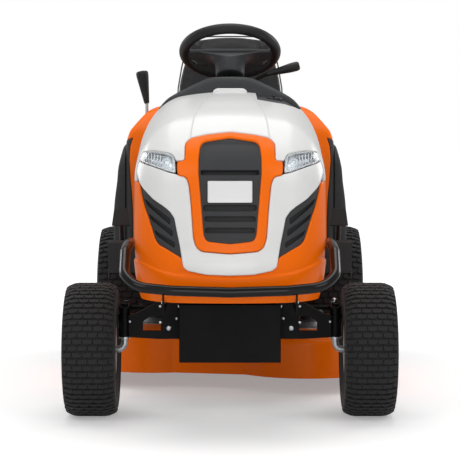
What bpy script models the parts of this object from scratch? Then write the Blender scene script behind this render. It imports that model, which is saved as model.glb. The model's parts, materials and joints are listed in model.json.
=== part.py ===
"""Lawn tractor with a twin-blade mowing deck, as separate pieces in metres, +Z up.

The tractor faces -Y and +X is the driver's left. Lengths along the machine are
given as distances behind the front axle and turned into world Y by behind_axle.
"""
import math

import bmesh
import bpy
from mathutils import Matrix, Vector

# Overall layout
WHEELBASE = 1.240
FRONT_TYRE_RADIUS = 0.189
FRONT_TYRE_WIDTH = 0.150
FRONT_TRACK_HALF = 0.390
REAR_TYRE_RADIUS = 0.2285
REAR_TYRE_WIDTH = 0.216
REAR_TRACK_HALF = 0.350
BUMPER_REACH = 0.374
BUMPER_RADIUS = 0.014
FRONT_AXLE_Y = (BUMPER_REACH - WHEELBASE - REAR_TYRE_RADIUS) / 2
GAP = 0.0003
RUNNING_GAP = 0.0005
SHUT_LINE = 0.0007

# Frame
RAIL_X = 0.140
RAIL_WALL = 0.004
RAIL_TOP = 0.372
RAIL_BOTTOM = 0.300
FRAME_FRONT = -0.095
FRAME_OVERHANG = 0.160
FRAME_REAR = WHEELBASE + FRAME_OVERHANG
ENGINE_PLATE_TOP = 0.356
ENGINE_PLATE_THICK = 0.004
ENGINE_PLATE_REAR = 0.425
RAIL_STEP_D = 0.345
REAR_PLATE_THICK = 0.005

# Front axle and steering
AXLE_PIVOT_Z = 0.285
AXLE_PIN_RADIUS = 0.010
AXLE_HALF_DEPTH = 0.022
KINGPIN_X = 0.298
KINGPIN_RADIUS = 0.010
KINGPIN_TOP = 0.306
YOKE_TOP = 0.288
YOKE_BOTTOM = 0.226
TIE_ARM = 0.095
DRAG_ARM = 0.060
LINK_Z = 0.297
DRAG_Z = 0.275
LINK_RADIUS = 0.006
BALL_RADIUS = 0.0095
PINION_D = 0.321
SECTOR_Z = 0.316
SECTOR_THICK = 0.008
TOOTH_MODULE = 0.0035
PINION_TEETH = 8
SECTOR_TEETH = 32
PINION_PITCH = TOOTH_MODULE * PINION_TEETH / 2
SECTOR_PITCH = TOOTH_MODULE * SECTOR_TEETH / 2
SECTOR_PIVOT_D = PINION_D + PINION_PITCH + SECTOR_PITCH
SECTOR_STUD_RADIUS = 0.008
CRANK_D = 0.130
PULLEY_RADIUS = 0.055
BELT_Z = 0.336
INPUT_AHEAD = 0.110
INPUT_D = WHEELBASE - INPUT_AHEAD
INPUT_BOSS_RADIUS = 0.034
INPUT_BOSS_TOP = 0.318
INPUT_RADIUS = 0.060
WHEEL_HUB_D = 0.620
WHEEL_HUB_Z = 1.043
WHEEL_TILT = math.radians(28)
WHEEL_RADIUS = 0.160
WHEEL_RIM_RADIUS = 0.0165
COLUMN_RADIUS = 0.011
COLUMN_BALL = 0.012
COLUMN_JOINT_Z = WHEEL_HUB_Z - (WHEEL_HUB_D - PINION_D) / math.tan(WHEEL_TILT)

# Hood envelope: distances ahead of the axle against height, and the crown line
NOSE_LINE = [(0.340, -0.318), (0.42, -0.332), (0.50, -0.330), (0.60, -0.320),
             (0.70, -0.305), (0.78, -0.286), (0.90, -0.240)]
CROWN_LINE = [(-0.40, 0.785), (-0.28, 0.812), (-0.10, 0.862), (0.15, 0.900), (0.45, 0.920)]
WIDTH_LINE = [(0.34, 0.234), (0.42, 0.252), (0.50, 0.259), (0.60, 0.260), (0.80, 0.260)]
HOOD_FLARE = 0.018
CROWN_CAMBER = 0.62
NOSE_CAMBER = 0.75
CORNER_RADIUS = 0.105
SHOULDER_RADIUS = 0.125
HOOD_REAR = 0.450
HOOD_WALL = 0.003
SKIRT_Z = 0.671
HOOD_BOTTOM = 0.354
ARCH_FRONT = -0.170
ARCH_BOTTOM = 0.430
HINGE_D = -0.290
HINGE_Z = 0.420
HINGE_PIN_RADIUS = 0.006
LOUVRES = 5

# Mowing deck
DECK_TOP = 0.180
DECK_SKIRT = 0.050
DECK_WALL = 0.003
LOBE_RADIUS = 0.258
LOBE_X = 0.240
LOBE_STAGGER = 0.120
DECK_AHEAD = 0.255
DECK_REAR = WHEELBASE - DECK_AHEAD
RIGHT_LOBE_D = DECK_REAR + 0.004 - LOBE_RADIUS
LEFT_LOBE_D = RIGHT_LOBE_D - LOBE_STAGGER
OUTLET_HALF = 0.150
OUTLET_TOP = 0.160
BLADE_RADIUS = 0.243
BLADE_Z = 0.078
SPINDLE_RADIUS = 0.012
LIFT_ARM = 0.130
LIFT_DROP = math.radians(14)
LIFT_PIVOT_Z = 0.325
LIFT_SPACING = 0.240
LIFT_FRONT_D = LEFT_LOBE_D - 0.091
LIFT_REAR_D = LIFT_FRONT_D + LIFT_SPACING
LIFT_X = 0.122
LIFT_PIN_RADIUS = 0.007
LIFT_TIE_OUT = 0.030
LIFT_TIE_DROP = 0.0065

# Cab and body
FOOT_TOP = 0.380
FOOT_X = 0.371
FOOT_FRONT = 0.340
FOOT_CLEARANCE = 0.0215
FOOT_REAR = WHEELBASE - REAR_TYRE_RADIUS - FOOT_CLEARANCE
BODY_AHEAD = 0.355
BODY_BEHIND = 0.200
BODY_FRONT = WHEELBASE - BODY_AHEAD
BODY_REAR = WHEELBASE + BODY_BEHIND
BODY_HALF = 0.345
BODY_WALL = 0.004
SEAT_FLOOR = 0.645
SEAT_WELL = 0.222
ARCH_CLEARANCE = 0.034
SEAT_AHEAD = 0.165
SEAT_FRONT = WHEELBASE - SEAT_AHEAD
SEAT_PIN_RADIUS = 0.005
SEAT_LEAN = math.radians(10)
LEVER_X = -0.283
LEVER_D = SEAT_FRONT - 0.005
LEVER_PIVOT_Z = 0.700
BRAKE_PIVOT = (0.071, 0.610, 0.923)
CAP_X = 0.132
CAP_D = 0.385
PEDAL_X = 0.330
PEDAL_PIVOT_D = 0.470
PEDAL_PIVOT_Z = 0.410

# Materials: colour as sRGB hex, roughness and metallic
FINISHES = {
    "white_paint": (0xF0F0F0, 0.30, 0.0),
    "orange_paint": (0xF07800, 0.32, 0.0),
    "dark_plastic": (0x3E3F41, 0.60, 0.0),
    "black_steel": (0x151515, 0.45, 0.3),
    "black_plastic": (0x202020, 0.55, 0.0),
    "cast_aluminium": (0xA9ABAD, 0.45, 1.0),
    "zinc_steel": (0xC2C4C8, 0.35, 1.0),
    "rubber": (0x2F2F30, 0.85, 0.0),
    "rim_paint": (0xDEDEDC, 0.35, 0.2),
    "vinyl": (0x1E1E1F, 0.55, 0.0),
    "clear_lens": (0xD8E0E6, 0.10, 0.0),
    "tank_plastic": (0xE6E2D6, 0.50, 0.0),
}


def behind_axle(distance):
    """World Y of a distance behind the front axle."""
    return FRONT_AXLE_Y + distance


def clear_scene():
    """Removes what the scene holds and returns the collections for parts and cutters."""
    for old in list(bpy.data.objects):
        bpy.data.objects.remove(old, do_unlink=True)
    made = []
    for name in ("lawn_tractor", "cutters"):
        collection = bpy.data.collections.new(name)
        bpy.context.scene.collection.children.link(collection)
        made.append(collection)
    return made


PARTS, CUTTERS = clear_scene()


def linear(channel):
    """Linear value of one sRGB channel between 0 and 1."""
    return channel / 12.92 if channel <= 0.04045 else ((channel + 0.055) / 1.055) ** 2.4


def finish(name):
    """The Principled material of that name, made on first use."""
    if name in bpy.data.materials:
        return bpy.data.materials[name]
    code, roughness, metallic = FINISHES[name]
    material = bpy.data.materials.new(name)
    material.use_nodes = True
    shader = material.node_tree.nodes["Principled BSDF"]
    rgb = [linear(((code >> shift) & 255) / 255) for shift in (16, 8, 0)]
    shader.inputs["Base Color"].default_value = (*rgb, 1.0)
    shader.inputs["Roughness"].default_value = roughness
    shader.inputs["Metallic"].default_value = metallic
    material.diffuse_color = (*rgb, 1.0)
    return material


def tidy(mesh):
    """Welds doubles and turns the faces outward."""
    work = bmesh.new()
    work.from_mesh(mesh)
    bmesh.ops.remove_doubles(work, verts=work.verts, dist=0.00001)
    bmesh.ops.dissolve_degenerate(work, edges=work.edges, dist=0.00001)
    bmesh.ops.recalc_face_normals(work, faces=work.faces)
    if work.calc_volume(signed=True) < 0:
        bmesh.ops.reverse_faces(work, faces=work.faces)
    work.to_mesh(mesh)
    work.free()
    return mesh


def evaluated(obj):
    """The mesh of an object with its modifiers and place applied; the object goes."""
    bpy.context.view_layer.update()
    graph = bpy.context.evaluated_depsgraph_get()
    mesh = bpy.data.meshes.new_from_object(obj.evaluated_get(graph))
    mesh.transform(obj.matrix_world)
    data = obj.data
    bpy.data.objects.remove(obj, do_unlink=True)
    if isinstance(data, bpy.types.Mesh):
        bpy.data.meshes.remove(data)
    else:
        bpy.data.curves.remove(data)
    return tidy(mesh)


def helper(mesh, name="cutter"):
    """A hidden helper object for a mesh in world coordinates."""
    obj = bpy.data.objects.new(name, mesh)
    obj.hide_render = True
    obj.display_type = "WIRE"
    CUTTERS.objects.link(obj)
    return obj


def combine(base, tools, operation):
    """Cuts, joins or intersects a mesh with other meshes by the exact solver."""
    carrier = helper(base, "base")
    others = [helper(tool) for tool in tools]
    for other in others:
        modifier = carrier.modifiers.new("combine", "BOOLEAN")
        modifier.operation = operation
        modifier.object = other
    result = evaluated(carrier)
    for other in others:
        data = other.data
        bpy.data.objects.remove(other, do_unlink=True)
        bpy.data.meshes.remove(data)
    return result


def cut(base, *tools):
    """The base without the tools."""
    return combine(base, tools, "DIFFERENCE")


def join(base, *tools):
    """The base and the tools as one body."""
    return combine(base, tools, "UNION")


def common(base, *tools):
    """What the base and all the tools share."""
    return combine(base, tools, "INTERSECT")


def box(low, high, bevel=0.0, segments=1):
    """A box between two corners, with rounded edges where a bevel is given."""
    work = bmesh.new()
    bmesh.ops.create_cube(work, size=1.0)
    size = [b - a for a, b in zip(low, high)]
    middle = [(a + b) / 2 for a, b in zip(low, high)]
    bmesh.ops.transform(work, matrix=Matrix.Diagonal((*size, 1.0)), verts=work.verts)
    bmesh.ops.translate(work, vec=middle, verts=work.verts)
    if bevel:
        bmesh.ops.bevel(work, geom=work.edges[:], offset=bevel, segments=segments,
                        affect="EDGES", profile=0.5, material=-1)
    mesh = bpy.data.meshes.new("box")
    work.to_mesh(mesh)
    work.free()
    return mesh


def rod(start, end, radius, sides=12, end_radius=None):
    """A straight round bar, or a cone where the end radius differs."""
    start, end = Vector(start), Vector(end)
    work = bmesh.new()
    bmesh.ops.create_cone(work, cap_ends=True, segments=sides, radius1=radius,
                          radius2=radius if end_radius is None else end_radius,
                          depth=(end - start).length)
    turn = (end - start).to_track_quat("Z", "Y").to_matrix().to_4x4()
    place = Matrix.Translation((start + end) / 2) @ turn
    bmesh.ops.transform(work, matrix=place, verts=work.verts)
    mesh = bpy.data.meshes.new("rod")
    work.to_mesh(mesh)
    work.free()
    return tidy(mesh)


def ball(centre, radius, sides=14):
    """A sphere."""
    work = bmesh.new()
    bmesh.ops.create_uvsphere(work, u_segments=sides, v_segments=sides // 2, radius=radius)
    bmesh.ops.translate(work, vec=centre, verts=work.verts)
    mesh = bpy.data.meshes.new("ball")
    work.to_mesh(mesh)
    work.free()
    return mesh


PLANES = {
    "front": Matrix(((1, 0, 0, 0), (0, 0, 1, 0), (0, 1, 0, 0), (0, 0, 0, 1))),
    "side": Matrix(((0, 0, 1, 0), (1, 0, 0, 0), (0, 1, 0, 0), (0, 0, 0, 1))),
    "plan": Matrix.Identity(4),
}


def prism(outlines, plane, low, high):
    """A flat outline, with its holes, given depth from low to high.

    front reads points as (X, Z), side as (Y, Z) and plan as (X, Y).
    """
    curve = bpy.data.curves.new("outline", "CURVE")
    curve.dimensions = "2D"
    curve.fill_mode = "BOTH"
    curve.extrude = (high - low) / 2
    for outline in outlines:
        spline = curve.splines.new("POLY")
        spline.points.add(len(outline) - 1)
        for point, (a, b) in zip(spline.points, outline):
            point.co = (a, b, 0.0, 1.0)
        spline.use_cyclic_u = True
    obj = bpy.data.objects.new("outline", curve)
    CUTTERS.objects.link(obj)
    obj.matrix_world = PLANES[plane] @ Matrix.Translation((0, 0, (low + high) / 2))
    return evaluated(obj)


def turned(profile, start, direction, steps=24, closed=False):
    """A profile of (radius, height) points turned about an axis by a Screw modifier."""
    mesh = bpy.data.meshes.new("profile")
    points = [(radius, 0.0, height) for radius, height in profile]
    edges = [(i, i + 1) for i in range(len(points) - 1)]
    if closed:
        edges.append((len(points) - 1, 0))
    mesh.from_pydata(points, edges, [])
    obj = bpy.data.objects.new("profile", mesh)
    CUTTERS.objects.link(obj)
    screw = obj.modifiers.new("turn", "SCREW")
    screw.axis = "Z"
    screw.steps = steps
    screw.render_steps = steps
    screw.use_merge_vertices = True
    screw.merge_threshold = 0.0001
    turn = Vector(direction).to_track_quat("Z", "Y").to_matrix().to_4x4()
    obj.matrix_world = Matrix.Translation(start) @ turn
    return evaluated(obj)


def tube(points, radius, resolution=2, cyclic=False):
    """A round tube along points, with filled ends."""
    curve = bpy.data.curves.new("tube", "CURVE")
    curve.dimensions = "3D"
    curve.bevel_depth = radius
    curve.bevel_resolution = resolution
    curve.use_fill_caps = not cyclic
    spline = curve.splines.new("POLY")
    spline.points.add(len(points) - 1)
    for point, place in zip(spline.points, points):
        point.co = (*place, 1.0)
    spline.use_cyclic_u = cyclic
    obj = bpy.data.objects.new("tube", curve)
    CUTTERS.objects.link(obj)
    return evaluated(obj)


def rounded_path(points, radius, steps=5):
    """The points of a path whose corners are arcs of about that radius."""
    path = [Vector(points[0])]
    for before, corner, after in zip(points, points[1:], points[2:]):
        corner = Vector(corner)
        into, out = corner - Vector(before), Vector(after) - corner
        half = into.angle(out) / 2
        reach = min(radius * math.tan(half), 0.48 * into.length, 0.48 * out.length)
        first = corner - into.normalized() * reach
        last = corner + out.normalized() * reach
        for i in range(steps + 1):
            t = i / steps
            path.append(first * (1 - t) ** 2 + corner * 2 * t * (1 - t) + last * t ** 2)
    path.append(Vector(points[-1]))
    return path


def arc(centre, radius, start, end, steps):
    """Points of an arc, angles in degrees."""
    turn = [math.radians(start + (end - start) * i / steps) for i in range(steps + 1)]
    return [(centre[0] + radius * math.cos(a), centre[1] + radius * math.sin(a)) for a in turn]


def mirrored(points):
    """An outline given for +X on its way down, closed by its mirror image."""
    return list(points) + [(-x, z) for x, z in reversed(points) if abs(x) > 1e-9]


def inset(outline, distance):
    """An outline moved inward by a distance, or outward where it is negative."""
    area = sum(a[0] * b[1] - b[0] * a[1] for a, b in zip(outline, outline[1:] + outline[:1]))
    side = 1.0 if area > 0 else -1.0
    moved = []
    for before, point, after in zip(outline[-1:] + outline[:-1], outline, outline[1:] + outline[:1]):
        p, q, r = Vector(before), Vector(point), Vector(after)
        normal_a = Vector((-(q - p).y, (q - p).x)).normalized() * side
        normal_b = Vector((-(r - q).y, (r - q).x)).normalized() * side
        middle = (normal_a + normal_b).normalized()
        stretch = min(1.0 / max(middle.dot(normal_a), 0.35), 2.5)
        moved.append(tuple(q + middle * distance * stretch))
    return moved


def merge_flats(mesh):
    """Merges the facets of each flat face, and drops points along straight edges."""
    work = bmesh.new()
    work.from_mesh(mesh)
    bmesh.ops.dissolve_limit(work, angle_limit=math.radians(0.2), verts=work.verts,
                             edges=work.edges, use_dissolve_boundaries=False)
    bmesh.ops.triangulate(work, faces=work.faces)
    work.to_mesh(mesh)
    work.free()
    return mesh


def piece(name, mesh, finish_name, origin=(0.0, 0.0, 0.0), sharp=35):
    """Names a finished solid, puts its origin in place and gives it its finish."""
    mesh = merge_flats(tidy(mesh))
    mesh.name = name
    mesh.transform(Matrix.Translation([-c for c in origin]))
    mesh.materials.clear()
    mesh.materials.append(finish(finish_name))
    mesh.shade_smooth()
    mesh.set_sharp_from_angle(angle=math.radians(sharp))
    obj = bpy.data.objects.new(name, mesh)
    obj.location = origin
    PARTS.objects.link(obj)
    return obj


def flipped(mesh):
    """The mirror image of a mesh across the middle of the tractor."""
    copy = mesh.copy()
    copy.transform(Matrix.Diagonal((-1, 1, 1, 1)))
    copy.flip_normals()
    return copy


def smooth_line(value, line):
    """A smooth curve through (value, result) pairs, straight beyond its ends."""
    count = len(line)

    def slope(i):
        low, high = max(i - 1, 0), min(i + 1, count - 1)
        return (line[high][1] - line[low][1]) / (line[high][0] - line[low][0])

    if value <= line[0][0]:
        return line[0][1] + slope(0) * (value - line[0][0])
    if value >= line[-1][0]:
        return line[-1][1] + slope(count - 1) * (value - line[-1][0])
    i = max(k for k in range(count - 1) if line[k][0] <= value)
    span = line[i + 1][0] - line[i][0]
    s = (value - line[i][0]) / span
    return (line[i][1] * (2 * s ** 3 - 3 * s ** 2 + 1) + slope(i) * span * (s ** 3 - 2 * s ** 2 + s)
            + line[i + 1][1] * (3 * s ** 2 - 2 * s ** 3) + slope(i + 1) * span * (s ** 3 - s ** 2))


def rounded_max(a, b, radius):
    """The larger of two distances, blended by a fillet where they are near."""
    u, v = max(radius + a, 0.0), max(radius + b, 0.0)
    return min(-radius, max(a, b)) + math.hypot(u, v)


def hood_distance(x, d, z):
    """Distance outside the hood's skin, negative inside; d is behind the axle."""
    side = abs(x) - smooth_line(z, WIDTH_LINE) - HOOD_FLARE * max(0.0, d)
    top = z - smooth_line(d, CROWN_LINE) + CROWN_CAMBER * x * x
    front = smooth_line(z, NOSE_LINE) + NOSE_CAMBER * x * x - d
    return rounded_max(rounded_max(side, front, CORNER_RADIUS), top, SHOULDER_RADIUS)


def hood_body(depth):
    """A closed body whose skin lies that deep under the hood's outer skin."""
    work = bmesh.new()
    bmesh.ops.create_cube(work, size=1.0)
    for axis, cuts in ((0, 9), (1, 7), (2, 7)):
        edges = [e for e in work.edges
                 if abs((e.verts[0].co - e.verts[1].co).normalized()[axis]) > 0.9]
        bmesh.ops.subdivide_edges(work, edges=edges, cuts=cuts, use_grid_fill=True)
    low, high = Vector((-0.27, -0.33, 0.30)), Vector((0.27, 0.56, 0.93))
    spine_low, spine_high, spine_z = -0.15, 0.40, 0.60
    for vert in work.verts:
        place = Vector([low[k] + (vert.co[k] + 0.5) * (high[k] - low[k]) for k in range(3)])
        spine = Vector((0.0, min(max(place.y, spine_low), spine_high), spine_z))
        way = place - spine
        near, far = 0.0, 1.6
        for _ in range(24):
            middle = (near + far) / 2
            point = spine + way * middle
            outside = hood_distance(point.x, point.y, point.z) > -depth
            if outside or point.y > 0.60 + 2 * depth or point.z < 0.30 - 2 * depth:
                far = middle
            else:
                near = middle
        point = spine + way * near
        vert.co = (point.x, behind_axle(point.y), point.z)
    bmesh.ops.triangulate(work, faces=work.faces, quad_method="FIXED")
    mesh = bpy.data.meshes.new("hood_body")
    work.to_mesh(mesh)
    work.free()
    return tidy(mesh)


# Panel outlines of the nose as (X, Z), +X half from top to bottom
TRIM_OUTER = [(0.0, 0.807), (0.063, 0.800), (0.105, 0.791), (0.120, 0.776), (0.120, 0.731),
              (0.142, 0.729), (0.140, 0.694), (0.116, 0.689), (0.108, 0.668), (0.102, 0.611),
              (0.096, 0.527), (0.089, 0.504), (0.075, 0.493), (0.0, 0.487)]
GRILLE_OUTER = [(0.0, 0.793), (0.069, 0.783), (0.080, 0.771), (0.084, 0.738), (0.084, 0.698),
                (0.075, 0.594), (0.070, 0.534), (0.062, 0.519), (0.0, 0.512)]
WING_INNER = [(0.140, 0.694), (0.116, 0.689), (0.108, 0.668), (0.102, 0.611), (0.096, 0.527),
              (0.089, 0.504), (0.075, 0.493), (0.0, 0.487)]
WING_OUTER = [(0.300, 0.730), (0.300, 0.671), (0.247, 0.671), (0.234, 0.654), (0.205, 0.627),
              (0.177, 0.610), (0.160, 0.597), (0.148, 0.580), (0.143, 0.553), (0.134, 0.510),
              (0.128, 0.474), (0.124, 0.451), (0.112, 0.441), (0.062, 0.431), (0.0, 0.429)]
LAMP_OUTLINE = [(0.300, 0.745), (0.240, 0.751), (0.208, 0.756), (0.165, 0.751), (0.153, 0.746),
                (0.146, 0.735), (0.143, 0.697), (0.163, 0.701), (0.178, 0.706), (0.207, 0.715),
                (0.233, 0.722), (0.300, 0.730)]
SIDE_GRILLE = [(0.247, 0.671), (0.241, 0.640), (0.232, 0.607), (0.219, 0.574), (0.201, 0.521),
               (0.191, 0.508), (0.163, 0.494), (0.128, 0.474), (0.134, 0.510), (0.143, 0.553),
               (0.148, 0.580), (0.160, 0.597), (0.177, 0.610), (0.205, 0.627), (0.234, 0.654)]
CENTRE_SLOTS = [(0.693, 0.706), (0.599, 0.614), (0.571, 0.584), (0.541, 0.554)]
SIDE_SLOTS = [[(0.230, 0.628), (0.225, 0.612), (0.160, 0.562), (0.158, 0.577)],
              [(0.219, 0.589), (0.213, 0.574), (0.153, 0.531), (0.152, 0.546)],
              [(0.203, 0.546), (0.197, 0.532), (0.147, 0.500), (0.146, 0.514)]]
LAMP_REAR = -0.172
TRIM_SPAN = (-0.45, -0.05)


def front_cutter(outline, margin=0.0, depth=TRIM_SPAN):
    """A prism through the nose from an outline seen from the front."""
    return prism([inset(outline, margin)], "front", behind_axle(depth[0]), behind_axle(depth[1]))


def make_hood():
    """The tilting hood: crown, nose, wing, trim, grilles and headlamps."""
    skin = cut(hood_body(0.0), hood_body(HOOD_WALL))
    seat_depth = HOOD_WALL + GAP
    backing = cut(hood_body(seat_depth), hood_body(seat_depth + HOOD_WALL))
    hinge = (0.0, behind_axle(HINGE_D), HINGE_Z)
    front, rear = behind_axle(-0.45), behind_axle(HOOD_REAR)

    above = [(0.0, 0.807), (0.063, 0.800), (0.105, 0.791), (0.120, 0.776), (0.120, 0.7305),
             (0.1455, 0.7305), (0.146, 0.735), (0.153, 0.746), (0.165, 0.751), (0.208, 0.756),
             (0.240, 0.751), (0.320, 0.743), (0.320, 1.0), (0.0, 1.0)]
    front_region = mirrored(above[::-1])
    crown = prism([inset(front_region, SHUT_LINE / 2)], "front", front, rear)
    flank = box((-0.32, behind_axle(LAMP_REAR) + SHUT_LINE, SKIRT_Z + SHUT_LINE / 2),
                (0.32, rear, 0.80))
    filler_corner = box((0.078, behind_axle(0.20), 0.84), (0.32, behind_axle(0.5), 1.0))
    crown_top = CROWN_LINE[-1][1]
    lip = box((-0.052, behind_axle(HOOD_REAR - 0.022), crown_top - 0.005),
              (0.052, rear, crown_top + 0.0115), 0.004)
    shell = cut(common(skin.copy(), join(crown, flank)), filler_corner)
    piece("hood_top", join(shell, lip), "white_paint", hinge)

    trim = common(skin.copy(), front_cutter(mirrored(TRIM_OUTER), SHUT_LINE / 2))
    piece("grille_surround", cut(trim, front_cutter(mirrored(GRILLE_OUTER))), "orange_paint", hinge)

    wing_outline = mirrored([(0.0, 0.487)] + WING_INNER[::-1][1:] + [(0.143, 0.696), (0.163, 0.701),
                            (0.178, 0.706), (0.207, 0.715), (0.233, 0.722)] + WING_OUTER)
    wing_cutter = front_cutter(wing_outline, SHUT_LINE / 2, (-0.45, LAMP_REAR))
    piece("grille_wing", common(skin.copy(), wing_cutter), "white_paint", hinge)

    grille = common(backing.copy(), front_cutter(mirrored(GRILLE_OUTER), -0.006))
    bars = []
    for low, high in CENTRE_SLOTS:
        half = 0.058 + (low - 0.541) * 0.1
        bars.append(box((-half, front, low), (half, behind_axle(-0.05), high)))
    piece("centre_grille", cut(grille, *bars), "dark_plastic", hinge)

    piece("hood_nose", nose_shell(), "orange_paint", hinge)
    slots = [front_cutter(slot) for slot in SIDE_SLOTS]
    panel = cut(common(backing.copy(), front_cutter(SIDE_GRILLE, -0.005)), *slots)
    lens = common(skin.copy(), front_cutter(LAMP_OUTLINE, SHUT_LINE / 2, (-0.45, LAMP_REAR)))
    piece("side_grille_right", flipped(panel), "dark_plastic", hinge)
    piece("side_grille_left", panel, "dark_plastic", hinge)
    piece("headlamp_right", flipped(lens), "clear_lens", hinge)
    piece("headlamp_left", lens, "clear_lens", hinge)


def nose_shell():
    """The orange nose with its flanks, cooling louvres and hinge lugs."""
    front, rear = behind_axle(-0.45), behind_axle(HOOD_REAR)
    region = box((-0.32, front, HOOD_BOTTOM), (0.32, rear, SKIRT_Z - SHUT_LINE / 2))
    arch = box((-0.34, behind_axle(ARCH_FRONT), 0.2), (0.34, behind_axle(0.6), ARCH_BOTTOM))
    mask = [(0.33, 0.80), (0.33, 0.675), (0.248, 0.675)] + SIDE_GRILLE[1:8] + WING_OUTER[-4:]
    region = cut(region, arch)
    region = cut(region, front_cutter(mirrored(mask), -SHUT_LINE / 2, (-0.46, LAMP_REAR)))
    openings = []
    for low, high in both_sides(0.2, 0.34):
        for i in range(LOUVRES):
            start = 0.02 + 0.066 * i
            slot = [(start, 0.500), (start + 0.024, 0.500), (start + 0.058, 0.610), (start + 0.034, 0.610)]
            openings.append(prism([[(behind_axle(d), z) for d, z in slot]], "side", low, high))
    nose = cut(common(hood_body(0.0), cut(region, *openings)), hood_body(HOOD_WALL))
    lugs = []
    inner = hood_body(GAP * 2)
    for side in (1, -1):
        outline = arc((behind_axle(HINGE_D), HINGE_Z), 0.014, -90, 90, 6)
        outline += [(behind_axle(-0.45), 0.446), (behind_axle(-0.45), 0.394)]
        low, high = sorted((0.150 * side, 0.154 * side))
        lugs.append(common(prism([outline], "side", low, high), inner.copy()))
    nose = join(nose, *lugs)
    bore = rod((-0.2, behind_axle(HINGE_D), HINGE_Z), (0.2, behind_axle(HINGE_D), HINGE_Z),
               HINGE_PIN_RADIUS + RUNNING_GAP, 16)
    bpy.data.meshes.remove(inner)
    return cut(nose, bore)


def bumper_path():
    """Centre line of the bumper tube: a front bar that rises into two short horns."""
    front = -BUMPER_REACH + BUMPER_RADIUS
    half = [(0.0, front, 0.3875), (0.150, front + 0.001, 0.392), (0.245, front + 0.012, 0.400),
            (0.281, front + 0.055, 0.432), (0.283, front + 0.150, 0.500), (0.279, -0.150, 0.515),
            (0.277, -0.070, 0.515)]
    right = [(-x, behind_axle(d), z) for x, d, z in half[::-1]]
    left = [(x, behind_axle(d), z) for x, d, z in half[1:]]
    return rounded_path(right + left, 0.05, 2)


def both_sides(low, high):
    """The X ranges of a pair of pieces that stand left and right of the middle."""
    return [(low, high), (-high, -low)]


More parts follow.
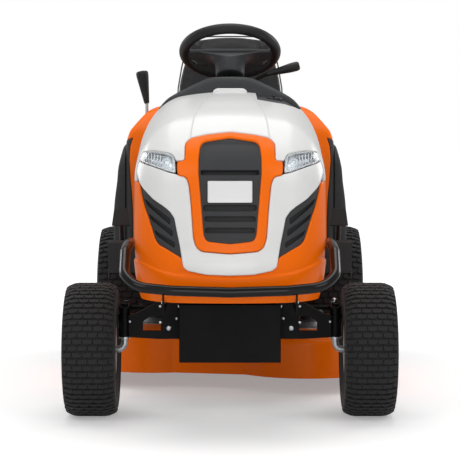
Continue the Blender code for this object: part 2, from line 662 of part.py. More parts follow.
def make_frame():
    """The welded frame with its axle bracket, engine plate, hinge arms and rear plate."""
    rail = [(FRAME_FRONT, 0.350), (RAIL_STEP_D, 0.350), (RAIL_STEP_D + 0.040, RAIL_BOTTOM),
            (FRAME_REAR, RAIL_BOTTOM), (FRAME_REAR, RAIL_TOP), (0.250, RAIL_TOP), (0.222, 0.400),
            (FRAME_FRONT, 0.400)]
    arm = [(FRAME_FRONT + 0.03, 0.362), (FRAME_FRONT + 0.03, 0.396), (HINGE_D + 0.004, HINGE_Z + 0.014),
           (HINGE_D - 0.012, HINGE_Z + 0.010), (HINGE_D - 0.014, HINGE_Z - 0.008), (-0.16, 0.364)]
    horn_mount = [(-0.062, 0.330), (-0.062, 0.386), (-0.090, 0.386), (-0.130, 0.340), (-0.335, 0.340),
                  (-0.352, 0.388), (-0.364, 0.386), (-0.352, 0.328)]
    parts = []
    for low, high in both_sides(RAIL_X - RAIL_WALL, RAIL_X):
        parts.append(prism([[(behind_axle(d), z) for d, z in rail]], "side", low, high))
    for low, high in both_sides(RAIL_X - 0.0135, RAIL_X - 0.001):
        parts.append(box((low, behind_axle(0.255), RAIL_TOP - RAIL_WALL - 0.0002),
                         (high, behind_axle(FRAME_REAR + 0.001), RAIL_TOP - 0.0002)))
    for low, high in both_sides(RAIL_X - RAIL_WALL - 0.0025, RAIL_X - RAIL_WALL + 0.0012):
        parts.append(prism([[(behind_axle(d), z) for d, z in arm]], "side", low, high))
    for low, high in both_sides(0.173, 0.178):
        parts.append(prism([[(behind_axle(d), z) for d, z in horn_mount]], "side", low, high))
    for low, high in both_sides(RAIL_X - 0.001, 0.1745):
        parts.append(box((low, behind_axle(-0.088), 0.357), (high, behind_axle(-0.074), 0.381)))
    plate_low = ENGINE_PLATE_TOP - ENGINE_PLATE_THICK
    parts.append(box((-RAIL_X + 0.0015, behind_axle(FRAME_FRONT + 0.002), plate_low),
                     (RAIL_X - 0.0015, behind_axle(ENGINE_PLATE_REAR), ENGINE_PLATE_TOP)))
    for d in (-0.044, 0.038):
        bracket = [(-0.065, plate_low + 0.002), (-0.045, AXLE_PIVOT_Z - 0.025),
                   (0.045, AXLE_PIVOT_Z - 0.025), (0.065, plate_low + 0.002)]
        parts.append(prism([bracket], "front", behind_axle(d), behind_axle(d + 0.006)))
    axle_pin = rod((0, behind_axle(-0.050), AXLE_PIVOT_Z), (0, behind_axle(0.050), AXLE_PIVOT_Z),
                   AXLE_PIN_RADIUS)
    sector_stud = rod((0, behind_axle(SECTOR_PIVOT_D), SECTOR_Z - 0.012),
                      (0, behind_axle(SECTOR_PIVOT_D), plate_low + 0.002), SECTOR_STUD_RADIUS)
    hood_pin = rod((-0.162, behind_axle(HINGE_D), HINGE_Z), (0.162, behind_axle(HINGE_D), HINGE_Z),
                   HINGE_PIN_RADIUS, 16)
    parts += [axle_pin, sector_stud, hood_pin]
    for d in (LIFT_FRONT_D, LIFT_REAR_D):
        for low, high in both_sides(LIFT_X - 0.010, RAIL_X - 0.002):
            parts.append(rod((low, behind_axle(d), LIFT_PIVOT_Z), (high, behind_axle(d), LIFT_PIVOT_Z),
                             LIFT_PIN_RADIUS, 12))
    rear = [(-0.190, 0.292), (-0.190, 0.560), (-0.150, 0.600), (0.150, 0.600), (0.190, 0.560),
            (0.190, 0.292)]
    window = [(-0.090, 0.420), (-0.090, 0.540), (0.090, 0.540), (0.090, 0.420)]
    plate_front = behind_axle(FRAME_REAR - 0.001)
    parts.append(prism([rear, window], "front", plate_front, plate_front + REAR_PLATE_THICK))
    hitch_y = behind_axle(WHEELBASE + REAR_TYRE_RADIUS) - 0.0305
    hitch = [(-0.035, plate_front + 0.002), (0.035, plate_front + 0.002), (0.035, hitch_y)]
    hitch += arc((0.0, hitch_y), 0.030, 0, 180, 10) + [(-0.035, hitch_y)]
    parts.append(prism([hitch], "plan", 0.300, 0.308))
    frame = join(parts[0], *parts[1:])
    holes = []
    for d, radius in ((PINION_D, 0.0105), (CRANK_D, 0.016)):
        holes.append(rod((0, behind_axle(d), 0.34), (0, behind_axle(d), 0.37), radius))
    holes.append(rod((0, hitch_y, 0.29), (0, hitch_y, 0.32), 0.0095))
    holes.append(tube(bumper_path(), BUMPER_RADIUS + GAP, 2))
    piece("frame", cut(frame, *holes), "black_steel", (0, behind_axle(0), 0))

    front = behind_axle(-0.103)
    rear_edge = behind_axle(-0.044) - GAP
    guard = [box((-0.141, front, 0.165), (0.141, front + 0.004, 0.3270), 0.0012),
             box((-0.139, front + 0.002, 0.3230), (0.139, rear_edge, 0.3265))]
    for low, high in both_sides(0.080, 0.120):
        guard.append(box((low, behind_axle(-0.060), 0.3250), (high, rear_edge - 0.001, plate_low - GAP)))
    piece("front_plate", join(guard[0], *guard[1:]), "black_steel")


def make_bumper():
    """The tubular front bumper."""
    piece("bumper_bar", tube(bumper_path(), BUMPER_RADIUS, 2), "black_steel")


def make_wheels():
    """Rims and tyres of the four wheels; each wheel turns about its own axle."""
    for side, name in ((1, "left"), (-1, "right")):
        centre = (side * FRONT_TRACK_HALF, behind_axle(0), FRONT_TYRE_RADIUS)
        wheel(f"front_rim_{name}", f"front_tyre_{name}", centre, side, FRONT_TYRE_RADIUS,
              FRONT_TYRE_WIDTH, 0.076, 0.057, 0.0107, 0.070)
        centre = (side * REAR_TRACK_HALF, behind_axle(WHEELBASE), REAR_TYRE_RADIUS)
        wheel(f"rear_rim_{name}", f"rear_tyre_{name}", centre, side, REAR_TYRE_RADIUS,
              REAR_TYRE_WIDTH, 0.102, 0.088, 0.0, 0.100)


def wheel(rim_name, tyre_name, centre, side, radius, width, rim, half_rim, bore, tread):
    """One wheel: a dished steel rim on its hub and a hollow tyre."""
    half = width / 2
    outer = [(rim + 0.001, half_rim), (rim + 0.010, half_rim + 0.004),
             (rim + 0.55 * (radius - rim), half), (radius - 0.010, tread), (radius, tread - 0.022)]
    inner = [(rim + 0.002, half_rim - 0.012), (radius - 0.030, half - 0.022)]
    profile = outer + [(r, -h) for r, h in reversed(outer)]
    profile += [(r, -h) for r, h in inner] + [(r, h) for r, h in reversed(inner)]
    piece(tyre_name, turned(profile, centre, (side, 0, 0), 24, True), "rubber", centre, 50)
    seat = rim - GAP
    hub = 0.022
    wall = seat - 0.003
    shape = [(rim + 0.012, half_rim + 0.0055), (seat, half_rim + 0.0005),
             (seat, -half_rim - 0.0005), (rim + 0.012, -half_rim - 0.0055),
             (rim + 0.011, -half_rim - 0.0085), (wall, -half_rim - 0.003), (wall, 0.008),
             (hub, 0.001), (hub, -0.030), (bore, -0.030), (bore, 0.045), (hub, 0.045), (hub, 0.007),
             (wall, 0.014), (wall, half_rim + 0.003), (rim + 0.011, half_rim + 0.0085)]
    if not bore:
        shaft = 0.0125
        reach = REAR_TRACK_HALF - 0.118
        shape = shape[10:] + shape[:9] + [(shaft, -0.030), (shaft, -reach), (0.0, -reach)]
    piece(rim_name, turned(shape, centre, (side, 0, 0), 16, bool(bore)), "rim_paint", centre)


def make_front_axle():
    """The pressed axle beam, its spindles, the tie rod and the drag link."""
    half = [(0.206, 0.323), (0.272, YOKE_TOP), (0.286, YOKE_TOP), (0.286, YOKE_BOTTOM), (0.207, 0.221)]
    hollow = [(0.203, 0.318), (0.268, 0.283), (0.278, 0.283), (0.278, 0.231), (0.207, 0.226)]
    outline = mirrored(half)
    window = [(0.195, 0.245), (0.195, 0.285), (0.225, 0.285), (0.245, 0.270), (0.245, 0.245)]
    low, high = behind_axle(-AXLE_HALF_DEPTH), behind_axle(AXLE_HALF_DEPTH)
    beam = prism([outline], "front", low, high)
    pocket = prism([mirrored(hollow)], "front", low + 0.005, high + 0.02)
    beam = cut(beam, pocket)
    for side in (1, -1):
        beam = cut(beam, prism([[(side * x, z) for x, z in window]], "front", low - 0.01, high))
    bosses = [rod((0, behind_axle(-0.036), AXLE_PIVOT_Z), (0, behind_axle(0.036), AXLE_PIVOT_Z), 0.022)]
    bores = [rod((0, behind_axle(-0.05), AXLE_PIVOT_Z), (0, behind_axle(0.05), AXLE_PIVOT_Z),
                 AXLE_PIN_RADIUS + RUNNING_GAP)]
    for side in (1, -1):
        x = side * KINGPIN_X
        bosses.append(rod((x, behind_axle(0), YOKE_BOTTOM), (x, behind_axle(0), YOKE_TOP), 0.0185))
        bores.append(rod((x, behind_axle(0), 0.2), (x, behind_axle(0), 0.32),
                         KINGPIN_RADIUS + RUNNING_GAP))
    beam = cut(join(beam, *bosses), *bores)
    piece("front_axle_beam", beam, "black_steel", (0, behind_axle(0), AXLE_PIVOT_Z))

    for side, name in ((1, "left"), (-1, "right")):
        spindle(side, name)
    tie = (KINGPIN_X, behind_axle(TIE_ARM), LINK_Z)
    link = rod(tie, (-KINGPIN_X + BALL_RADIUS + 0.004, behind_axle(TIE_ARM), LINK_Z), LINK_RADIUS, 12)
    cup = rod((tie[0], tie[1], LINK_Z - 0.010), (tie[0], tie[1], LINK_Z + 0.008), 0.013, 16)
    fork = rod((-KINGPIN_X, tie[1], LINK_Z - 0.010), (-KINGPIN_X, tie[1], LINK_Z + 0.008), 0.0145, 16)
    hole = rod((-KINGPIN_X, tie[1], 0.27), (-KINGPIN_X, tie[1], 0.33), BALL_RADIUS + 0.001, 16)
    stud_hole = rod((tie[0], tie[1], 0.27), (tie[0], tie[1], 0.33), 0.0045 + RUNNING_GAP, 12)
    piece("tie_rod", cut(join(link, cup, fork), hole, stud_hole), "zinc_steel", tie)

    near = (KINGPIN_X, behind_axle(DRAG_ARM), DRAG_Z)
    far = (0.0, behind_axle(SECTOR_PIVOT_D + DRAG_ARM), DRAG_Z)
    way = (Vector(far) - Vector(near)).normalized()
    bar = rod(Vector(near), Vector(far) - way * 0.016, LINK_RADIUS, 12)
    cup = rod((near[0], near[1], DRAG_Z - 0.009), (near[0], near[1], DRAG_Z + 0.008), 0.013, 14)
    eye = rod((far[0], far[1], DRAG_Z - 0.006), (far[0], far[1], DRAG_Z + 0.006), 0.0195, 16)
    eye_hole = rod((far[0], far[1], 0.25), (far[0], far[1], 0.30), 0.0115, 16)
    stud_hole = rod((near[0], near[1], 0.25), (near[0], near[1], 0.30), 0.0045 + RUNNING_GAP, 12)
    piece("drag_link", cut(join(bar, cup, eye), eye_hole, stud_hole), "zinc_steel", near)


def spindle(side, name):
    """One stub axle: a bent kingpin with its steering arm and ball studs."""
    x = side * KINGPIN_X
    axle_end = side * (FRONT_TRACK_HALF + 0.062)
    path = rounded_path([(x, behind_axle(0), KINGPIN_TOP - 0.004), (x, behind_axle(0), FRONT_TYRE_RADIUS),
                         (axle_end, behind_axle(0), FRONT_TYRE_RADIUS)], 0.030, 3)
    shaft = tube(path, KINGPIN_RADIUS, 2)
    collar = rod((x, behind_axle(0), YOKE_BOTTOM - 0.006), (x, behind_axle(0), YOKE_BOTTOM - GAP), 0.016)
    arm = [(x - 0.016, behind_axle(-0.014)), (x + 0.016, behind_axle(-0.014)),
           (x + 0.010, behind_axle(TIE_ARM + 0.010)), (x - 0.010, behind_axle(TIE_ARM + 0.010))]
    arm_low, arm_high = LINK_Z + 0.0085, LINK_Z + 0.0145
    parts = [collar, prism([arm], "plan", arm_low, arm_high)]
    studs = [(TIE_ARM, LINK_Z), (DRAG_ARM, DRAG_Z)] if side > 0 else [(TIE_ARM, LINK_Z)]
    for reach, height in studs:
        parts.append(rod((x, behind_axle(reach), height - 0.013),
                         (x, behind_axle(reach), arm_low + 0.003), 0.0045, 12))
    spacer = rod((x, behind_axle(0), YOKE_TOP + GAP), (x, behind_axle(0), arm_low + 0.002), 0.015)
    parts.append(spacer)
    axle_stop = side * (FRONT_TRACK_HALF - 0.052)
    parts.append(rod((axle_stop, behind_axle(0), FRONT_TYRE_RADIUS),
                     (axle_stop + side * 0.0065, behind_axle(0), FRONT_TYRE_RADIUS), 0.016))
    origin = (x, behind_axle(0), FRONT_TYRE_RADIUS)
    piece(f"spindle_{name}", join(shaft, *parts), "zinc_steel", origin)


def gear_outline(centre, teeth, first, last, pitch, up=90.0):
    """Tooth points of a spur gear between two tooth numbers, counted from a direction."""
    outer, root = pitch + 0.85 * TOOTH_MODULE, pitch - 1.15 * TOOTH_MODULE
    step = 360.0 / teeth
    points = []
    for i in range(first, last + 1):
        middle = up + i * step
        for radius, share in ((root, -0.30), (outer, -0.11), (outer, 0.11), (root, 0.30)):
            a = math.radians(middle + share * step)
            points.append((centre[0] + radius * math.cos(a), centre[1] + radius * math.sin(a)))
    return points


def make_steering():
    """Steering wheel, column with its joint, pinion and sector gear."""
    axis = Vector((0.0, math.sin(WHEEL_TILT), math.cos(WHEEL_TILT)))
    hub = Vector((0.0, behind_axle(WHEEL_HUB_D), WHEEL_HUB_Z))
    turn = axis.to_track_quat("Z", "Y").to_matrix().to_4x4()
    place = Matrix.Translation(hub) @ turn
    major = WHEEL_RADIUS - WHEEL_RIM_RADIUS
    ring = [(math.cos(math.pi * i / 12) * major, math.sin(math.pi * i / 12) * major, 0.004)
            for i in range(24)]
    parts = [tube(ring, WHEEL_RIM_RADIUS, 2, True)]
    spokes = [[(-0.140, 0.016), (0.140, 0.016), (0.140, -0.040), (0.100, -0.052), (-0.100, -0.052),
               (-0.140, -0.040)],
              [(-0.062, -0.045), (0.062, -0.045), (0.078, -0.134), (-0.078, -0.134)]]
    for outline in spokes:
        parts.append(prism([outline], "plan", -0.006, 0.006))
    parts.append(rod((0, 0, -0.040), (0, 0, 0.010), 0.034, 20, 0.044))
    parts.append(rod((0, 0, -0.062), (0, 0, -0.038), 0.024, 16))
    bore = rod((0, 0, -0.08), (0, 0, -0.0195), COLUMN_RADIUS + GAP, 16)
    wheel_mesh = cut(join(parts[0], *parts[1:]), bore)
    wheel_mesh.transform(place)
    piece("steering_wheel", wheel_mesh, "black_plastic", hub)

    foot = hub - axis * ((WHEEL_HUB_Z - COLUMN_JOINT_Z) / axis.z)
    shaft = rod(foot + axis * 0.026, hub - axis * 0.020, COLUMN_RADIUS - GAP)
    cup = rod(foot + axis * 0.003, foot + axis * 0.030, COLUMN_BALL + 0.0055, 16)
    hollow = ball(foot, COLUMN_BALL + 2 * RUNNING_GAP, 14)
    piece("steering_shaft", cut(join(shaft, cup), hollow), "black_steel", hub)

    gear = gear_outline((0, behind_axle(PINION_D)), PINION_TEETH, 0, PINION_TEETH - 1, PINION_PITCH, 112.5)
    pinion = prism([gear], "plan", SECTOR_Z - 0.006, SECTOR_Z + 0.014)
    centre = (0, behind_axle(PINION_D))
    stem = rod((*centre, SECTOR_Z + 0.012), (*centre, COLUMN_JOINT_Z - COLUMN_BALL / 2), 0.0085)
    collar = rod((*centre, ENGINE_PLATE_TOP + GAP), (*centre, ENGINE_PLATE_TOP + 0.008), 0.016)
    knuckle = ball((*centre, COLUMN_JOINT_Z), COLUMN_BALL, 14)
    piece("pinion_shaft", join(pinion, stem, collar, knuckle), "black_steel", (*centre, SECTOR_Z))

    pivot = (0, behind_axle(SECTOR_PIVOT_D))
    stud = (0, pivot[1] + DRAG_ARM)
    body = gear_outline(pivot, SECTOR_TEETH, -5, 5, SECTOR_PITCH, -90.0)
    body += [(0.022, pivot[1] + 0.006), (0.016, stud[1] + 0.004)]
    body += arc(stud, 0.014, 0, 180, 8) + [(-0.016, stud[1] + 0.004), (-0.022, pivot[1] + 0.006)]
    low = SECTOR_Z - SECTOR_THICK / 2
    plate = prism([body], "plan", low, low + SECTOR_THICK)
    drag_stud = rod((*stud, DRAG_Z - 0.010), (*stud, low + 0.002), 0.008, 16)
    bore = rod((*pivot, 0.28), (*pivot, 0.34), SECTOR_STUD_RADIUS + RUNNING_GAP)
    piece("sector_gear", cut(join(plate, drag_stud), bore), "black_steel", (*pivot, SECTOR_Z))


def make_engine():
    """The vertical-shaft engine, its cooling cover, muffler, pulley and fuel tank."""
    centre = behind_axle(CRANK_D)
    base = ENGINE_PLATE_TOP + GAP
    crankcase = turned([(0.0, 0.530), (0.096, 0.530), (0.104, 0.520), (0.104, base + 0.012),
                        (0.112, base + 0.010), (0.112, base), (0.0, base)], (0, centre, 0), (0, 0, 1), 18)
    head = behind_axle(-0.062)
    parts = [box((-0.046, head + 0.002, 0.392), (0.046, centre, 0.508)),
             box((-0.062, head, 0.384), (0.062, head + 0.020, 0.516), 0.004)]
    for i in range(5):
        y = head + 0.027 + 0.012 * i
        parts.append(box((-0.074, y, 0.376), (0.074, y + 0.004, 0.524)))
    parts.append(rod((0.085, centre + 0.03, 0.405), (0.134, centre + 0.03, 0.405), 0.033, 14))
    stub = rod((0, centre, base - 0.006), (0, centre, base + 0.010), 0.0125, 14)
    piece("engine_block", join(crankcase, stub, *parts), "cast_aluminium")

    cover = [(0.0, 0.612), (0.050, 0.612), (0.052, 0.606), (0.108, 0.600), (0.124, 0.586),
             (0.128, 0.560), (0.128, 0.540), (0.124, 0.540), (0.124, 0.556), (0.096, 0.5303),
             (0.0, 0.5303)]
    piece("blower_housing", turned(cover, (0, centre, 0), (0, 0, 1), 18), "black_plastic")

    muffler_y = head - 0.052
    can = rod((-0.115, muffler_y, 0.455), (0.115, muffler_y, 0.455), 0.044, 16)
    pipes = [rod((x, muffler_y, 0.455), (x, head - GAP, 0.455), 0.013, 14) for x in (-0.034, 0.034)]
    outlet = rod((0.095, muffler_y, 0.455), (0.135, muffler_y, 0.430), 0.012, 14)
    piece("muffler", join(can, outlet, *pipes), "zinc_steel")

    half = 0.007
    rim, root = PULLEY_RADIUS, PULLEY_RADIUS - 0.010
    profile = [(0.0, base - 0.0065), (0.0125, base - 0.0065), (0.0125, BELT_Z + half + 0.004),
               (rim, BELT_Z + half + 0.003), (rim, BELT_Z + half), (root, BELT_Z + 0.002),
               (root, BELT_Z - 0.002), (rim, BELT_Z - half), (rim, BELT_Z - half - 0.003),
               (root - 0.002, BELT_Z - half - 0.009), (rim, BELT_Z - half - 0.014),
               (rim, BELT_Z - half - 0.017), (0.0, BELT_Z - half - 0.017)]
    piece("crank_pulley", turned(profile, (0, centre, 0), (0, 0, 1), 14), "black_steel",
          (0, centre, BELT_Z))

    tank = box((0.042, behind_axle(0.285), 0.600), (0.205, behind_axle(0.425), 0.838), 0.022)
    neck = rod((CAP_X, behind_axle(CAP_D), 0.830), (CAP_X, behind_axle(CAP_D), 0.872), 0.022, 16)
    leg = box((RAIL_X - 0.012, behind_axle(0.300), RAIL_TOP + GAP),
              (RAIL_X, behind_axle(FOOT_FRONT + 0.020), 0.606))
    piece("fuel_tank", join(tank, neck, leg), "tank_plastic")
    cap = [(0.0, 0.904), (0.020, 0.904), (0.026, 0.899), (0.027, 0.880), (0.027, 0.862),
           (0.0225, 0.862), (0.0225, 0.872 + GAP), (0.0, 0.872 + GAP)]
    piece("fuel_cap", turned(cap, (CAP_X, behind_axle(CAP_D), 0), (0, 0, 1), 16), "black_plastic",
          (CAP_X, behind_axle(CAP_D), 0.89))


def make_transmission():
    """The transaxle between the rear wheels with its input pulley and the drive belt."""
    rear_y = behind_axle(WHEELBASE)
    half_depth = 0.085
    input_y = behind_axle(INPUT_D)
    case_front = input_y - INPUT_BOSS_RADIUS - 0.002
    case = box((-0.108, case_front, 0.160), (0.108, rear_y + half_depth, 0.298), 0.012)
    tubes = rod((-0.2315, rear_y, REAR_TYRE_RADIUS), (0.2315, rear_y, REAR_TYRE_RADIUS), 0.030)
    bores = []
    for side in (1, -1):
        bores.append(rod((side * 0.1175, rear_y, REAR_TYRE_RADIUS), (side * 0.24, rear_y, REAR_TYRE_RADIUS),
                         0.0125 + RUNNING_GAP, 16))
    feet = []
    for low, high in both_sides(RAIL_X - RAIL_WALL - 0.040, RAIL_X + 0.012):
        feet.append(box((low, rear_y - 0.030, REAR_TYRE_RADIUS), (high, rear_y + 0.030, RAIL_BOTTOM - GAP)))
    ribs = [box((-0.100, rear_y - 0.120 + 0.024 * i, 0.290), (0.100, rear_y - 0.116 + 0.024 * i, 0.308))
            for i in range(2, 8)]
    top = rod((0, input_y, 0.290), (0, input_y, INPUT_BOSS_TOP), INPUT_BOSS_RADIUS)
    case = cut(join(case, tubes, top, *feet, *ribs), *bores)
    piece("transaxle_housing", case, "cast_aluminium")

    half = 0.007
    rim, root = INPUT_RADIUS, INPUT_RADIUS - 0.010
    profile = [(0.0, BELT_Z + half + 0.005), (rim - 0.02, BELT_Z + half + 0.005),
               (rim, BELT_Z + half + 0.003), (rim, BELT_Z + half), (root, BELT_Z + 0.002),
               (root, BELT_Z - 0.002), (rim, BELT_Z - half), (rim, BELT_Z - half - 0.003),
               (0.030, BELT_Z - half - 0.004), (0.030, INPUT_BOSS_TOP + GAP), (0.0, INPUT_BOSS_TOP + GAP)]
    piece("input_pulley", turned(profile, (0, input_y, 0), (0, 0, 1), 14), "black_steel",
          (0, input_y, BELT_Z))
    inner_front, inner_rear = PULLEY_RADIUS - 0.0065, INPUT_RADIUS - 0.0065
    loops = []
    for extra in (0.0085, 0.0):
        loop = arc((0, input_y), inner_rear + extra, 0, 180, 10)
        loop += arc((0, behind_axle(CRANK_D)), inner_front + extra, 180, 360, 10)
        loops.append(loop)
    piece("traction_belt", prism(loops, "plan", BELT_Z - 0.0025, BELT_Z + 0.0025), "rubber")


def deck_outline(margin=0.0):
    """The deck seen from above: two lobes with a straight rear wall."""
    radius = LOBE_RADIUS - margin
    left = (LOBE_X, behind_axle(LEFT_LOBE_D))
    right = (-LOBE_X, behind_axle(RIGHT_LOBE_D))
    rear = behind_axle(DECK_REAR) - margin
    points = [(left[0] + radius * math.cos(math.radians(20)), rear - 0.06), (0.40, rear)]
    points += [(-0.43, rear)]
    points += arc(right, radius, 150, 285, 9)
    points += arc(left, radius, 222, 360, 9)
    return points


def make_deck():
    """The cutting deck, its blades with their spindles, and the lift linkage."""
    arm_y = LIFT_ARM * math.cos(LIFT_DROP)
    arm_z = LIFT_ARM * math.sin(LIFT_DROP)
    pivot_y = behind_axle(LIFT_FRONT_D) + arm_y
    pivot_z = LIFT_PIVOT_Z - arm_z
    outer = prism([deck_outline()], "plan", DECK_SKIRT, DECK_TOP)
    inner = prism([deck_outline(DECK_WALL)], "plan", DECK_SKIRT - 0.02, DECK_TOP - DECK_WALL)
    shell = cut(outer, inner)
    parts = []
    bores = []
    for side, lobe_d in ((1, LEFT_LOBE_D), (-1, RIGHT_LOBE_D)):
        centre = (side * LOBE_X, behind_axle(lobe_d), 0)
        ring = [(0.030, 0.205), (0.046, 0.200), (0.060, DECK_TOP - 0.001), (0.060, DECK_TOP - 0.004),
                (0.030, DECK_TOP - 0.004)]
        parts.append(turned([(0.0, 0.205)] + ring + [(0.0, DECK_TOP - 0.004)], centre, (0, 0, 1), 16))
        bores.append(rod((centre[0], centre[1], 0.15), (centre[0], centre[1], 0.23),
                         SPINDLE_RADIUS + RUNNING_GAP))
    for d in (LIFT_FRONT_D, LIFT_REAR_D):
        y = behind_axle(d) + arm_y
        for low, high in both_sides(LIFT_X - 0.016, LIFT_X - 0.012):
            lug = [(y - 0.045, DECK_TOP - 0.001), (y + 0.045, DECK_TOP - 0.001)]
            lug += arc((y, pivot_z), 0.014, 0, 180, 6)
            parts.append(prism([lug], "side", low, high))
        for low, high in both_sides(LIFT_X - 0.0145, LIFT_X + 0.0045):
            parts.append(rod((low, y, pivot_z), (high, y, pivot_z), LIFT_PIN_RADIUS - 0.001, 12))
    rear = behind_axle(DECK_REAR)
    outlet = box((-OUTLET_HALF, rear - 0.02, 0.070), (OUTLET_HALF, rear + 0.02, OUTLET_TOP))
    shell = cut(join(shell, *parts), outlet, *bores)
    piece("deck_shell", shell, "orange_paint", (0, pivot_y, pivot_z))

    flap_z = OUTLET_TOP + 0.0115
    flap = arc((rear + 0.0046, flap_z), 0.0042, 90, 270, 4)
    flap += [(rear + 0.046, 0.120), (rear + 0.046, 0.083), (rear + 0.050, 0.083), (rear + 0.050, 0.123)]
    reach = OUTLET_HALF + 0.010
    piece("discharge_deflector", prism([flap], "side", -reach, reach), "black_plastic",
          (0, rear + 0.0046, flap_z))

    for side, lobe_d, name in ((1, LEFT_LOBE_D, "left"), (-1, RIGHT_LOBE_D, "right")):
        blade(side * LOBE_X, behind_axle(lobe_d), name)
    for d, name in ((LIFT_FRONT_D, "front"), (LIFT_REAR_D, "rear")):
        lift_shaft(behind_axle(d), name, arm_y, arm_z)


def blade(x, y, name):
    """One mower blade on its spindle shaft with the pulley above the deck."""
    shaft = [(0.0, 0.246), (0.016, 0.244), (0.058, 0.242), (0.048, 0.234), (0.058, 0.225),
             (0.018, 0.222), (0.018, 0.2053), (SPINDLE_RADIUS, 0.2053), (SPINDLE_RADIUS, 0.150),
             (0.020, 0.148), (0.020, BLADE_Z - 0.006), (0.0, BLADE_Z - 0.006)]
    body = turned(shaft, (x, y, 0), (0, 0, 1), 12)
    wing = [(-BLADE_RADIUS + 0.006, -0.026), (-0.14, -0.028), (-0.06, -0.022), (0.06, -0.022),
            (BLADE_RADIUS - 0.006, -0.016), (BLADE_RADIUS - 0.006, 0.026), (0.14, 0.028),
            (0.06, 0.022), (-0.06, 0.022), (-BLADE_RADIUS + 0.006, 0.016)]
    bar = prism([[(x + a, y + b) for a, b in wing]], "plan", BLADE_Z - 0.002, BLADE_Z + 0.002)
    lifts = []
    for side in (1, -1):
        sail = [(y + side * 0.014, BLADE_Z), (y + side * 0.024, BLADE_Z + 0.022),
                (y + side * 0.027, BLADE_Z + 0.020), (y + side * 0.020, BLADE_Z)]
        low, high = sorted((x + side * 0.165, x + side * (BLADE_RADIUS - 0.010)))
        lifts.append(prism([sail], "side", low, high))
    piece(f"blade_{name}", join(body, bar, *lifts), "black_steel", (x, y, BLADE_Z))


def lift_shaft(y, name, arm_y, arm_z):
    """A pair of lift arms on the frame's pins, tied by a cross tube."""
    parts = []
    bores = []
    end = (y + arm_y, LIFT_PIVOT_Z - arm_z)
    lean = math.degrees(math.atan2(end[1] - LIFT_PIVOT_Z, end[0] - y))
    for low, high in both_sides(LIFT_X - 0.004, LIFT_X + 0.002):
        outline = arc((y, LIFT_PIVOT_Z), 0.0150, lean + 90, lean + 270, 5)
        outline += arc(end, 0.0125, lean - 90, lean + 90, 5)
        parts.append(prism([outline], "side", low, high))
        bores.append(rod((low - 0.01, y, LIFT_PIVOT_Z), (high + 0.01, y, LIFT_PIVOT_Z),
                         LIFT_PIN_RADIUS + RUNNING_GAP, 12))
        bores.append(rod((low - 0.01, *end), (high + 0.01, *end),
                         LIFT_PIN_RADIUS - 0.001 + RUNNING_GAP, 12))
    way = (arm_y / LIFT_ARM, -arm_z / LIFT_ARM)
    middle = (y + way[0] * LIFT_TIE_OUT + way[1] * LIFT_TIE_DROP,
              LIFT_PIVOT_Z + way[1] * LIFT_TIE_OUT - way[0] * LIFT_TIE_DROP)
    cross = rod((-LIFT_X + 0.001, *middle), (LIFT_X - 0.001, *middle), 0.0065, 10)
    piece(f"lift_arms_{name}", cut(join(cross, *parts), *bores), "black_steel", (0, y, LIFT_PIVOT_Z))


def profile_body(front_outline, side_outline):
    """A body with one outline from the front and another from the side."""
    lows = min(p[0] for p in side_outline) - 0.01
    highs = max(p[0] for p in side_outline) + 0.01
    wide = max(abs(p[0]) for p in front_outline) + 0.01
    return common(prism([front_outline], "front", lows, highs), prism([side_outline], "side", -wide, wide))


def wheel_arch(rear_y, end=145.0, steps=10):
    """Points of the arch over the rear wheel as (Y, Z), from a rear edge forward."""
    reach = REAR_TYRE_RADIUS + ARCH_CLEARANCE
    axle_y = behind_axle(WHEELBASE)
    start = math.degrees(math.acos(min((rear_y - axle_y) / reach, 0.95)))
    return arc((axle_y, REAR_TYRE_RADIUS), reach, start, end, steps)


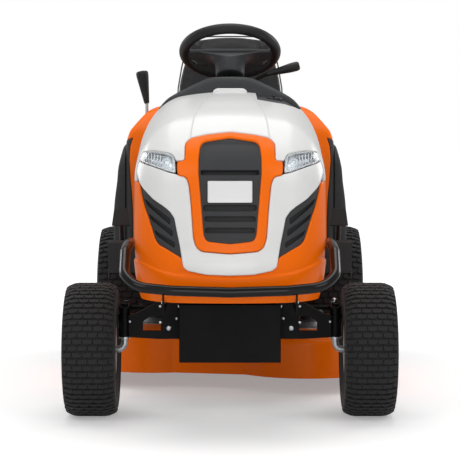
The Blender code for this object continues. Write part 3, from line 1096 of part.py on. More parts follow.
def make_body():
    """The orange rear body, its dark side covers, the footboards and the dash."""
    front, rear = behind_axle(BODY_FRONT), behind_axle(BODY_REAR)
    base = FOOT_TOP + GAP
    across = [(SEAT_WELL, SEAT_FLOOR), (SEAT_WELL + 0.004, 0.868), (0.232, 0.880), (0.252, 0.874),
              (0.279, 0.858), (0.307, 0.827), (0.334, 0.794), (BODY_HALF, 0.757), (BODY_HALF, base)]
    across = [(-x, z) for x, z in reversed(across)] + across
    side = [(front, base), (front, 0.700), (front + 0.030, 0.800), (front + 0.090, 0.868),
            (front + 0.150, 0.885), (front + 0.330, 0.872), (rear - 0.050, 0.800), (rear, 0.740)]
    arch = wheel_arch(rear)
    side += arch + [(arch[-1][0] - 0.012, base)]
    shell = profile_body(across, side)
    low_cut = [(x, z if z > 0.40 else 0.30) for x, z in inset(across, BODY_WALL)]
    inner_side = [(front + BODY_WALL, 0.30), (front + BODY_WALL, 0.699), (front + 0.033, 0.797),
                  (front + 0.092, 0.864), (front + 0.151, 0.881), (front + 0.329, 0.868),
                  (rear - 0.052, 0.797), (rear - BODY_WALL, 0.738), (rear - BODY_WALL, 0.30)]
    shell = cut(shell, profile_body(low_cut, inner_side))
    gate = box((-0.195, rear - 0.02, 0.28), (0.195, rear + 0.02, 0.610))
    tunnel = box((-0.098, front - 0.02, 0.30), (0.098, front + 0.02, 0.43))
    lever_slot = box((-0.292, behind_axle(1.010), 0.80), (-0.274, behind_axle(1.130), 0.92))
    lever_y = behind_axle(LEVER_D)
    pin = rod((LEVER_X - 0.012, lever_y, LEVER_PIVOT_Z), (-SEAT_WELL - 0.001, lever_y, LEVER_PIVOT_Z),
              0.006, 14)
    boss = rod((LEVER_X + 0.0065, lever_y, LEVER_PIVOT_Z), (-SEAT_WELL - 0.002, lever_y, LEVER_PIVOT_Z),
               0.016, 16)
    shell = join(cut(shell, gate, tunnel, lever_slot), pin, boss)
    piece("rear_body", shell, "orange_paint")

    flank = [(BODY_HALF + GAP, 0.757), (0.348, 0.757), (0.358, 0.729), (0.366, 0.697), (0.371, 0.674),
             (0.375, 0.627), (0.382, 0.575), (0.386, 0.530), (0.387, base), (BODY_HALF + GAP, base)]
    cover_side = [(front + 0.004, base), (front + 0.004, 0.700), (front + 0.034, 0.757),
                  (rear - 0.030, 0.757), (rear - 0.010, 0.700)]
    cover_side += wheel_arch(rear - 0.010) + [(arch[-1][0] - 0.012, base)]
    body = profile_body(flank, cover_side)
    hollow = [(0.3385, 0.7535), (0.346, 0.7535), (0.355, 0.728), (0.363, 0.696), (0.368, 0.673),
              (0.372, 0.627), (0.379, 0.575), (0.383, 0.530), (0.384, 0.30), (0.3385, 0.30)]
    hollow_side = [(front + 0.007, 0.30), (front + 0.007, 0.699), (front + 0.036, 0.754),
                   (rear - 0.032, 0.754), (rear - 0.013, 0.699), (rear - 0.013, 0.30)]
    cover = cut(body, profile_body(hollow, hollow_side))
    piece("side_cover_left", cover.copy(), "dark_plastic")
    piece("side_cover_right", flipped(cover), "dark_plastic")
    make_footboards()
    make_dash()


def make_footboards():
    """Two ribbed footboards with upturned front ends, lying on the frame."""
    low = RAIL_TOP + GAP
    front = behind_axle(FOOT_FRONT)
    floor = [(front + 0.030, low), (front + 0.030, FOOT_TOP), (behind_axle(FOOT_REAR), FOOT_TOP),
             (behind_axle(FOOT_REAR), low)]
    toe = [(front + 0.045, low + 0.001), (front + 0.022, low + 0.001), (front, 0.466),
           (front + 0.003, 0.473), (front + 0.007, 0.466), (front + 0.030, FOOT_TOP + 0.004),
           (front + 0.045, FOOT_TOP - 0.001)]
    board = prism([floor], "side", 0.100, FOOT_X - 0.002)
    toe_plate = prism([toe], "side", 0.287, FOOT_X - 0.003)
    rim = box((FOOT_X - 0.005, front + 0.040, low - 0.018), (FOOT_X, behind_axle(FOOT_REAR - 0.001),
                                                              FOOT_TOP - 0.0005))
    rib_rear = behind_axle(BODY_FRONT - 0.02)
    ribs = [box((0.155 + 0.035 * i, behind_axle(0.70), FOOT_TOP - 0.002),
                (0.161 + 0.035 * i, rib_rear, FOOT_TOP + 0.002)) for i in range(6)]
    pivot_y = behind_axle(PEDAL_PIVOT_D)
    bracket = [rod((PEDAL_X - 0.017, pivot_y, PEDAL_PIVOT_Z), (PEDAL_X + 0.017, pivot_y, PEDAL_PIVOT_Z),
                   0.005, 12)]
    for low_x in (PEDAL_X - 0.018, PEDAL_X + 0.015):
        ear = [(pivot_y - 0.013, FOOT_TOP - 0.001), (pivot_y + 0.013, FOOT_TOP - 0.001)]
        ear += arc((pivot_y, PEDAL_PIVOT_Z), 0.011, 0, 180, 5)
        bracket.append(prism([ear], "side", low_x, low_x + 0.003))
    board = join(board, toe_plate, rim, *ribs, *bracket)
    piece("footboard_left", board.copy(), "dark_plastic")
    piece("footboard_right", flipped(board), "dark_plastic")


def make_dash():
    """The dash console: a cowl behind the hood and a tower round the steering column."""
    front = behind_axle(HOOD_REAR + 0.004)
    base = FOOT_TOP + GAP
    cowl = [(0.0, 0.9657), (0.045, 0.9657), (0.086, 0.955), (0.122, 0.9375), (0.160, 0.9187),
            (0.194, 0.8986), (0.219, 0.870), (0.244, 0.820), (0.256, 0.750), (0.256, 0.470),
            (0.236, base + 0.05), (0.150, base)]
    cowl_full = mirrored(cowl + [(0.0, base)])
    side = [(front, base), (front, 0.905), (front + 0.020, 0.970), (front + 0.085, 0.970),
            (front + 0.110, 0.900), (front + 0.060, 0.640), (front + 0.060, base)]
    tower = mirrored([(0.0, 0.962), (0.060, 0.958), (0.092, 0.930), (0.104, 0.860), (0.100, base),
                      (0.0, base)])
    tower_side = [(front + 0.02, base), (front + 0.02, 0.965), (front + 0.140, 0.962),
                  (front + 0.205, 0.915), (front + 0.190, 0.820), (front + 0.110, 0.640),
                  (front + 0.085, base)]
    wall = 0.0035
    outer = join(profile_body(cowl_full, side), profile_body(tower, tower_side))
    open_low = [(x, z if z > base + 0.08 else 0.30) for x, z in inset(cowl_full, wall)]
    open_side = [(y, z if z > base + 0.03 else 0.30) for y, z in inset(side, wall)]
    tower_low = [(x, z if z > base + 0.03 else 0.30) for x, z in inset(tower, wall)]
    tower_open = [(y, z if z > base + 0.03 else 0.30) for y, z in inset(tower_side, wall)]
    inner = join(profile_body(open_low, open_side), profile_body(tower_low, tower_open))
    axis = Vector((0.0, math.sin(WHEEL_TILT), math.cos(WHEEL_TILT)))
    hub = Vector((0.0, behind_axle(WHEEL_HUB_D), WHEEL_HUB_Z))
    passage = rod(hub - axis * 0.75, hub, 0.0215, 20)
    front_window = box((-0.060, front - 0.02, 0.30), (0.060, front + 0.02, 0.86))
    facing, key_seat, knob_seat = panel_seats()
    key_hole = rod(key_seat - facing * 0.02, key_seat + facing * 0.02, 0.0085, 16)
    knob_hole = rod(knob_seat - facing * 0.02, knob_seat + facing * 0.02, 0.0075, 16)
    pivot_x, pivot_d, pivot_z = BRAKE_PIVOT
    slot = box((pivot_x - 0.018, behind_axle(pivot_d - 0.010), 0.905),
               (0.120, behind_axle(pivot_d + 0.010), 1.0))
    apron = common(box((0.086, behind_axle(0.205), 0.846), (0.30, front + 0.002, 0.851)),
                   hood_body(HOOD_WALL + 0.002))
    filler = rod((CAP_X, behind_axle(CAP_D), 0.83), (CAP_X, behind_axle(CAP_D), 0.87), 0.0235, 16)
    shell = cut(outer, inner, passage, front_window, key_hole, knob_hole, slot)
    cheeks = [rod((pivot_x, behind_axle(pivot_d - 0.014), pivot_z),
                  (pivot_x, behind_axle(pivot_d + 0.014), pivot_z), 0.004, 12)]
    for low, high in ((pivot_d - 0.015, pivot_d - 0.011), (pivot_d + 0.011, pivot_d + 0.015)):
        cheeks.append(box((pivot_x - 0.009, behind_axle(low), pivot_z - 0.009),
                          (pivot_x + 0.009, behind_axle(high), pivot_z + 0.024)))
    shell = join(shell, cut(apron, filler), *cheeks)
    piece("dash_console", shell, "dark_plastic")


def panel_seats():
    """Which way the dash's rear face looks, and where the key and the blade knob sit in it."""
    facing = Vector((0.0, 0.942, 0.336)).normalized()
    face = behind_axle(HOOD_REAR + 0.004) + 0.1082
    return facing, Vector((-0.130, face, 0.905)), Vector((0.132, face, 0.905))


def cushion(centre, size, lean, dome):
    """A padded block as a coarse cage: domed top, drawn-in sides, two sewn channels."""
    work = bmesh.new()
    bmesh.ops.create_cube(work, size=1.0)
    for axis, cuts in ((0, 5), (1, 4), (2, 1)):
        edges = [e for e in work.edges
                 if abs((e.verts[0].co - e.verts[1].co).normalized()[axis]) > 0.9]
        bmesh.ops.subdivide_edges(work, edges=edges, cuts=cuts, use_grid_fill=True)
    for vert in work.verts:
        x, y, z = vert.co * 2
        waist = 1.0 - 0.035 * (1.0 - z * z)
        corner = 1.0 - 0.10 * (x * x) * (y * y)
        rise = dome * (1.0 - x * x) * (1.0 - 0.7 * y * y) if z > 0.5 else 0.0
        channel = 0.22 * dome if z > 0.5 and 0.25 < abs(x) < 0.45 and abs(y) < 0.9 else 0.0
        bolster = 0.6 * dome if z > 0.5 and 0.5 < abs(x) < 0.9 else 0.0
        vert.co = (x * size[0] / 2 * waist * corner, y * size[1] / 2 * waist * corner,
                   z * size[2] / 2 + rise - channel + bolster)
    mesh = bpy.data.meshes.new("cushion")
    work.to_mesh(mesh)
    work.free()
    obj = bpy.data.objects.new("cushion", mesh)
    CUTTERS.objects.link(obj)
    smooth = obj.modifiers.new("soft", "SUBSURF")
    smooth.levels = 1
    smooth.render_levels = 1
    obj.matrix_world = Matrix.Translation(centre) @ Matrix.Rotation(lean, 4, "X")
    return evaluated(obj)


def make_seat():
    """The seat on its hinged pan: a pan with side wings, a squab and a backrest."""
    front = behind_axle(SEAT_FRONT)
    pan_low = SEAT_FLOOR + GAP
    hinge = (0.0, front + 0.012, SEAT_FLOOR + 0.014)
    back_top = front + 0.272 + 0.395 * math.tan(SEAT_LEAN)
    outline = [(front + 0.004, 0.668), (front + 0.004, 0.674), (front + 0.250, 0.674),
               (front + 0.272, 0.690), (back_top, 1.085), (back_top + 0.008, 1.085),
               (front + 0.280, 0.686), (front + 0.262, 0.668)]
    pan = prism([outline], "side", -0.150, 0.150)
    lugs = []
    for low, high in both_sides(0.060, 0.068):
        lug = [(front + 0.002, 0.671), (front + 0.002, pan_low + 0.004), (front + 0.022, pan_low + 0.004),
               (front + 0.030, 0.671)]
        lugs.append(prism([lug], "side", low, high))
    pads = [box((x - 0.012, front + 0.215, pan_low), (x + 0.012, front + 0.239, 0.668))
            for x in (-0.11, 0.11)]
    bore = rod((-0.2, hinge[1], hinge[2]), (0.2, hinge[1], hinge[2]), SEAT_PIN_RADIUS + RUNNING_GAP, 14)
    piece("seat_pan", cut(join(pan, *lugs, *pads), bore), "black_plastic", hinge)
    block = [box((-0.058, front, pan_low), (0.058, front + 0.024, pan_low + 0.004))]
    cheek = arc(hinge[1:], 0.0084, 0, 180, 6)
    cheek += [(hinge[1] - 0.0084, pan_low + 0.002), (hinge[1] + 0.0084, pan_low + 0.002)]
    for low, high in both_sides(0.048, 0.056):
        block.append(prism([cheek], "side", low, high))
    block.append(rod((-0.074, hinge[1], hinge[2]), (0.074, hinge[1], hinge[2]), SEAT_PIN_RADIUS, 14))
    piece("seat_hinge", join(block[0], *block[1:]), "black_steel")
    squab = cushion((0, front + 0.122, 0.7074), (0.420, 0.258, 0.066), 0.0, 0.012)
    piece("seat_cushion", squab, "vinyl", hinge, 60)
    rest_z, thick = 0.9380, 0.062
    panel_y = front + 0.272 + (rest_z - 0.690) * math.tan(SEAT_LEAN)
    rest_y = panel_y - (thick / 2 + 0.0004) / math.cos(SEAT_LEAN)
    rest = cushion((0, rest_y, rest_z), (0.372, 0.378, thick), math.pi / 2 - SEAT_LEAN, 0.014)
    piece("seat_backrest", rest, "vinyl", hinge, 60)


def make_controls():
    """The pedals, levers, key and knob that the driver works."""
    lever_y = behind_axle(LEVER_D)
    pivot = (LEVER_X, lever_y, LEVER_PIVOT_Z)
    lever = rod(pivot, (LEVER_X, lever_y, 0.893), 0.0055, 12)
    knob = rod((LEVER_X, lever_y, 0.888), (-0.298, lever_y, 0.990), 0.012, 14, 0.0155)
    crown = ball((-0.2983, lever_y, 0.9855), 0.0160, 10)
    eye = rod((LEVER_X - 0.006, lever_y, LEVER_PIVOT_Z), (LEVER_X + 0.006, lever_y, LEVER_PIVOT_Z),
              0.014, 14)
    bore = rod((LEVER_X - 0.02, lever_y, LEVER_PIVOT_Z), (LEVER_X + 0.02, lever_y, LEVER_PIVOT_Z),
               0.0065, 14)
    piece("height_lever", cut(join(lever, knob, crown, eye), bore), "black_plastic", pivot)

    for side, name in ((-1, "drive_pedal"), (1, "brake_pedal")):
        pedal(side, name)

    start = (BRAKE_PIVOT[0], behind_axle(BRAKE_PIVOT[1]), BRAKE_PIVOT[2])
    path = [start, (0.084, start[1], 0.962), (0.126, start[1], 0.981)]
    shaft = tube(rounded_path(path, 0.02, 3), 0.006, 2)
    grip = rod((0.122, start[1], 0.979), (0.2185, start[1], 1.004), 0.0085, 14, 0.0145)
    foot = rod((start[0], start[1] - 0.0095, start[2]), (start[0], start[1] + 0.0095, start[2]), 0.0095)
    bore = rod((start[0], start[1] - 0.02, start[2]), (start[0], start[1] + 0.02, start[2]), 0.0045, 12)
    piece("parking_brake_lever", cut(join(shaft, grip, foot), bore), "black_plastic", start)

    facing, key_seat, knob_seat = panel_seats()
    key = rod(key_seat - facing * 0.016, key_seat + facing * 0.007, 0.008, 14)
    bow = rod(key_seat + facing * 0.0165 - Vector((0.0025, 0, 0)),
              key_seat + facing * 0.0165 + Vector((0.0025, 0, 0)), 0.0115, 12)
    piece("ignition_key", join(key, bow), "black_plastic", key_seat)
    stem = rod(knob_seat - facing * 0.018, knob_seat + facing * 0.012, 0.007, 14)
    cap = rod(knob_seat + facing * 0.010, knob_seat + facing * 0.024, 0.012, 14)
    piece("blade_knob", join(stem, cap), "orange_paint", knob_seat)


def pedal(side, name):
    """A foot pedal: a ribbed pad on a cranked arm that turns on the frame."""
    pivot = (side * PEDAL_X, behind_axle(PEDAL_PIVOT_D), PEDAL_PIVOT_Z)
    pad_d = 0.352
    arm = tube(rounded_path([pivot, (pivot[0], behind_axle(0.425), 0.440),
                             (pivot[0], behind_axle(pad_d + 0.001), 0.545)], 0.05, 3), 0.007, 2)
    face = [(-0.027, -0.026), (-0.021, 0.026), (0.021, 0.026), (0.027, -0.026)]
    pad = prism([face], "plan", -0.005, 0.005)
    ribs = [box((-0.020, y, -0.008), (0.020, y + 0.004, -0.003)) for y in (-0.020, -0.007, 0.006, 0.017)]
    pad = join(pad, *ribs)
    pad.transform(Matrix.Translation((side * 0.3285, behind_axle(pad_d), 0.542))
                  @ Matrix.Rotation(math.radians(70), 4, "X"))
    hub = rod((pivot[0] - 0.014, pivot[1], pivot[2]), (pivot[0] + 0.014, pivot[1], pivot[2]), 0.012)
    bore = rod((pivot[0] - 0.03, pivot[1], pivot[2]), (pivot[0] + 0.03, pivot[1], pivot[2]), 0.0055, 14)
    piece(name, cut(join(arm, pad, hub), bore), "black_plastic", pivot)


def place_all():
    """Builds every sub-assembly."""
    make_hood()
    make_frame()
    make_bumper()
    make_wheels()
    make_front_axle()
    make_steering()
    make_engine()
    make_transmission()
    make_deck()
    make_body()
    make_seat()
    make_controls()


place_all()
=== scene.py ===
"""Studio picture of a lawn tractor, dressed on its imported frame.

The tractor faces -Y and +X is the driver's left. Lengths along it are given as
distances behind the front axle, and behind() turns them into world Y.
"""
import json
import logging
import math
from dataclasses import dataclass
from enum import Enum
from typing import Callable, Iterable, Optional, Sequence

import bmesh
import bpy
import numpy as np
from mathutils import Matrix, Vector

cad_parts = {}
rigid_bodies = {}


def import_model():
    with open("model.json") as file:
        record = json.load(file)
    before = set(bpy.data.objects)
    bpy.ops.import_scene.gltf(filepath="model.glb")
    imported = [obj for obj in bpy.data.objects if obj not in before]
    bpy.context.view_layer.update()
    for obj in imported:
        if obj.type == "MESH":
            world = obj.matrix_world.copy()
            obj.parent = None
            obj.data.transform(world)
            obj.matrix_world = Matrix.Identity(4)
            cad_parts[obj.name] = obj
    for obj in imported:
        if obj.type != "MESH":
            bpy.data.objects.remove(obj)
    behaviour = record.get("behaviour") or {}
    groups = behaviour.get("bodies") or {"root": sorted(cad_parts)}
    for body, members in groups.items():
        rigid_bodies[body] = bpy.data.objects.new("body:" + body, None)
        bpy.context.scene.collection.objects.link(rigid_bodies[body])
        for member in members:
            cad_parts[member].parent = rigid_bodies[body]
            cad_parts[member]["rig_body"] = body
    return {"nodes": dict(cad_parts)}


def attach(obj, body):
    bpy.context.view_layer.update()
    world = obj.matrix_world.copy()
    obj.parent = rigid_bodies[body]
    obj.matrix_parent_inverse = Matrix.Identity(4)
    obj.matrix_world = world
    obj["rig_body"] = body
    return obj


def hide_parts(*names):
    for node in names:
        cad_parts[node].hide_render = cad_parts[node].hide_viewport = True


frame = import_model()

LOG = logging.getLogger("lawn_tractor")
Point = tuple[float, float, float]
Flat = tuple[float, float]
Field = Callable[[np.ndarray], np.ndarray]

AXLE_Y = -0.54725
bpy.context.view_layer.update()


def behind(distance: float) -> float:
    """World Y of a distance behind the front axle."""
    return AXLE_Y + distance


STEERING_HUB = (0.0, behind(0.620), 1.043)
COLUMN_TILT_DEG = 28.0
BRAKE_PIVOT = (0.071, behind(0.610), 0.923)
FILLER_CENTRE = (0.132, behind(0.385))
UP = (0, 0, 1)
FORWARD = (0, -1, 0)
SIDES = ((1, "left"), (-1, "right"))


def linear_colour(code: int) -> tuple[float, float, float, float]:
    """Linear colour of an sRGB hex code.

    Args:
        code: colour as 0xRRGGBB.

    Returns:
        Red, green, blue and alpha for a shader socket.
    """
    channels = [((code >> shift) & 255) / 255 for shift in (16, 8, 0)]
    linear = [c / 12.92 if c <= 0.04045 else ((c + 0.055) / 1.055) ** 2.4 for c in channels]
    return (linear[0], linear[1], linear[2], 1.0)


def new_material(name: str) -> bpy.types.Material:
    """An empty material with a node tree."""
    material = bpy.data.materials.new(name)
    material.use_nodes = True
    return material


def add_node(tree: bpy.types.NodeTree, kind: str, settings: dict, links: dict) -> bpy.types.Node:
    """Adds a node with its settings and links.

    Args:
        tree: node tree that gets the node.
        kind: node type name.
        settings: attribute names or input names with their values.
        links: input names with the sockets that feed them.

    Returns:
        The new node.
    """
    node = tree.nodes.new(kind)
    for name, value in settings.items():
        if name in node.inputs:
            node.inputs[name].default_value = value
        else:
            setattr(node, name, value)
    for name, socket in links.items():
        tree.links.new(socket, node.inputs[name])
    return node


class Grain(Enum):
    """Kinds of fine relief that a finish can carry."""

    NONE = "none"
    ORANGE_PEEL = "orange_peel"
    MOULDED = "moulded"
    CAST = "cast"
    LEATHER = "leather"
    BRUSHED = "brushed"
    RUBBER = "rubber"


@dataclass(frozen=True)
class Finish:
    """One surface finish, built as a procedural material.

    Sizes in millimetres are the spacing of the relief on the real surface.
    """

    name: str
    colour: int
    roughness: float
    metallic: float = 0.0
    coat: float = 0.0
    coat_roughness: float = 0.06
    grain: Grain = Grain.MOULDED
    grain_mm: float = 1.2
    depth_mm: float = 0.05
    shade: int = 0
    wear: float = 0.25
    roughness_swing: float = 0.08
    sheen: float = 0.0
    ior: float = 1.5
    slot: str = ""

    def material(self) -> bpy.types.Material:
        """The material of this finish, made on first use."""
        return bpy.data.materials.get(self.name) or self.build()

    def build(self) -> bpy.types.Material:
        """Builds the node tree: colour drift, uneven gloss and relief.

        Returns:
            The new material.
        """
        material = new_material(self.name)
        tree = material.node_tree
        shader = tree.nodes["Principled BSDF"]
        settings = {"Metallic": self.metallic, "Coat Weight": self.coat,
                    "Coat Roughness": self.coat_roughness, "Sheen Weight": self.sheen}
        if self.metallic < 0.5:
            settings["IOR"] = self.ior
        for name, value in settings.items():
            shader.inputs[name].default_value = value
        place = add_node(tree, "ShaderNodeTexCoord", {}, {})
        drift = add_node(tree, "ShaderNodeTexNoise",
                         {"Scale": 7.0, "Detail": 4.0, "Roughness": 0.6},
                         {"Vector": place.outputs["Object"]})
        shade = self.shade if self.shade else self.darker(0.88)
        ramp = add_node(tree, "ShaderNodeMapRange", {"From Min": 0.35, "From Max": 0.75,
                                                     "To Min": 0.0, "To Max": self.wear},
                        {"Value": drift.outputs["Fac"]})
        blend = add_node(tree, "ShaderNodeMix", {"data_type": "RGBA"}, {})
        tree.links.new(ramp.outputs["Result"], blend.inputs[0])
        blend.inputs[6].default_value = linear_colour(self.colour)
        blend.inputs[7].default_value = linear_colour(shade)
        tree.links.new(blend.outputs[2], shader.inputs["Base Color"])
        gloss = add_node(tree, "ShaderNodeMapRange",
                         {"From Min": 0.3, "From Max": 0.7,
                          "To Min": max(self.roughness - self.roughness_swing, 0.02),
                          "To Max": min(self.roughness + self.roughness_swing, 1.0)},
                         {"Value": drift.outputs["Fac"]})
        tree.links.new(gloss.outputs["Result"], shader.inputs["Roughness"])
        if self.grain is not Grain.NONE:
            height = self.relief(tree, place.outputs["Object"])
            bump = add_node(tree, "ShaderNodeBump",
                            {"Strength": 1.0, "Distance": self.depth_mm / 1000}, {"Height": height})
            tree.links.new(bump.outputs["Normal"], shader.inputs["Normal"])
        return material

    def darker(self, share: float) -> int:
        """The colour with each channel taken down to a share of itself."""
        parts = [int(((self.colour >> shift) & 255) * share) for shift in (16, 8, 0)]
        return (parts[0] << 16) + (parts[1] << 8) + parts[2]

    def relief(self, tree: bpy.types.NodeTree, where: bpy.types.NodeSocket) -> bpy.types.NodeSocket:
        """Height pattern of the grain.

        Args:
            tree: node tree of the material.
            where: socket with Object coordinates.

        Returns:
            Socket with the height between 0 and 1.
        """
        scale = 1000.0 / self.grain_mm
        if self.grain is Grain.LEATHER:
            cells = add_node(tree, "ShaderNodeTexVoronoi",
                             {"feature": "DISTANCE_TO_EDGE", "Scale": scale}, {"Vector": where})
            ridge = add_node(tree, "ShaderNodeMapRange", {"From Max": 0.12},
                             {"Value": cells.outputs["Distance"]})
            return ridge.outputs["Result"]
        if self.grain is Grain.CAST:
            grit = add_node(tree, "ShaderNodeTexVoronoi", {"Scale": scale}, {"Vector": where})
            return grit.outputs["Distance"]
        if self.grain is Grain.BRUSHED:
            stretch = add_node(tree, "ShaderNodeMapping", {"Scale": (0.04, 1.0, 1.0)},
                               {"Vector": where})
            lines = add_node(tree, "ShaderNodeTexNoise", {"Scale": scale, "Detail": 2.0},
                             {"Vector": stretch.outputs["Vector"]})
            return lines.outputs["Fac"]
        detail = 1.0 if self.grain is Grain.ORANGE_PEEL else 6.0
        noise = add_node(tree, "ShaderNodeTexNoise",
                         {"Scale": scale, "Detail": detail, "Roughness": 0.65}, {"Vector": where})
        return noise.outputs["Fac"]


# Two-pack enamel sprayed over smooth panels: clean white under a clear gloss, faint orange peel.
WHITE_ENAMEL = Finish("white_enamel_sprayed", 0xE7E7E6, 0.30, coat=0.18, ior=1.42,
                      grain=Grain.ORANGE_PEEL, grain_mm=5.0, depth_mm=0.012, wear=0.12,
                      roughness_swing=0.03, slot="white_paint")
# The same enamel in orange: full colour, with little white in its reflections.
ORANGE_ENAMEL = Finish("orange_enamel_sprayed", 0xFC7000, 0.30, coat=0.05, ior=1.24,
                       grain=Grain.ORANGE_PEEL, grain_mm=5.0, depth_mm=0.012, shade=0xF36600,
                       wear=0.25, roughness_swing=0.03, slot="orange_paint")
# Powder coat on pressed steel: the orange a little duller, with a coarser peel.
ORANGE_COAT = Finish("orange_powder_coat_pressed_steel", 0xFB7000, 0.38, coat=0.05, ior=1.24,
                     grain=Grain.ORANGE_PEEL, grain_mm=3.0, depth_mm=0.03, shade=0xEC6600, wear=0.4,
                     slot="orange_paint")
# Polypropylene moulded with a fine spark-eroded grain: dull charcoal with a soft highlight.
CHARCOAL_PP = Finish("charcoal_polypropylene_moulded", 0x343537, 0.56, ior=1.42, grain_mm=1.6,
                     shade=0x2D2E30, wear=0.5, slot="dark_plastic")
# The same plastic coloured black: darker, with the same soft highlight.
BLACK_PP = Finish("black_polypropylene_moulded", 0x1B1B1C, 0.52, ior=1.4, grain_mm=1.6,
                  shade=0x161617, wear=0.5, slot="black_plastic")
# Polyurethane foam skin round a steel core: satin black grip.
GRIP_PU = Finish("black_polyurethane_grip_moulded", 0x1A1A1A, 0.50, ior=1.4, grain=Grain.LEATHER,
                 grain_mm=2.4, wear=0.4, slot="black_plastic")
# Powder coat on mild steel: even black with a low sheen.
BLACK_COAT = Finish("black_powder_coat_steel", 0x070708, 0.48, ior=1.24, grain=Grain.ORANGE_PEEL,
                    grain_mm=2.5, depth_mm=0.03, shade=0x080808, wear=0.5, slot="black_steel")
# Stoved gloss enamel on bent tube: near black with long clear highlights.
TUBE_ENAMEL = Finish("black_stoved_gloss_enamel", 0x080808, 0.22, coat=0.10, ior=1.34,
                     grain=Grain.ORANGE_PEEL, grain_mm=4.0, depth_mm=0.015, shade=0x111111,
                     wear=0.4, roughness_swing=0.04, slot="black_steel")
# Paint rubbed thin on blade steel: dark, with some metal shining through.
BLADE_STEEL = Finish("black_painted_blade_steel", 0x222224, 0.5, metallic=0.4, grain=Grain.CAST,
                     grain_mm=3.0, wear=0.6, slot="black_steel")
# Die-cast alloy, shot-blasted: pale grey with a fine grit.
CAST_ALLOY = Finish("blasted_die_cast_alloy", 0xA6A8AA, 0.48, metallic=0.9, grain=Grain.CAST,
                    grain_mm=1.8, depth_mm=0.12, shade=0x85878A, wear=0.6, slot="cast_aluminium")
# Zinc plate on turned and pressed steel: cool silver with drifting gloss.
ZINC_PLATE = Finish("zinc_plated_steel", 0xC9CBCE, 0.30, metallic=1.0, grain=Grain.BRUSHED,
                    grain_mm=1.0, depth_mm=0.02, shade=0xAEB1B5, wear=0.6, slot="zinc_steel")
# Tyre compound cured in a steel mould: dark grey, dusty in the tread.
TYRE_RUBBER = Finish("tyre_rubber_moulded", 0x222223, 0.76, ior=1.36, grain=Grain.RUBBER,
                     grain_mm=2.0, depth_mm=0.06, shade=0x2A2929, wear=0.7, roughness_swing=0.1,
                     sheen=0.1, slot="rubber")
# Wrapped belt rubber: flat black cloth-like face.
BELT_RUBBER = Finish("belt_rubber_wrapped", 0x1C1C1C, 0.8, grain=Grain.RUBBER, slot="rubber")
# Wheel enamel, light grey and glossy.
WHEEL_ENAMEL = Finish("wheel_enamel_light_grey", 0xDCDCDA, 0.3, coat=0.3, grain=Grain.ORANGE_PEEL,
                      grain_mm=3.0, depth_mm=0.02, wear=0.3, slot="rim_paint")
# Vinyl cover with an embossed leather grain over foam.
SEAT_VINYL = Finish("black_seat_vinyl_embossed", 0x1C1C1D, 0.50, ior=1.36, grain=Grain.LEATHER,
                    grain_mm=2.6, depth_mm=0.12, shade=0x262627, wear=0.5, sheen=0.05, slot="vinyl")
# Folded vinyl cord in the seam: a grey line that draws the seat's edge.
PIPING_VINYL = Finish("grey_piping_vinyl", 0x4A4A4B, 0.5, grain=Grain.LEATHER, grain_mm=2.0,
                      depth_mm=0.06, slot="vinyl")
# Blow-moulded polyethylene, milky.
TANK_PE = Finish("natural_polyethylene_blown", 0xE6E2D4, 0.42, grain_mm=3.0, depth_mm=0.04,
                 wear=0.3, slot="tank_plastic")
# Rolled alloy sheet with a satin face: the bare pale plate on the grille.
PLATE_ALLOY = Finish("satin_badge_plate_alloy", 0xE4E4E4, 0.38, metallic=0.15, grain=Grain.BRUSHED,
                     grain_mm=0.8, depth_mm=0.01, wear=0.15)
# Aluminium vapour on plastic: a mirror that fills the lamp with light.
LAMP_SILVER = Finish("vacuum_metallised_reflector", 0xE2E5E8, 0.16, metallic=1.0, grain=Grain.NONE,
                     wear=0.1)
# Pearl-white plastic frame of the lamp: glossy and smooth.
LAMP_HOUSING = Finish("pearl_lamp_bezel_moulded", 0xE9E9EA, 0.34, coat=0.2, grain=Grain.NONE,
                      wear=0.1)


@dataclass(frozen=True)
class ClearLens:
    """Injection-moulded polycarbonate: water-clear with a polished outer face."""

    name: str = "clear_polycarbonate_polished"
    roughness: float = 0.04

    def material(self) -> bpy.types.Material:
        """The lens material, made on first use."""
        return bpy.data.materials.get(self.name) or self.build()

    def build(self) -> bpy.types.Material:
        """Builds the node tree: clear plastic with a faint uneven haze.

        Returns:
            The new material.
        """
        material = new_material(self.name)
        tree = material.node_tree
        shader = tree.nodes["Principled BSDF"]
        shader.inputs["Base Color"].default_value = linear_colour(0xF4F7F9)
        shader.inputs["IOR"].default_value = 1.45
        shader.inputs["Transmission Weight"].default_value = 0.92
        place = add_node(tree, "ShaderNodeTexCoord", {}, {})
        haze = add_node(tree, "ShaderNodeTexNoise", {"Scale": 40.0, "Detail": 2.0},
                        {"Vector": place.outputs["Object"]})
        gloss = add_node(tree, "ShaderNodeMapRange",
                         {"To Min": self.roughness, "To Max": self.roughness + 0.05},
                         {"Value": haze.outputs["Fac"]})
        tree.links.new(gloss.outputs["Result"], shader.inputs["Roughness"])
        return material


class Plane(Enum):
    """The flat view that an outline is drawn in."""

    FRONT = (0, 2, 1)
    SIDE = (1, 2, 0)
    PLAN = (0, 1, 2)


def curve(first: Vector, corner: Vector, last: Vector, steps: int) -> list[Vector]:
    """Points of a curve between two places, drawn towards a corner."""
    shares = [i / steps for i in range(steps + 1)]
    return [first * (1 - t) ** 2 + corner * 2 * t * (1 - t) + last * t ** 2 for t in shares]


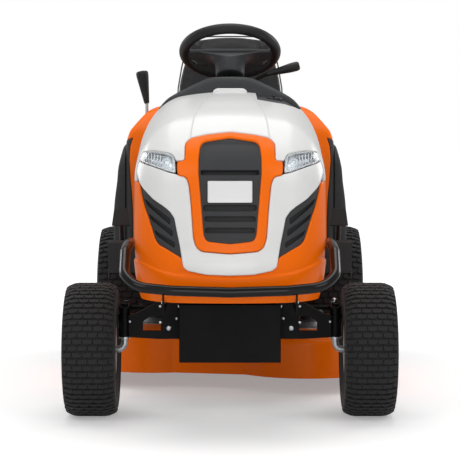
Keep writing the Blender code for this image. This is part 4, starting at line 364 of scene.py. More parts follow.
def softened(outline: Sequence[Flat], radius: float, steps: int = 4) -> list[Flat]:
    """An outline whose corners are rounded.

    Args:
        outline: corner points in order.
        radius: reach of the rounding along each side.
        steps: spans of each rounded corner.

    Returns:
        The rounded outline.
    """
    points = []
    count = len(outline)
    for i in range(count):
        before, corner, after = (Vector(outline[(i + k) % count]) for k in (-1, 0, 1))
        first, last = (corner + way.normalized() * min(radius, 0.45 * way.length)
                       for way in (before - corner, after - corner))
        points += [tuple(place) for place in curve(first, corner, last, steps)]
    return points


def arc(centre: Flat, radius: float, start: float, end: float, steps: int) -> list[Flat]:
    """Points of an arc, angles in degrees."""
    turns = [math.radians(start + (end - start) * i / steps) for i in range(steps + 1)]
    return [(centre[0] + radius * math.cos(a), centre[1] + radius * math.sin(a)) for a in turns]


def rectangle(low: Flat, high: Flat) -> list[Flat]:
    """The corners of a rectangle, in order."""
    return [low, (high[0], low[1]), high, (low[0], high[1])]


def mirrored(points: Sequence[Flat]) -> list[Flat]:
    """An outline given for +X on its way down, closed by its mirror image."""
    return list(points) + [(-x, z) for x, z in reversed(points) if abs(x) > 1e-9]


def bend(points: Sequence[Point], radius: float, steps: int = 8) -> list[Vector]:
    """A path whose inner corners are rounded.

    Args:
        points: corners of the path.
        radius: bend radius.
        steps: spans of each bend.

    Returns:
        Points along the rounded path.
    """
    path = [Vector(points[0])]
    for before, corner, after in zip(points, points[1:], points[2:]):
        corner = Vector(corner)
        into, out = corner - Vector(before), Vector(after) - corner
        reach = min(radius * math.tan(into.angle(out) / 2), 0.48 * into.length, 0.48 * out.length)
        first = corner - into.normalized() * reach
        last = corner + out.normalized() * reach
        path += curve(first, corner, last, steps)
    path.append(Vector(points[-1]))
    return path


def closed_in(test: Field, near: np.ndarray, far: np.ndarray,
              rounds: int) -> tuple[np.ndarray, np.ndarray]:
    """Halves the way between two rows of values to where a test turns false.

    Args:
        test: takes a row of values and says which of them still pass.
        near: values that pass.
        far: values that fail.
        rounds: how often the way is halved.

    Returns:
        The last values that passed and the first that failed.
    """
    for _ in range(rounds):
        middle = (near + far) / 2
        passed = test(middle)
        near = np.where(passed, middle, near)
        far = np.where(passed, far, middle)
    return near, far


class Form:
    """A shape in the making: one bmesh and the operations that the pieces share."""

    def __init__(self) -> None:
        """Starts empty."""
        self.mesh = bmesh.new()

    def copy(self) -> "Form":
        """Another form with the same shape."""
        other = Form()
        other.mesh.free()
        other.mesh = self.mesh.copy()
        return other

    def move(self, verts: Iterable[bmesh.types.BMVert], matrix: Matrix) -> None:
        """Puts some points in place by a matrix."""
        bmesh.ops.transform(self.mesh, matrix=matrix, verts=list(verts))

    def put(self, matrix: Matrix) -> None:
        """Puts the whole form in place by a matrix."""
        self.move(self.mesh.verts, matrix)

    def everything(self) -> list:
        """All points, edges and faces."""
        return self.mesh.verts[:] + self.mesh.edges[:] + self.mesh.faces[:]

    def add(self, other: "Form") -> "Form":
        """Takes in another form, which is used up.

        Args:
            other: form that is joined on.

        Returns:
            This form.
        """
        mesh = bpy.data.meshes.new("part")
        other.mesh.to_mesh(mesh)
        other.mesh.free()
        self.mesh.from_mesh(mesh)
        bpy.data.meshes.remove(mesh)
        return self

    def bevelled(self, edges: Sequence[bmesh.types.BMEdge], offset: float,
                 segments: int = 2) -> None:
        """Rounds some edges."""
        bmesh.ops.bevel(self.mesh, geom=edges, offset=offset, segments=segments, profile=0.5,
                        affect="EDGES", material=-1)

    def split_along(self, axis: int, cuts: int) -> None:
        """Cuts each edge that runs along an axis into equal spans."""
        edges = [e for e in self.mesh.edges
                 if abs((e.verts[0].co - e.verts[1].co).normalized()[axis]) > 0.9]
        bmesh.ops.subdivide_edges(self.mesh, edges=edges, cuts=cuts, use_grid_fill=True)

    def bar(self, start: Sequence[float], end: Sequence[float], radius: float, sides: int = 24,
            end_radius: Optional[float] = None, edge: float = 0.0) -> "Form":
        """Adds a straight round bar or cone.

        Args:
            start: centre of the first end.
            end: centre of the other end.
            radius: radius at the first end.
            sides: facets round it.
            end_radius: radius at the other end, the same where left out.
            edge: rounding of the end rims.

        Returns:
            This form.
        """
        start, end = Vector(start), Vector(end)
        part = Form()
        bmesh.ops.create_cone(part.mesh, cap_ends=True, segments=sides, radius1=radius,
                              radius2=radius if end_radius is None else end_radius,
                              depth=(end - start).length)
        if edge:
            rims = [e for e in part.mesh.edges if any(len(f.verts) > 4 for f in e.link_faces)]
            part.bevelled(rims, edge)
        turn = (end - start).to_track_quat("Z", "Y").to_matrix().to_4x4()
        part.put(Matrix.Translation((start + end) / 2) @ turn)
        return self.add(part)

    def block(self, low: Sequence[float], high: Sequence[float], edge: float = 0.0,
              segments: int = 2) -> "Form":
        """Adds a box between two corners, with rounded edges.

        Args:
            low: lowest corner.
            high: highest corner.
            edge: rounding of its edges.
            segments: facets of the rounding.

        Returns:
            This form.
        """
        part = Form()
        bmesh.ops.create_cube(part.mesh, size=1.0)
        size = Matrix.Diagonal((*(b - a for a, b in zip(low, high)), 1.0))
        part.put(size)
        if edge:
            part.bevelled(part.mesh.edges[:], edge, segments)
        middle = Matrix.Translation([(a + b) / 2 for a, b in zip(low, high)])
        part.put(middle)
        return self.add(part)

    def ball(self, centre: Sequence[float], radius: float, sides: int = 20) -> "Form":
        """Adds a sphere.

        Args:
            centre: its middle.
            radius: its radius.
            sides: facets round it.

        Returns:
            This form.
        """
        part = Form()
        bmesh.ops.create_uvsphere(part.mesh, u_segments=sides, v_segments=sides // 2, radius=radius)
        part.put(Matrix.Translation(centre))
        return self.add(part)

    def slab(self, outline: Sequence[Flat], plane: Plane, low: float, high: float,
             edge: float = 0.0, segments: int = 2) -> "Form":
        """Adds a flat outline given depth.

        Args:
            outline: corner points in the plane.
            plane: view that the outline is drawn in.
            low: lowest depth.
            high: highest depth.
            edge: rounding of both rims.
            segments: facets of the rounding.

        Returns:
            This form.
        """
        part = Form()
        across, up, deep = plane.value
        verts = []
        for a, b in outline:
            place = [0.0, 0.0, 0.0]
            place[across], place[up], place[deep] = a, b, low
            verts.append(part.mesh.verts.new(place))
        base = part.mesh.faces.new(verts)
        raised = bmesh.ops.extrude_face_region(part.mesh, geom=[base])
        shift = [0.0, 0.0, 0.0]
        shift[deep] = high - low
        bmesh.ops.translate(part.mesh, vec=shift,
                            verts=[v for v in raised["geom"] if isinstance(v, bmesh.types.BMVert)])
        bmesh.ops.recalc_face_normals(part.mesh, faces=part.mesh.faces)
        if edge:
            rims = [e for e in part.mesh.edges
                    if abs(e.verts[0].co[deep] - e.verts[1].co[deep]) < 1e-7]
            part.bevelled(rims, edge, segments)
        return self.add(part)

    def lathe(self, profile: Sequence[Flat], centre: Sequence[float], direction: Sequence[float],
              steps: int = 48) -> "Form":
        """Adds a closed profile of (radius, height) points spun about an axis.

        Args:
            profile: points of the section.
            centre: where height 0 of the axis lies.
            direction: where the axis points.
            steps: facets round it.

        Returns:
            This form.
        """
        part = Form()
        verts = [part.mesh.verts.new((max(r, 0.0), 0.0, h)) for r, h in profile]
        edges = [part.mesh.edges.new(pair) for pair in zip(verts, verts[1:] + verts[:1])]
        bmesh.ops.spin(part.mesh, geom=verts + edges, cent=(0, 0, 0), axis=(0, 0, 1),
                       angle=2 * math.pi, steps=steps, use_merge=True)
        bmesh.ops.remove_doubles(part.mesh, verts=part.mesh.verts, dist=0.00002)
        bmesh.ops.dissolve_degenerate(part.mesh, edges=part.mesh.edges, dist=0.00002)
        part.face_outward()
        turn = Vector(direction).to_track_quat("Z", "Y").to_matrix().to_4x4()
        part.put(Matrix.Translation(centre) @ turn)
        return self.add(part)

    def pipe(self, path: Sequence[Sequence[float]], radius: float, sides: int = 16,
             cyclic: bool = False) -> "Form":
        """Adds a round tube along a path by extruding a ring from point to point.

        Args:
            path: points of its middle line.
            radius: radius of the tube.
            sides: facets round it.
            cyclic: whether the path is a closed line.

        Returns:
            This form.
        """
        part = Form()
        points = [Vector(p) for p in path]
        count = len(points)
        tangents = []
        for i in range(count):
            if cyclic:
                way = points[(i + 1) % count] - points[i - 1]
            else:
                way = points[min(i + 1, count - 1)] - points[max(i - 1, 0)]
            tangents.append(way.normalized())
        made = bmesh.ops.create_circle(part.mesh, cap_ends=not cyclic, segments=sides,
                                       radius=radius)
        turn = tangents[0].to_track_quat("Z", "Y")
        part.move(made["verts"], Matrix.Translation(points[0]) @ turn.to_matrix().to_4x4())
        ring = list(part.mesh.edges)
        first = ring
        for i in range(1, count):
            grown = bmesh.ops.extrude_edge_only(part.mesh, edges=ring)["geom"]
            verts = [g for g in grown if isinstance(g, bmesh.types.BMVert)]
            lean = tangents[i - 1].rotation_difference(tangents[i]).to_matrix().to_4x4()
            shift = Matrix.Translation(points[i]) @ lean @ Matrix.Translation(-points[i - 1])
            part.move(verts, shift)
            held = set(verts)
            ring = [g for g in grown if isinstance(g, bmesh.types.BMEdge)
                    and g.verts[0] in held and g.verts[1] in held]
        if cyclic:
            bmesh.ops.bridge_loops(part.mesh, edges=first + ring)
        else:
            bmesh.ops.holes_fill(part.mesh, edges=ring, sides=sides)
        part.face_outward()
        return self.add(part)

    def face_outward(self) -> "Form":
        """Turns the faces of each closed shape outward.

        Returns:
            This form.
        """
        bmesh.ops.recalc_face_normals(self.mesh, faces=self.mesh.faces)
        if self.mesh.calc_volume(signed=True) < 0:
            bmesh.ops.reverse_faces(self.mesh, faces=self.mesh.faces)
        return self

    def points(self) -> np.ndarray:
        """All points as rows."""
        return np.array([v.co for v in self.mesh.verts])

    def contour(self, field: Field, level: float) -> "Form":
        """Cuts edges into the surface where a field has a value.

        Args:
            field: takes points as rows and gives one value for each.
            level: value that the cut follows.

        Returns:
            This form.
        """
        self.mesh.verts.index_update()
        points = self.points()
        values = field(points) - level
        values[np.abs(values) < 1e-7] = 1e-7
        edges = list(self.mesh.edges)
        ends = np.array([(e.verts[0].index, e.verts[1].index) for e in edges])
        crossing = np.nonzero(values[ends[:, 0]] * values[ends[:, 1]] < 0)[0]
        if not len(crossing):
            return self
        first, last = points[ends[crossing, 0]], points[ends[crossing, 1]]
        sign = np.sign(values[ends[crossing, 0]])

        def same_side(row: np.ndarray) -> np.ndarray:
            """Whether the points that far along their edges are on the first end's side."""
            return sign * (field(first + (last - first) * row[:, None]) - level) > 0

        near, far = closed_in(same_side, np.zeros(len(crossing)), np.ones(len(crossing)), 12)
        fresh = {}
        for index, share in zip(crossing, (near + far) / 2):
            edge = edges[index]
            _, vert = bmesh.utils.edge_split(edge, edge.verts[0], float(share))
            fresh[vert] = None
        faces = dict.fromkeys(f for v in fresh for f in v.link_faces)
        for face in faces:
            marks = [loop.vert for loop in face.loops if loop.vert in fresh]
            pieces = [face]
            for one, other in zip(marks[::2], marks[1::2]):
                for part in pieces:
                    if one in part.verts and other in part.verts:
                        made = bmesh.utils.face_split(part, one, other)
                        pieces.append(made[0])
                        break
        return self

    def trimmed(self, field: Field, radius: float, flange: float) -> "Form":
        """Keeps the surface where a field is positive, and rounds its open borders.

        Args:
            field: distance inside the kept surface, from rows of points.
            radius: radius of the rims, which turn inward.
            flange: depth of the return behind the rims.

        Returns:
            This form.
        """
        for turn in (0, 30, 60, 90):
            self.contour(field, radius * (1 - math.cos(math.radians(turn))))
        self.mesh.faces.ensure_lookup_table()
        middles = np.array([f.calc_center_median() for f in self.mesh.faces])
        outside = np.nonzero(field(middles) < 0)[0]
        bmesh.ops.delete(self.mesh, geom=[self.mesh.faces[i] for i in outside], context="FACES")
        self.mesh.normal_update()
        border = [e for e in self.mesh.edges if len(e.link_faces) == 1]
        rim = dict.fromkeys(v for e in border for v in e.verts)
        ways = {v: v.normal.copy() for v in rim}
        values = np.clip(field(self.points()), 0, radius)
        sink = radius - np.sqrt(np.maximum(radius ** 2 - (radius - values) ** 2, 0))
        normals = [v.normal.copy() for v in self.mesh.verts]
        for vert, way, depth in zip(self.mesh.verts, normals, sink):
            vert.co -= way * float(depth)
        grown = bmesh.ops.extrude_edge_only(self.mesh, edges=border)["geom"]
        for vert in (g for g in grown if isinstance(g, bmesh.types.BMVert)):
            aims = [e.other_vert(vert) for e in vert.link_edges if e.other_vert(vert) in ways]
            near = min(aims, key=lambda v: (v.co - vert.co).length)
            vert.co -= ways[near] * flange
        return self

    def keep_side(self, spot: Sequence[float], way: Sequence[float]) -> "Form":
        """Cuts by a plane and keeps what lies on the side that way points to.

        Args:
            spot: point of the plane.
            way: normal of the plane.

        Returns:
            This form.
        """
        bmesh.ops.bisect_plane(self.mesh, geom=self.everything(),
                               dist=2e-5, plane_co=spot, plane_no=way, clear_inner=True)
        return self

    def aimed(self, way: Sequence[float]) -> "Form":
        """Turns the faces of an open surface towards a direction.

        Args:
            way: direction that the faces look to.

        Returns:
            This form.
        """
        self.mesh.normal_update()
        total = sum((f.normal * f.calc_area() for f in self.mesh.faces), Vector())
        if total.dot(Vector(way)) < 0:
            bmesh.ops.reverse_faces(self.mesh, faces=self.mesh.faces)
        self.mesh.normal_update()
        return self

    def grid(self, low: Flat, high: Flat, cell: float) -> "Form":
        """Adds a flat grid seen from the front, as (X, Z), at Y = 0.

        Args:
            low: lowest corner.
            high: highest corner.
            cell: size of its facets.

        Returns:
            This form.
        """
        size = [b - a for a, b in zip(low, high)]
        made = bmesh.ops.create_grid(self.mesh, x_segments=max(2, round(size[0] / cell)),
                                     y_segments=max(2, round(size[1] / cell)), size=0.5)
        place = Matrix(((size[0], 0, 0, (low[0] + high[0]) / 2), (0, 0, 1, 0),
                        (0, size[1], 0, (low[1] + high[1]) / 2), (0, 0, 0, 1)))
        self.move(made["verts"], place)
        return self

    def raised(self, lift: Field) -> "Form":
        """Moves every point outward along its normal.

        Args:
            lift: takes all points as rows and gives their heights.

        Returns:
            This form.
        """
        self.mesh.normal_update()
        ways = np.array([v.normal for v in self.mesh.verts]) * lift(self.points())[:, None]
        for vert, way in zip(self.mesh.verts, ways):
            vert.co += Vector(way)
        return self

    def cleaned(self, distance: float) -> "Form":
        """Merges points closer than a distance.

        Args:
            distance: how close they are.

        Returns:
            This form.
        """
        bmesh.ops.remove_doubles(self.mesh, verts=self.mesh.verts, dist=distance)
        bmesh.ops.dissolve_degenerate(self.mesh, edges=self.mesh.edges, dist=distance / 4)
        return self

    def flipped(self) -> "Form":
        """Mirrors the form across the middle of the tractor.

        Returns:
            This form.
        """
        self.put(Matrix.Diagonal((-1, 1, 1, 1)))
        bmesh.ops.reverse_faces(self.mesh, faces=self.mesh.faces)
        return self


@dataclass(frozen=True)
class Shell:
    """How an open surface gets its wall, and how rims and edges are rounded."""

    wall: float = 0.0
    edge: float = 0.0
    segments: int = 2
    sharp: float = 35.0


# Walls and edges of the kinds of part: enamelled panel, thin moulding, inner lining (the black
# sheets of painted shade inside the hood), thick cowl, soft round part and turned part.
PANEL = Shell(wall=0.0016)
THIN_MOULDING = Shell(wall=0.0012)
LINING = Shell(wall=0.001)
COWL = Shell(wall=0.0018)
ROUND = Shell(sharp=60)
TURNED = Shell(sharp=40)


def placed(form: Form, name: str) -> bpy.types.Object:
    """Links a form as an object of that name, which uses the form up.

    Args:
        form: shape of the object.
        name: name of the object and its mesh.

    Returns:
        The new object.
    """
    mesh = bpy.data.meshes.new(name)
    form.mesh.to_mesh(mesh)
    form.mesh.free()
    piece = bpy.data.objects.new(name, mesh)
    bpy.context.scene.collection.objects.link(piece)
    return piece


def finished(form: Form, name: str, finish: "Finish | ClearLens", body: str,
             replaces: Sequence[str] = (), slot: str = "",
             shell: Shell = Shell()) -> bpy.types.Object:
    """Turns a form into a named piece that rides on a body.

    Args:
        form: shape, which is used up.
        name: name of the piece.
        finish: what it is made of.
        body: CAD body that carries it.
        replaces: CAD nodes that it stands for.
        slot: material slot of the record; not used.
        shell: wall thickness and rounding.

    Returns:
        The new object.
    """
    piece = placed(form, name)
    mesh = piece.data
    mesh.shade_smooth()
    if not shell.wall:
        mesh.set_sharp_from_angle(angle=math.radians(shell.sharp))
    mesh.materials.append(finish.material())
    if shell.wall:
        wall = piece.modifiers.new("wall", "SOLIDIFY")
        wall.thickness = shell.wall
        wall.offset = -1.0
        wall.thickness_clamp = 1.0
    if shell.edge:
        rounding = piece.modifiers.new("edge", "BEVEL")
        rounding.width = shell.edge
        rounding.segments = shell.segments
        rounding.limit_method = "ANGLE"
        rounding.angle_limit = math.radians(40)
        rounding.harden_normals = True
    if shell.wall and not shell.edge:
        crisp = piece.modifiers.new("crisp", "EDGE_SPLIT")
        crisp.split_angle = math.radians(50)
    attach(piece, body)
    if replaces:
        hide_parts(*replaces)
    slot or getattr(finish, "slot", "")
    LOG.info("%s: %d faces on %s", name, len(mesh.polygons), body)
    return piece


def hermite(values: np.ndarray, line: Sequence[Flat]) -> np.ndarray:
    """A smooth curve through (value, result) pairs, straight beyond its ends.

    Args:
        values: where to read the curve.
        line: pairs in rising order.

    Returns:
        The curve at each value.
    """
    xs, ys = np.array(line).T
    low = np.maximum(np.arange(len(xs)) - 1, 0)
    high = np.minimum(np.arange(len(xs)) + 1, len(xs) - 1)
    slope = (ys[high] - ys[low]) / (xs[high] - xs[low])
    i = np.clip(np.searchsorted(xs, values, side="right") - 1, 0, len(xs) - 2)
    span = xs[i + 1] - xs[i]
    s = (values - xs[i]) / span
    inside = (ys[i] * (2 * s ** 3 - 3 * s ** 2 + 1) + slope[i] * span * (s ** 3 - 2 * s ** 2 + s)
              + ys[i + 1] * (3 * s ** 2 - 2 * s ** 3) + slope[i + 1] * span * (s ** 3 - s ** 2))
    below = ys[0] + slope[0] * (values - xs[0])
    above = ys[-1] + slope[-1] * (values - xs[-1])
    return np.where(values <= xs[0], below, np.where(values >= xs[-1], above, inside))


def meet(a: np.ndarray, b: np.ndarray, radius: float) -> np.ndarray:
    """The larger of two distances, blended by a fillet where they are near."""
    blend = np.hypot(np.maximum(radius + a, 0), np.maximum(radius + b, 0))
    return np.minimum(-radius, np.maximum(a, b)) + blend


def step(values: np.ndarray, low: float, high: float) -> np.ndarray:
    """Smooth rise from 0 to 1 between two limits."""
    t = np.clip((values - low) / (high - low), 0, 1)
    return t * t * (3 - 2 * t)


def outline_distance(a: np.ndarray, b: np.ndarray, outline: Sequence[Flat]) -> np.ndarray:
    """Signed distance of flat points to an outline, negative inside.

    Args:
        a: first coordinate of each point.
        b: second coordinate of each point.
        outline: corner points in order.

    Returns:
        The distances.
    """
    best = np.full(a.shape, 1e9)
    inside = np.zeros(a.shape, bool)
    for (ax, ay), (bx, by) in zip(outline, list(outline[1:]) + [outline[0]]):
        ex, ey = bx - ax, by - ay
        length = ex * ex + ey * ey
        if length < 1e-14:
            continue
        t = np.clip(((a - ax) * ex + (b - ay) * ey) / length, 0, 1)
        best = np.minimum(best, (a - ax - ex * t) ** 2 + (b - ay - ey * t) ** 2)
        if ay != by:
            crossing = (ay > b) != (by > b)
            inside ^= crossing & (a < ex * (b - ay) / (by - ay) + ax)
    return np.where(inside, -np.sqrt(best), np.sqrt(best))


def inset(outline: Sequence[Flat], distance: float) -> list[Flat]:
    """An outline moved inward by a distance, or outward where it is negative.

    Args:
        outline: corner points in order.
        distance: how far it moves.

    Returns:
        The moved outline.
    """
    points = list(outline)
    area = sum(p[0] * q[1] - q[0] * p[1] for p, q in zip(points, points[1:] + points[:1]))
    side = 1.0 if area > 0 else -1.0
    moved = []
    for before, point, after in zip(points[-1:] + points[:-1], points, points[1:] + points[:1]):
        p, q, r = Vector(before), Vector(point), Vector(after)
        first = Vector((-(q - p).y, (q - p).x)).normalized() * side
        second = Vector((-(r - q).y, (r - q).x)).normalized() * side
        middle = (first + second).normalized()
        moved.append(tuple(q + middle * distance * min(1 / max(middle.dot(first), 0.35), 2.5)))
    return moved


@dataclass(frozen=True)
class Span:
    """A box of space with the core that a skin is seen from."""

    low: Point
    high: Point
    core_low: Point
    core_high: Point


def skin(distance: Callable[[np.ndarray], np.ndarray], span: Span, cell: float) -> Form:
    """A closed skin where a distance field is zero, from a subdivided cube.

    Args:
        distance: takes points as rows and gives how far outside they are.
        span: box round the shape, and the core inside it.
        cell: size of the facets.

    Returns:
        The form, with its faces outward.
    """
    form = Form()
    bmesh.ops.create_cube(form.mesh, size=1.0)
    size = [b - a for a, b in zip(span.low, span.high)]
    for axis in range(3):
        form.split_along(axis, max(1, round(size[axis] / cell) - 1))
    places = np.array(span.low) + (form.points() + 0.5) * np.array(size)
    core = np.clip(places, span.core_low, span.core_high)
    way = places - core
    near, _ = closed_in(lambda row: distance(core + way * row[:, None]) <= 0,
                        np.zeros(len(way)), np.full(len(way), 1.8), 30)
    for vert, place in zip(form.mesh.verts, core + way * near[:, None]):
        vert.co = place
    return form.face_outward()


def moulding(front: Sequence[Flat], side: Sequence[Flat], radius: float, span: Span,
             cell: float) -> Form:
    """A rounded body with one outline from the front and another from the side.

    Args:
        front: outline as (X, Z).
        side: outline as (Y, Z).
        radius: rounding where the two meet.
        span: box round the body, and its core.
        cell: size of the facets.

    Returns:
        The closed form.
    """
    def field(points: np.ndarray) -> np.ndarray:
        """How far points are outside both outlines."""
        return meet(outline_distance(points[:, 0], points[:, 2], front),
                    outline_distance(points[:, 1], points[:, 2], side), radius)

    return skin(field, span, cell)


FILLER_CORNER = [(0.079, behind(0.135)), (0.135, behind(0.115)), (0.172, behind(0.150)),
                 (0.200, behind(0.260)), (0.214, behind(0.400)), (0.216, behind(0.600)),
                 (0.079, behind(0.600))]


@dataclass(frozen=True)
class HoodShape:
    """The one skin that every hood panel lies on; lengths are behind the front axle."""

    nose: tuple = ((0.340, -0.318), (0.42, -0.332), (0.50, -0.330), (0.60, -0.320),
                   (0.70, -0.305), (0.78, -0.286), (0.90, -0.240))
    crown: tuple = ((-0.40, 0.785), (-0.28, 0.812), (-0.10, 0.862), (0.15, 0.900), (0.45, 0.920))
    width: tuple = ((0.34, 0.234), (0.42, 0.252), (0.50, 0.259), (0.60, 0.260), (0.80, 0.260))
    flare: float = 0.018
    crown_camber: float = 0.62
    nose_camber: float = 0.75
    corner: float = 0.105
    shoulder: float = 0.125

    def distance(self, x: np.ndarray, d: np.ndarray, z: np.ndarray) -> np.ndarray:
        """Distance outside the skin, negative inside.

        Args:
            x: distance from the middle plane.
            d: length behind the front axle.
            z: height above the ground.

        Returns:
            The distance of each point.
        """
        side = np.abs(x) - hermite(z, self.width) - self.flare * np.maximum(0.0, d)
        top = z - hermite(d, self.crown) + self.crown_camber * x * x
        front = hermite(z, self.nose) + self.nose_camber * x * x - d
        return meet(meet(side, front, self.corner), top, self.shoulder)

    def body(self, depth: float, cell: float) -> Form:
        """A closed body whose skin lies that deep under the hood's skin.

        Args:
            depth: how deep it lies.
            cell: size of the facets.

        Returns:
            The closed form.
        """
        def field(points: np.ndarray) -> np.ndarray:
            """How far points are outside the sunk skin, cut off below and behind."""
            inside = self.distance(points[:, 0], points[:, 1] - AXLE_Y, points[:, 2]) + depth
            return np.maximum(inside, np.maximum(points[:, 1] - behind(0.56), 0.31 - points[:, 2]))

        span = Span((-0.27, behind(-0.33), 0.30), (0.27, behind(0.56), 0.93),
                    (0.0, behind(-0.15), 0.60), (0.0, behind(0.40), 0.60))
        return skin(field, span, cell)

    def front_y(self, x: np.ndarray, z: np.ndarray, depth: float) -> np.ndarray:
        """World Y where the skin, sunk by depth, is met from the front."""
        near, _ = closed_in(lambda row: self.distance(x, row, z) > -depth,
                            np.full(x.shape, -0.42), np.full(x.shape, 0.10), 34)
        return AXLE_Y + near

    def edge_x(self, z: float, d: float) -> float:
        """How far out the skin reaches at a height and length."""
        near, _ = closed_in(lambda row: self.distance(row, np.array([d]), np.array([z])) <= 0,
                            np.array([0.10]), np.array([0.32]), 34)
        return float(near[0])


@dataclass
class Hood:
    """The tilting hood: crown, nose, wing, trim, grilles and headlamps."""

    shape: HoodShape = HoodShape()
    body: str = "hood"
    shut: float = 0.0011
    lamp_rear: float = -0.172
    skirt: float = 0.671
    bottom: float = 0.354
    cell: float = 0.0072
    louvres: int = 5
    louvre_pitch: float = 0.066
    trim_outer: tuple = ((0.0, 0.807), (0.063, 0.800), (0.105, 0.791), (0.120, 0.776),
                         (0.120, 0.731), (0.142, 0.729), (0.140, 0.694), (0.116, 0.689),
                         (0.108, 0.668), (0.102, 0.611), (0.096, 0.527), (0.089, 0.504),
                         (0.075, 0.493), (0.0, 0.487))
    trim_inner: tuple = ((0.0, 0.793), (0.069, 0.783), (0.080, 0.771), (0.084, 0.738),
                         (0.084, 0.698), (0.075, 0.594), (0.070, 0.534), (0.062, 0.519),
                         (0.0, 0.512))
    wing_low: tuple = ((0.247, 0.671), (0.234, 0.654), (0.205, 0.627), (0.177, 0.610),
                       (0.160, 0.597), (0.148, 0.580), (0.143, 0.553), (0.134, 0.510),
                       (0.128, 0.474), (0.124, 0.451), (0.112, 0.441), (0.062, 0.431), (0.0, 0.429))
    lamp_line: tuple = ((0.240, 0.751), (0.208, 0.756), (0.165, 0.751), (0.153, 0.746),
                        (0.146, 0.735), (0.143, 0.697), (0.163, 0.701), (0.178, 0.706),
                        (0.207, 0.715), (0.233, 0.722))
    side_grille: tuple = ((0.247, 0.671), (0.241, 0.640), (0.232, 0.607), (0.219, 0.574),
                          (0.201, 0.521), (0.191, 0.508), (0.163, 0.494), (0.128, 0.474),
                          (0.134, 0.510), (0.143, 0.553), (0.148, 0.580), (0.160, 0.597),
                          (0.177, 0.610), (0.205, 0.627), (0.234, 0.654))
    centre_slots: tuple = ((0.693, 0.706, 0.0765), (0.599, 0.614, 0.0695), (0.571, 0.584, 0.0660),
                           (0.541, 0.554, 0.0645))
    chin_line: tuple = ((0.0, 0.425), (0.133, 0.433), (0.171, 0.439), (0.210, 0.451),
                        (0.244, 0.464), (0.30, 0.470))
    side_slots: tuple = (((0.230, 0.628), (0.225, 0.612), (0.160, 0.562), (0.158, 0.577)),
                         ((0.219, 0.589), (0.213, 0.574), (0.153, 0.531), (0.152, 0.546)),
                         ((0.203, 0.546), (0.197, 0.532), (0.147, 0.500), (0.146, 0.514)))

    def below_crease(self, points: np.ndarray) -> np.ndarray:
        """How far rows of points lie below the crease of the chin."""
        return np.interp(np.abs(points[:, 0]), *np.array(self.chin_line).T) - points[:, 2]

    def panel(self, keep: Sequence[Flat], drop: Sequence[Sequence[Flat]], depth: float,
              radius: float, flange: float, lift: Optional[Field] = None,
              cell: float = 0.0035) -> Form:
        """A panel seen from the front, snapped on the hood's skin, with rounded rims.

        Args:
            keep: outline of the panel as (X, Z).
            drop: outlines of the openings in it.
            depth: how deep the panel lies under the skin.
            radius: radius of its rims.
            flange: depth of the return behind the rims.
            lift: how far each point stands out further, from rows of points.
            cell: size of the facets.

        Returns:
            The form.
        """
        def field(points: np.ndarray) -> np.ndarray:
            """How far points are inside the panel and clear of its openings.

            Args:
                points: rows of points.

            Returns:
                The distance of each point, negative outside.
            """
            inside = -outline_distance(points[:, 0], points[:, 2], keep)
            for hole in drop:
                inside = np.minimum(inside, outline_distance(points[:, 0], points[:, 2], hole))
            return inside

        form = Form()
        low = tuple(min(p[k] for p in keep) - 0.003 for k in (0, 1))
        high = tuple(max(p[k] for p in keep) + 0.003 for k in (0, 1))
        form.grid(low, high, cell)
        points = form.points()
        for vert, y in zip(form.mesh.verts, self.shape.front_y(points[:, 0], points[:, 2], depth)):
            vert.co.y = y
        form.aimed(FORWARD)
        if lift is not None:
            form.raised(lift)
        return form.trimmed(field, radius, flange)

    def strip(self, first: Sequence[Flat], first_depth: float, last: Sequence[Flat],
              last_depth: float) -> Form:
        """A band between two outlines with as many points, at two depths under the skin.

        Args:
            first: outline of the first border.
            first_depth: how deep that border lies.
            last: outline of the other border.
            last_depth: how deep that one lies.

        Returns:
            The band, facing forward.
        """
        form = Form()
        loops = []
        for outline, depth in ((first, first_depth), (last, last_depth)):
            flat = np.array(outline)
            ys = self.shape.front_y(flat[:, 0], flat[:, 1], depth)
            verts = [form.mesh.verts.new((x, y, z)) for (x, z), y in zip(outline, ys)]
            loops += [form.mesh.edges.new(pair) for pair in zip(verts, verts[1:] + verts[:1])]
        bmesh.ops.bridge_loops(form.mesh, edges=loops)
        return form.aimed(FORWARD)

    def on_skin(self, x: float, z: float, depth: float) -> Point:
        """The place under the skin that a point seen from the front falls on."""
        return x, float(self.shape.front_y(np.array([x]), np.array([z]), depth)[0]), z

    def trim(self, margin: float = 0.0) -> list[Flat]:
        """The outer outline of the orange trim, with its corners rounded."""
        return inset(softened(mirrored(self.trim_outer), 0.008), margin)

    def lamp(self, margin: float = 0.0) -> list[Flat]:
        """The outline of the left headlamp."""
        low, high = ((self.shape.edge_x(z, self.lamp_rear), z) for z in (0.730, 0.745))
        return inset(softened([high, *self.lamp_line, low], 0.0045), margin)

    def wing_outline(self) -> list[Flat]:
        """The outer outline of the white wing.

        Returns:
            The outline as (X, Z).
        """
        rear = [(self.shape.edge_x(z, self.lamp_rear), z) for z in (0.7285, 0.700)]
        half = [(0.0, 0.694), (0.1400, 0.694), (0.1432, 0.696), (0.163, 0.700), (0.178, 0.705),
                (0.207, 0.714), (0.233, 0.721), *rear, *self.wing_low]
        return softened(mirrored(half), 0.005)

    def build(self) -> None:
        """Builds the hood's pieces."""
        self.build_crown()
        self.build_nose()
        self.build_front()
        self.build_lamps()

    def raise_bulge(self, form: Form) -> None:
        """Raises the middle of the crown behind two soft creases that run together.

        Args:
            form: crown that is raised.
        """
        line = [(-0.30, 0.118), (-0.237, 0.110), (-0.140, 0.100), (0.017, 0.083), (0.138, 0.071),
                (0.46, 0.050)]
        lengths, widths = (np.array(row) for row in zip(*line))

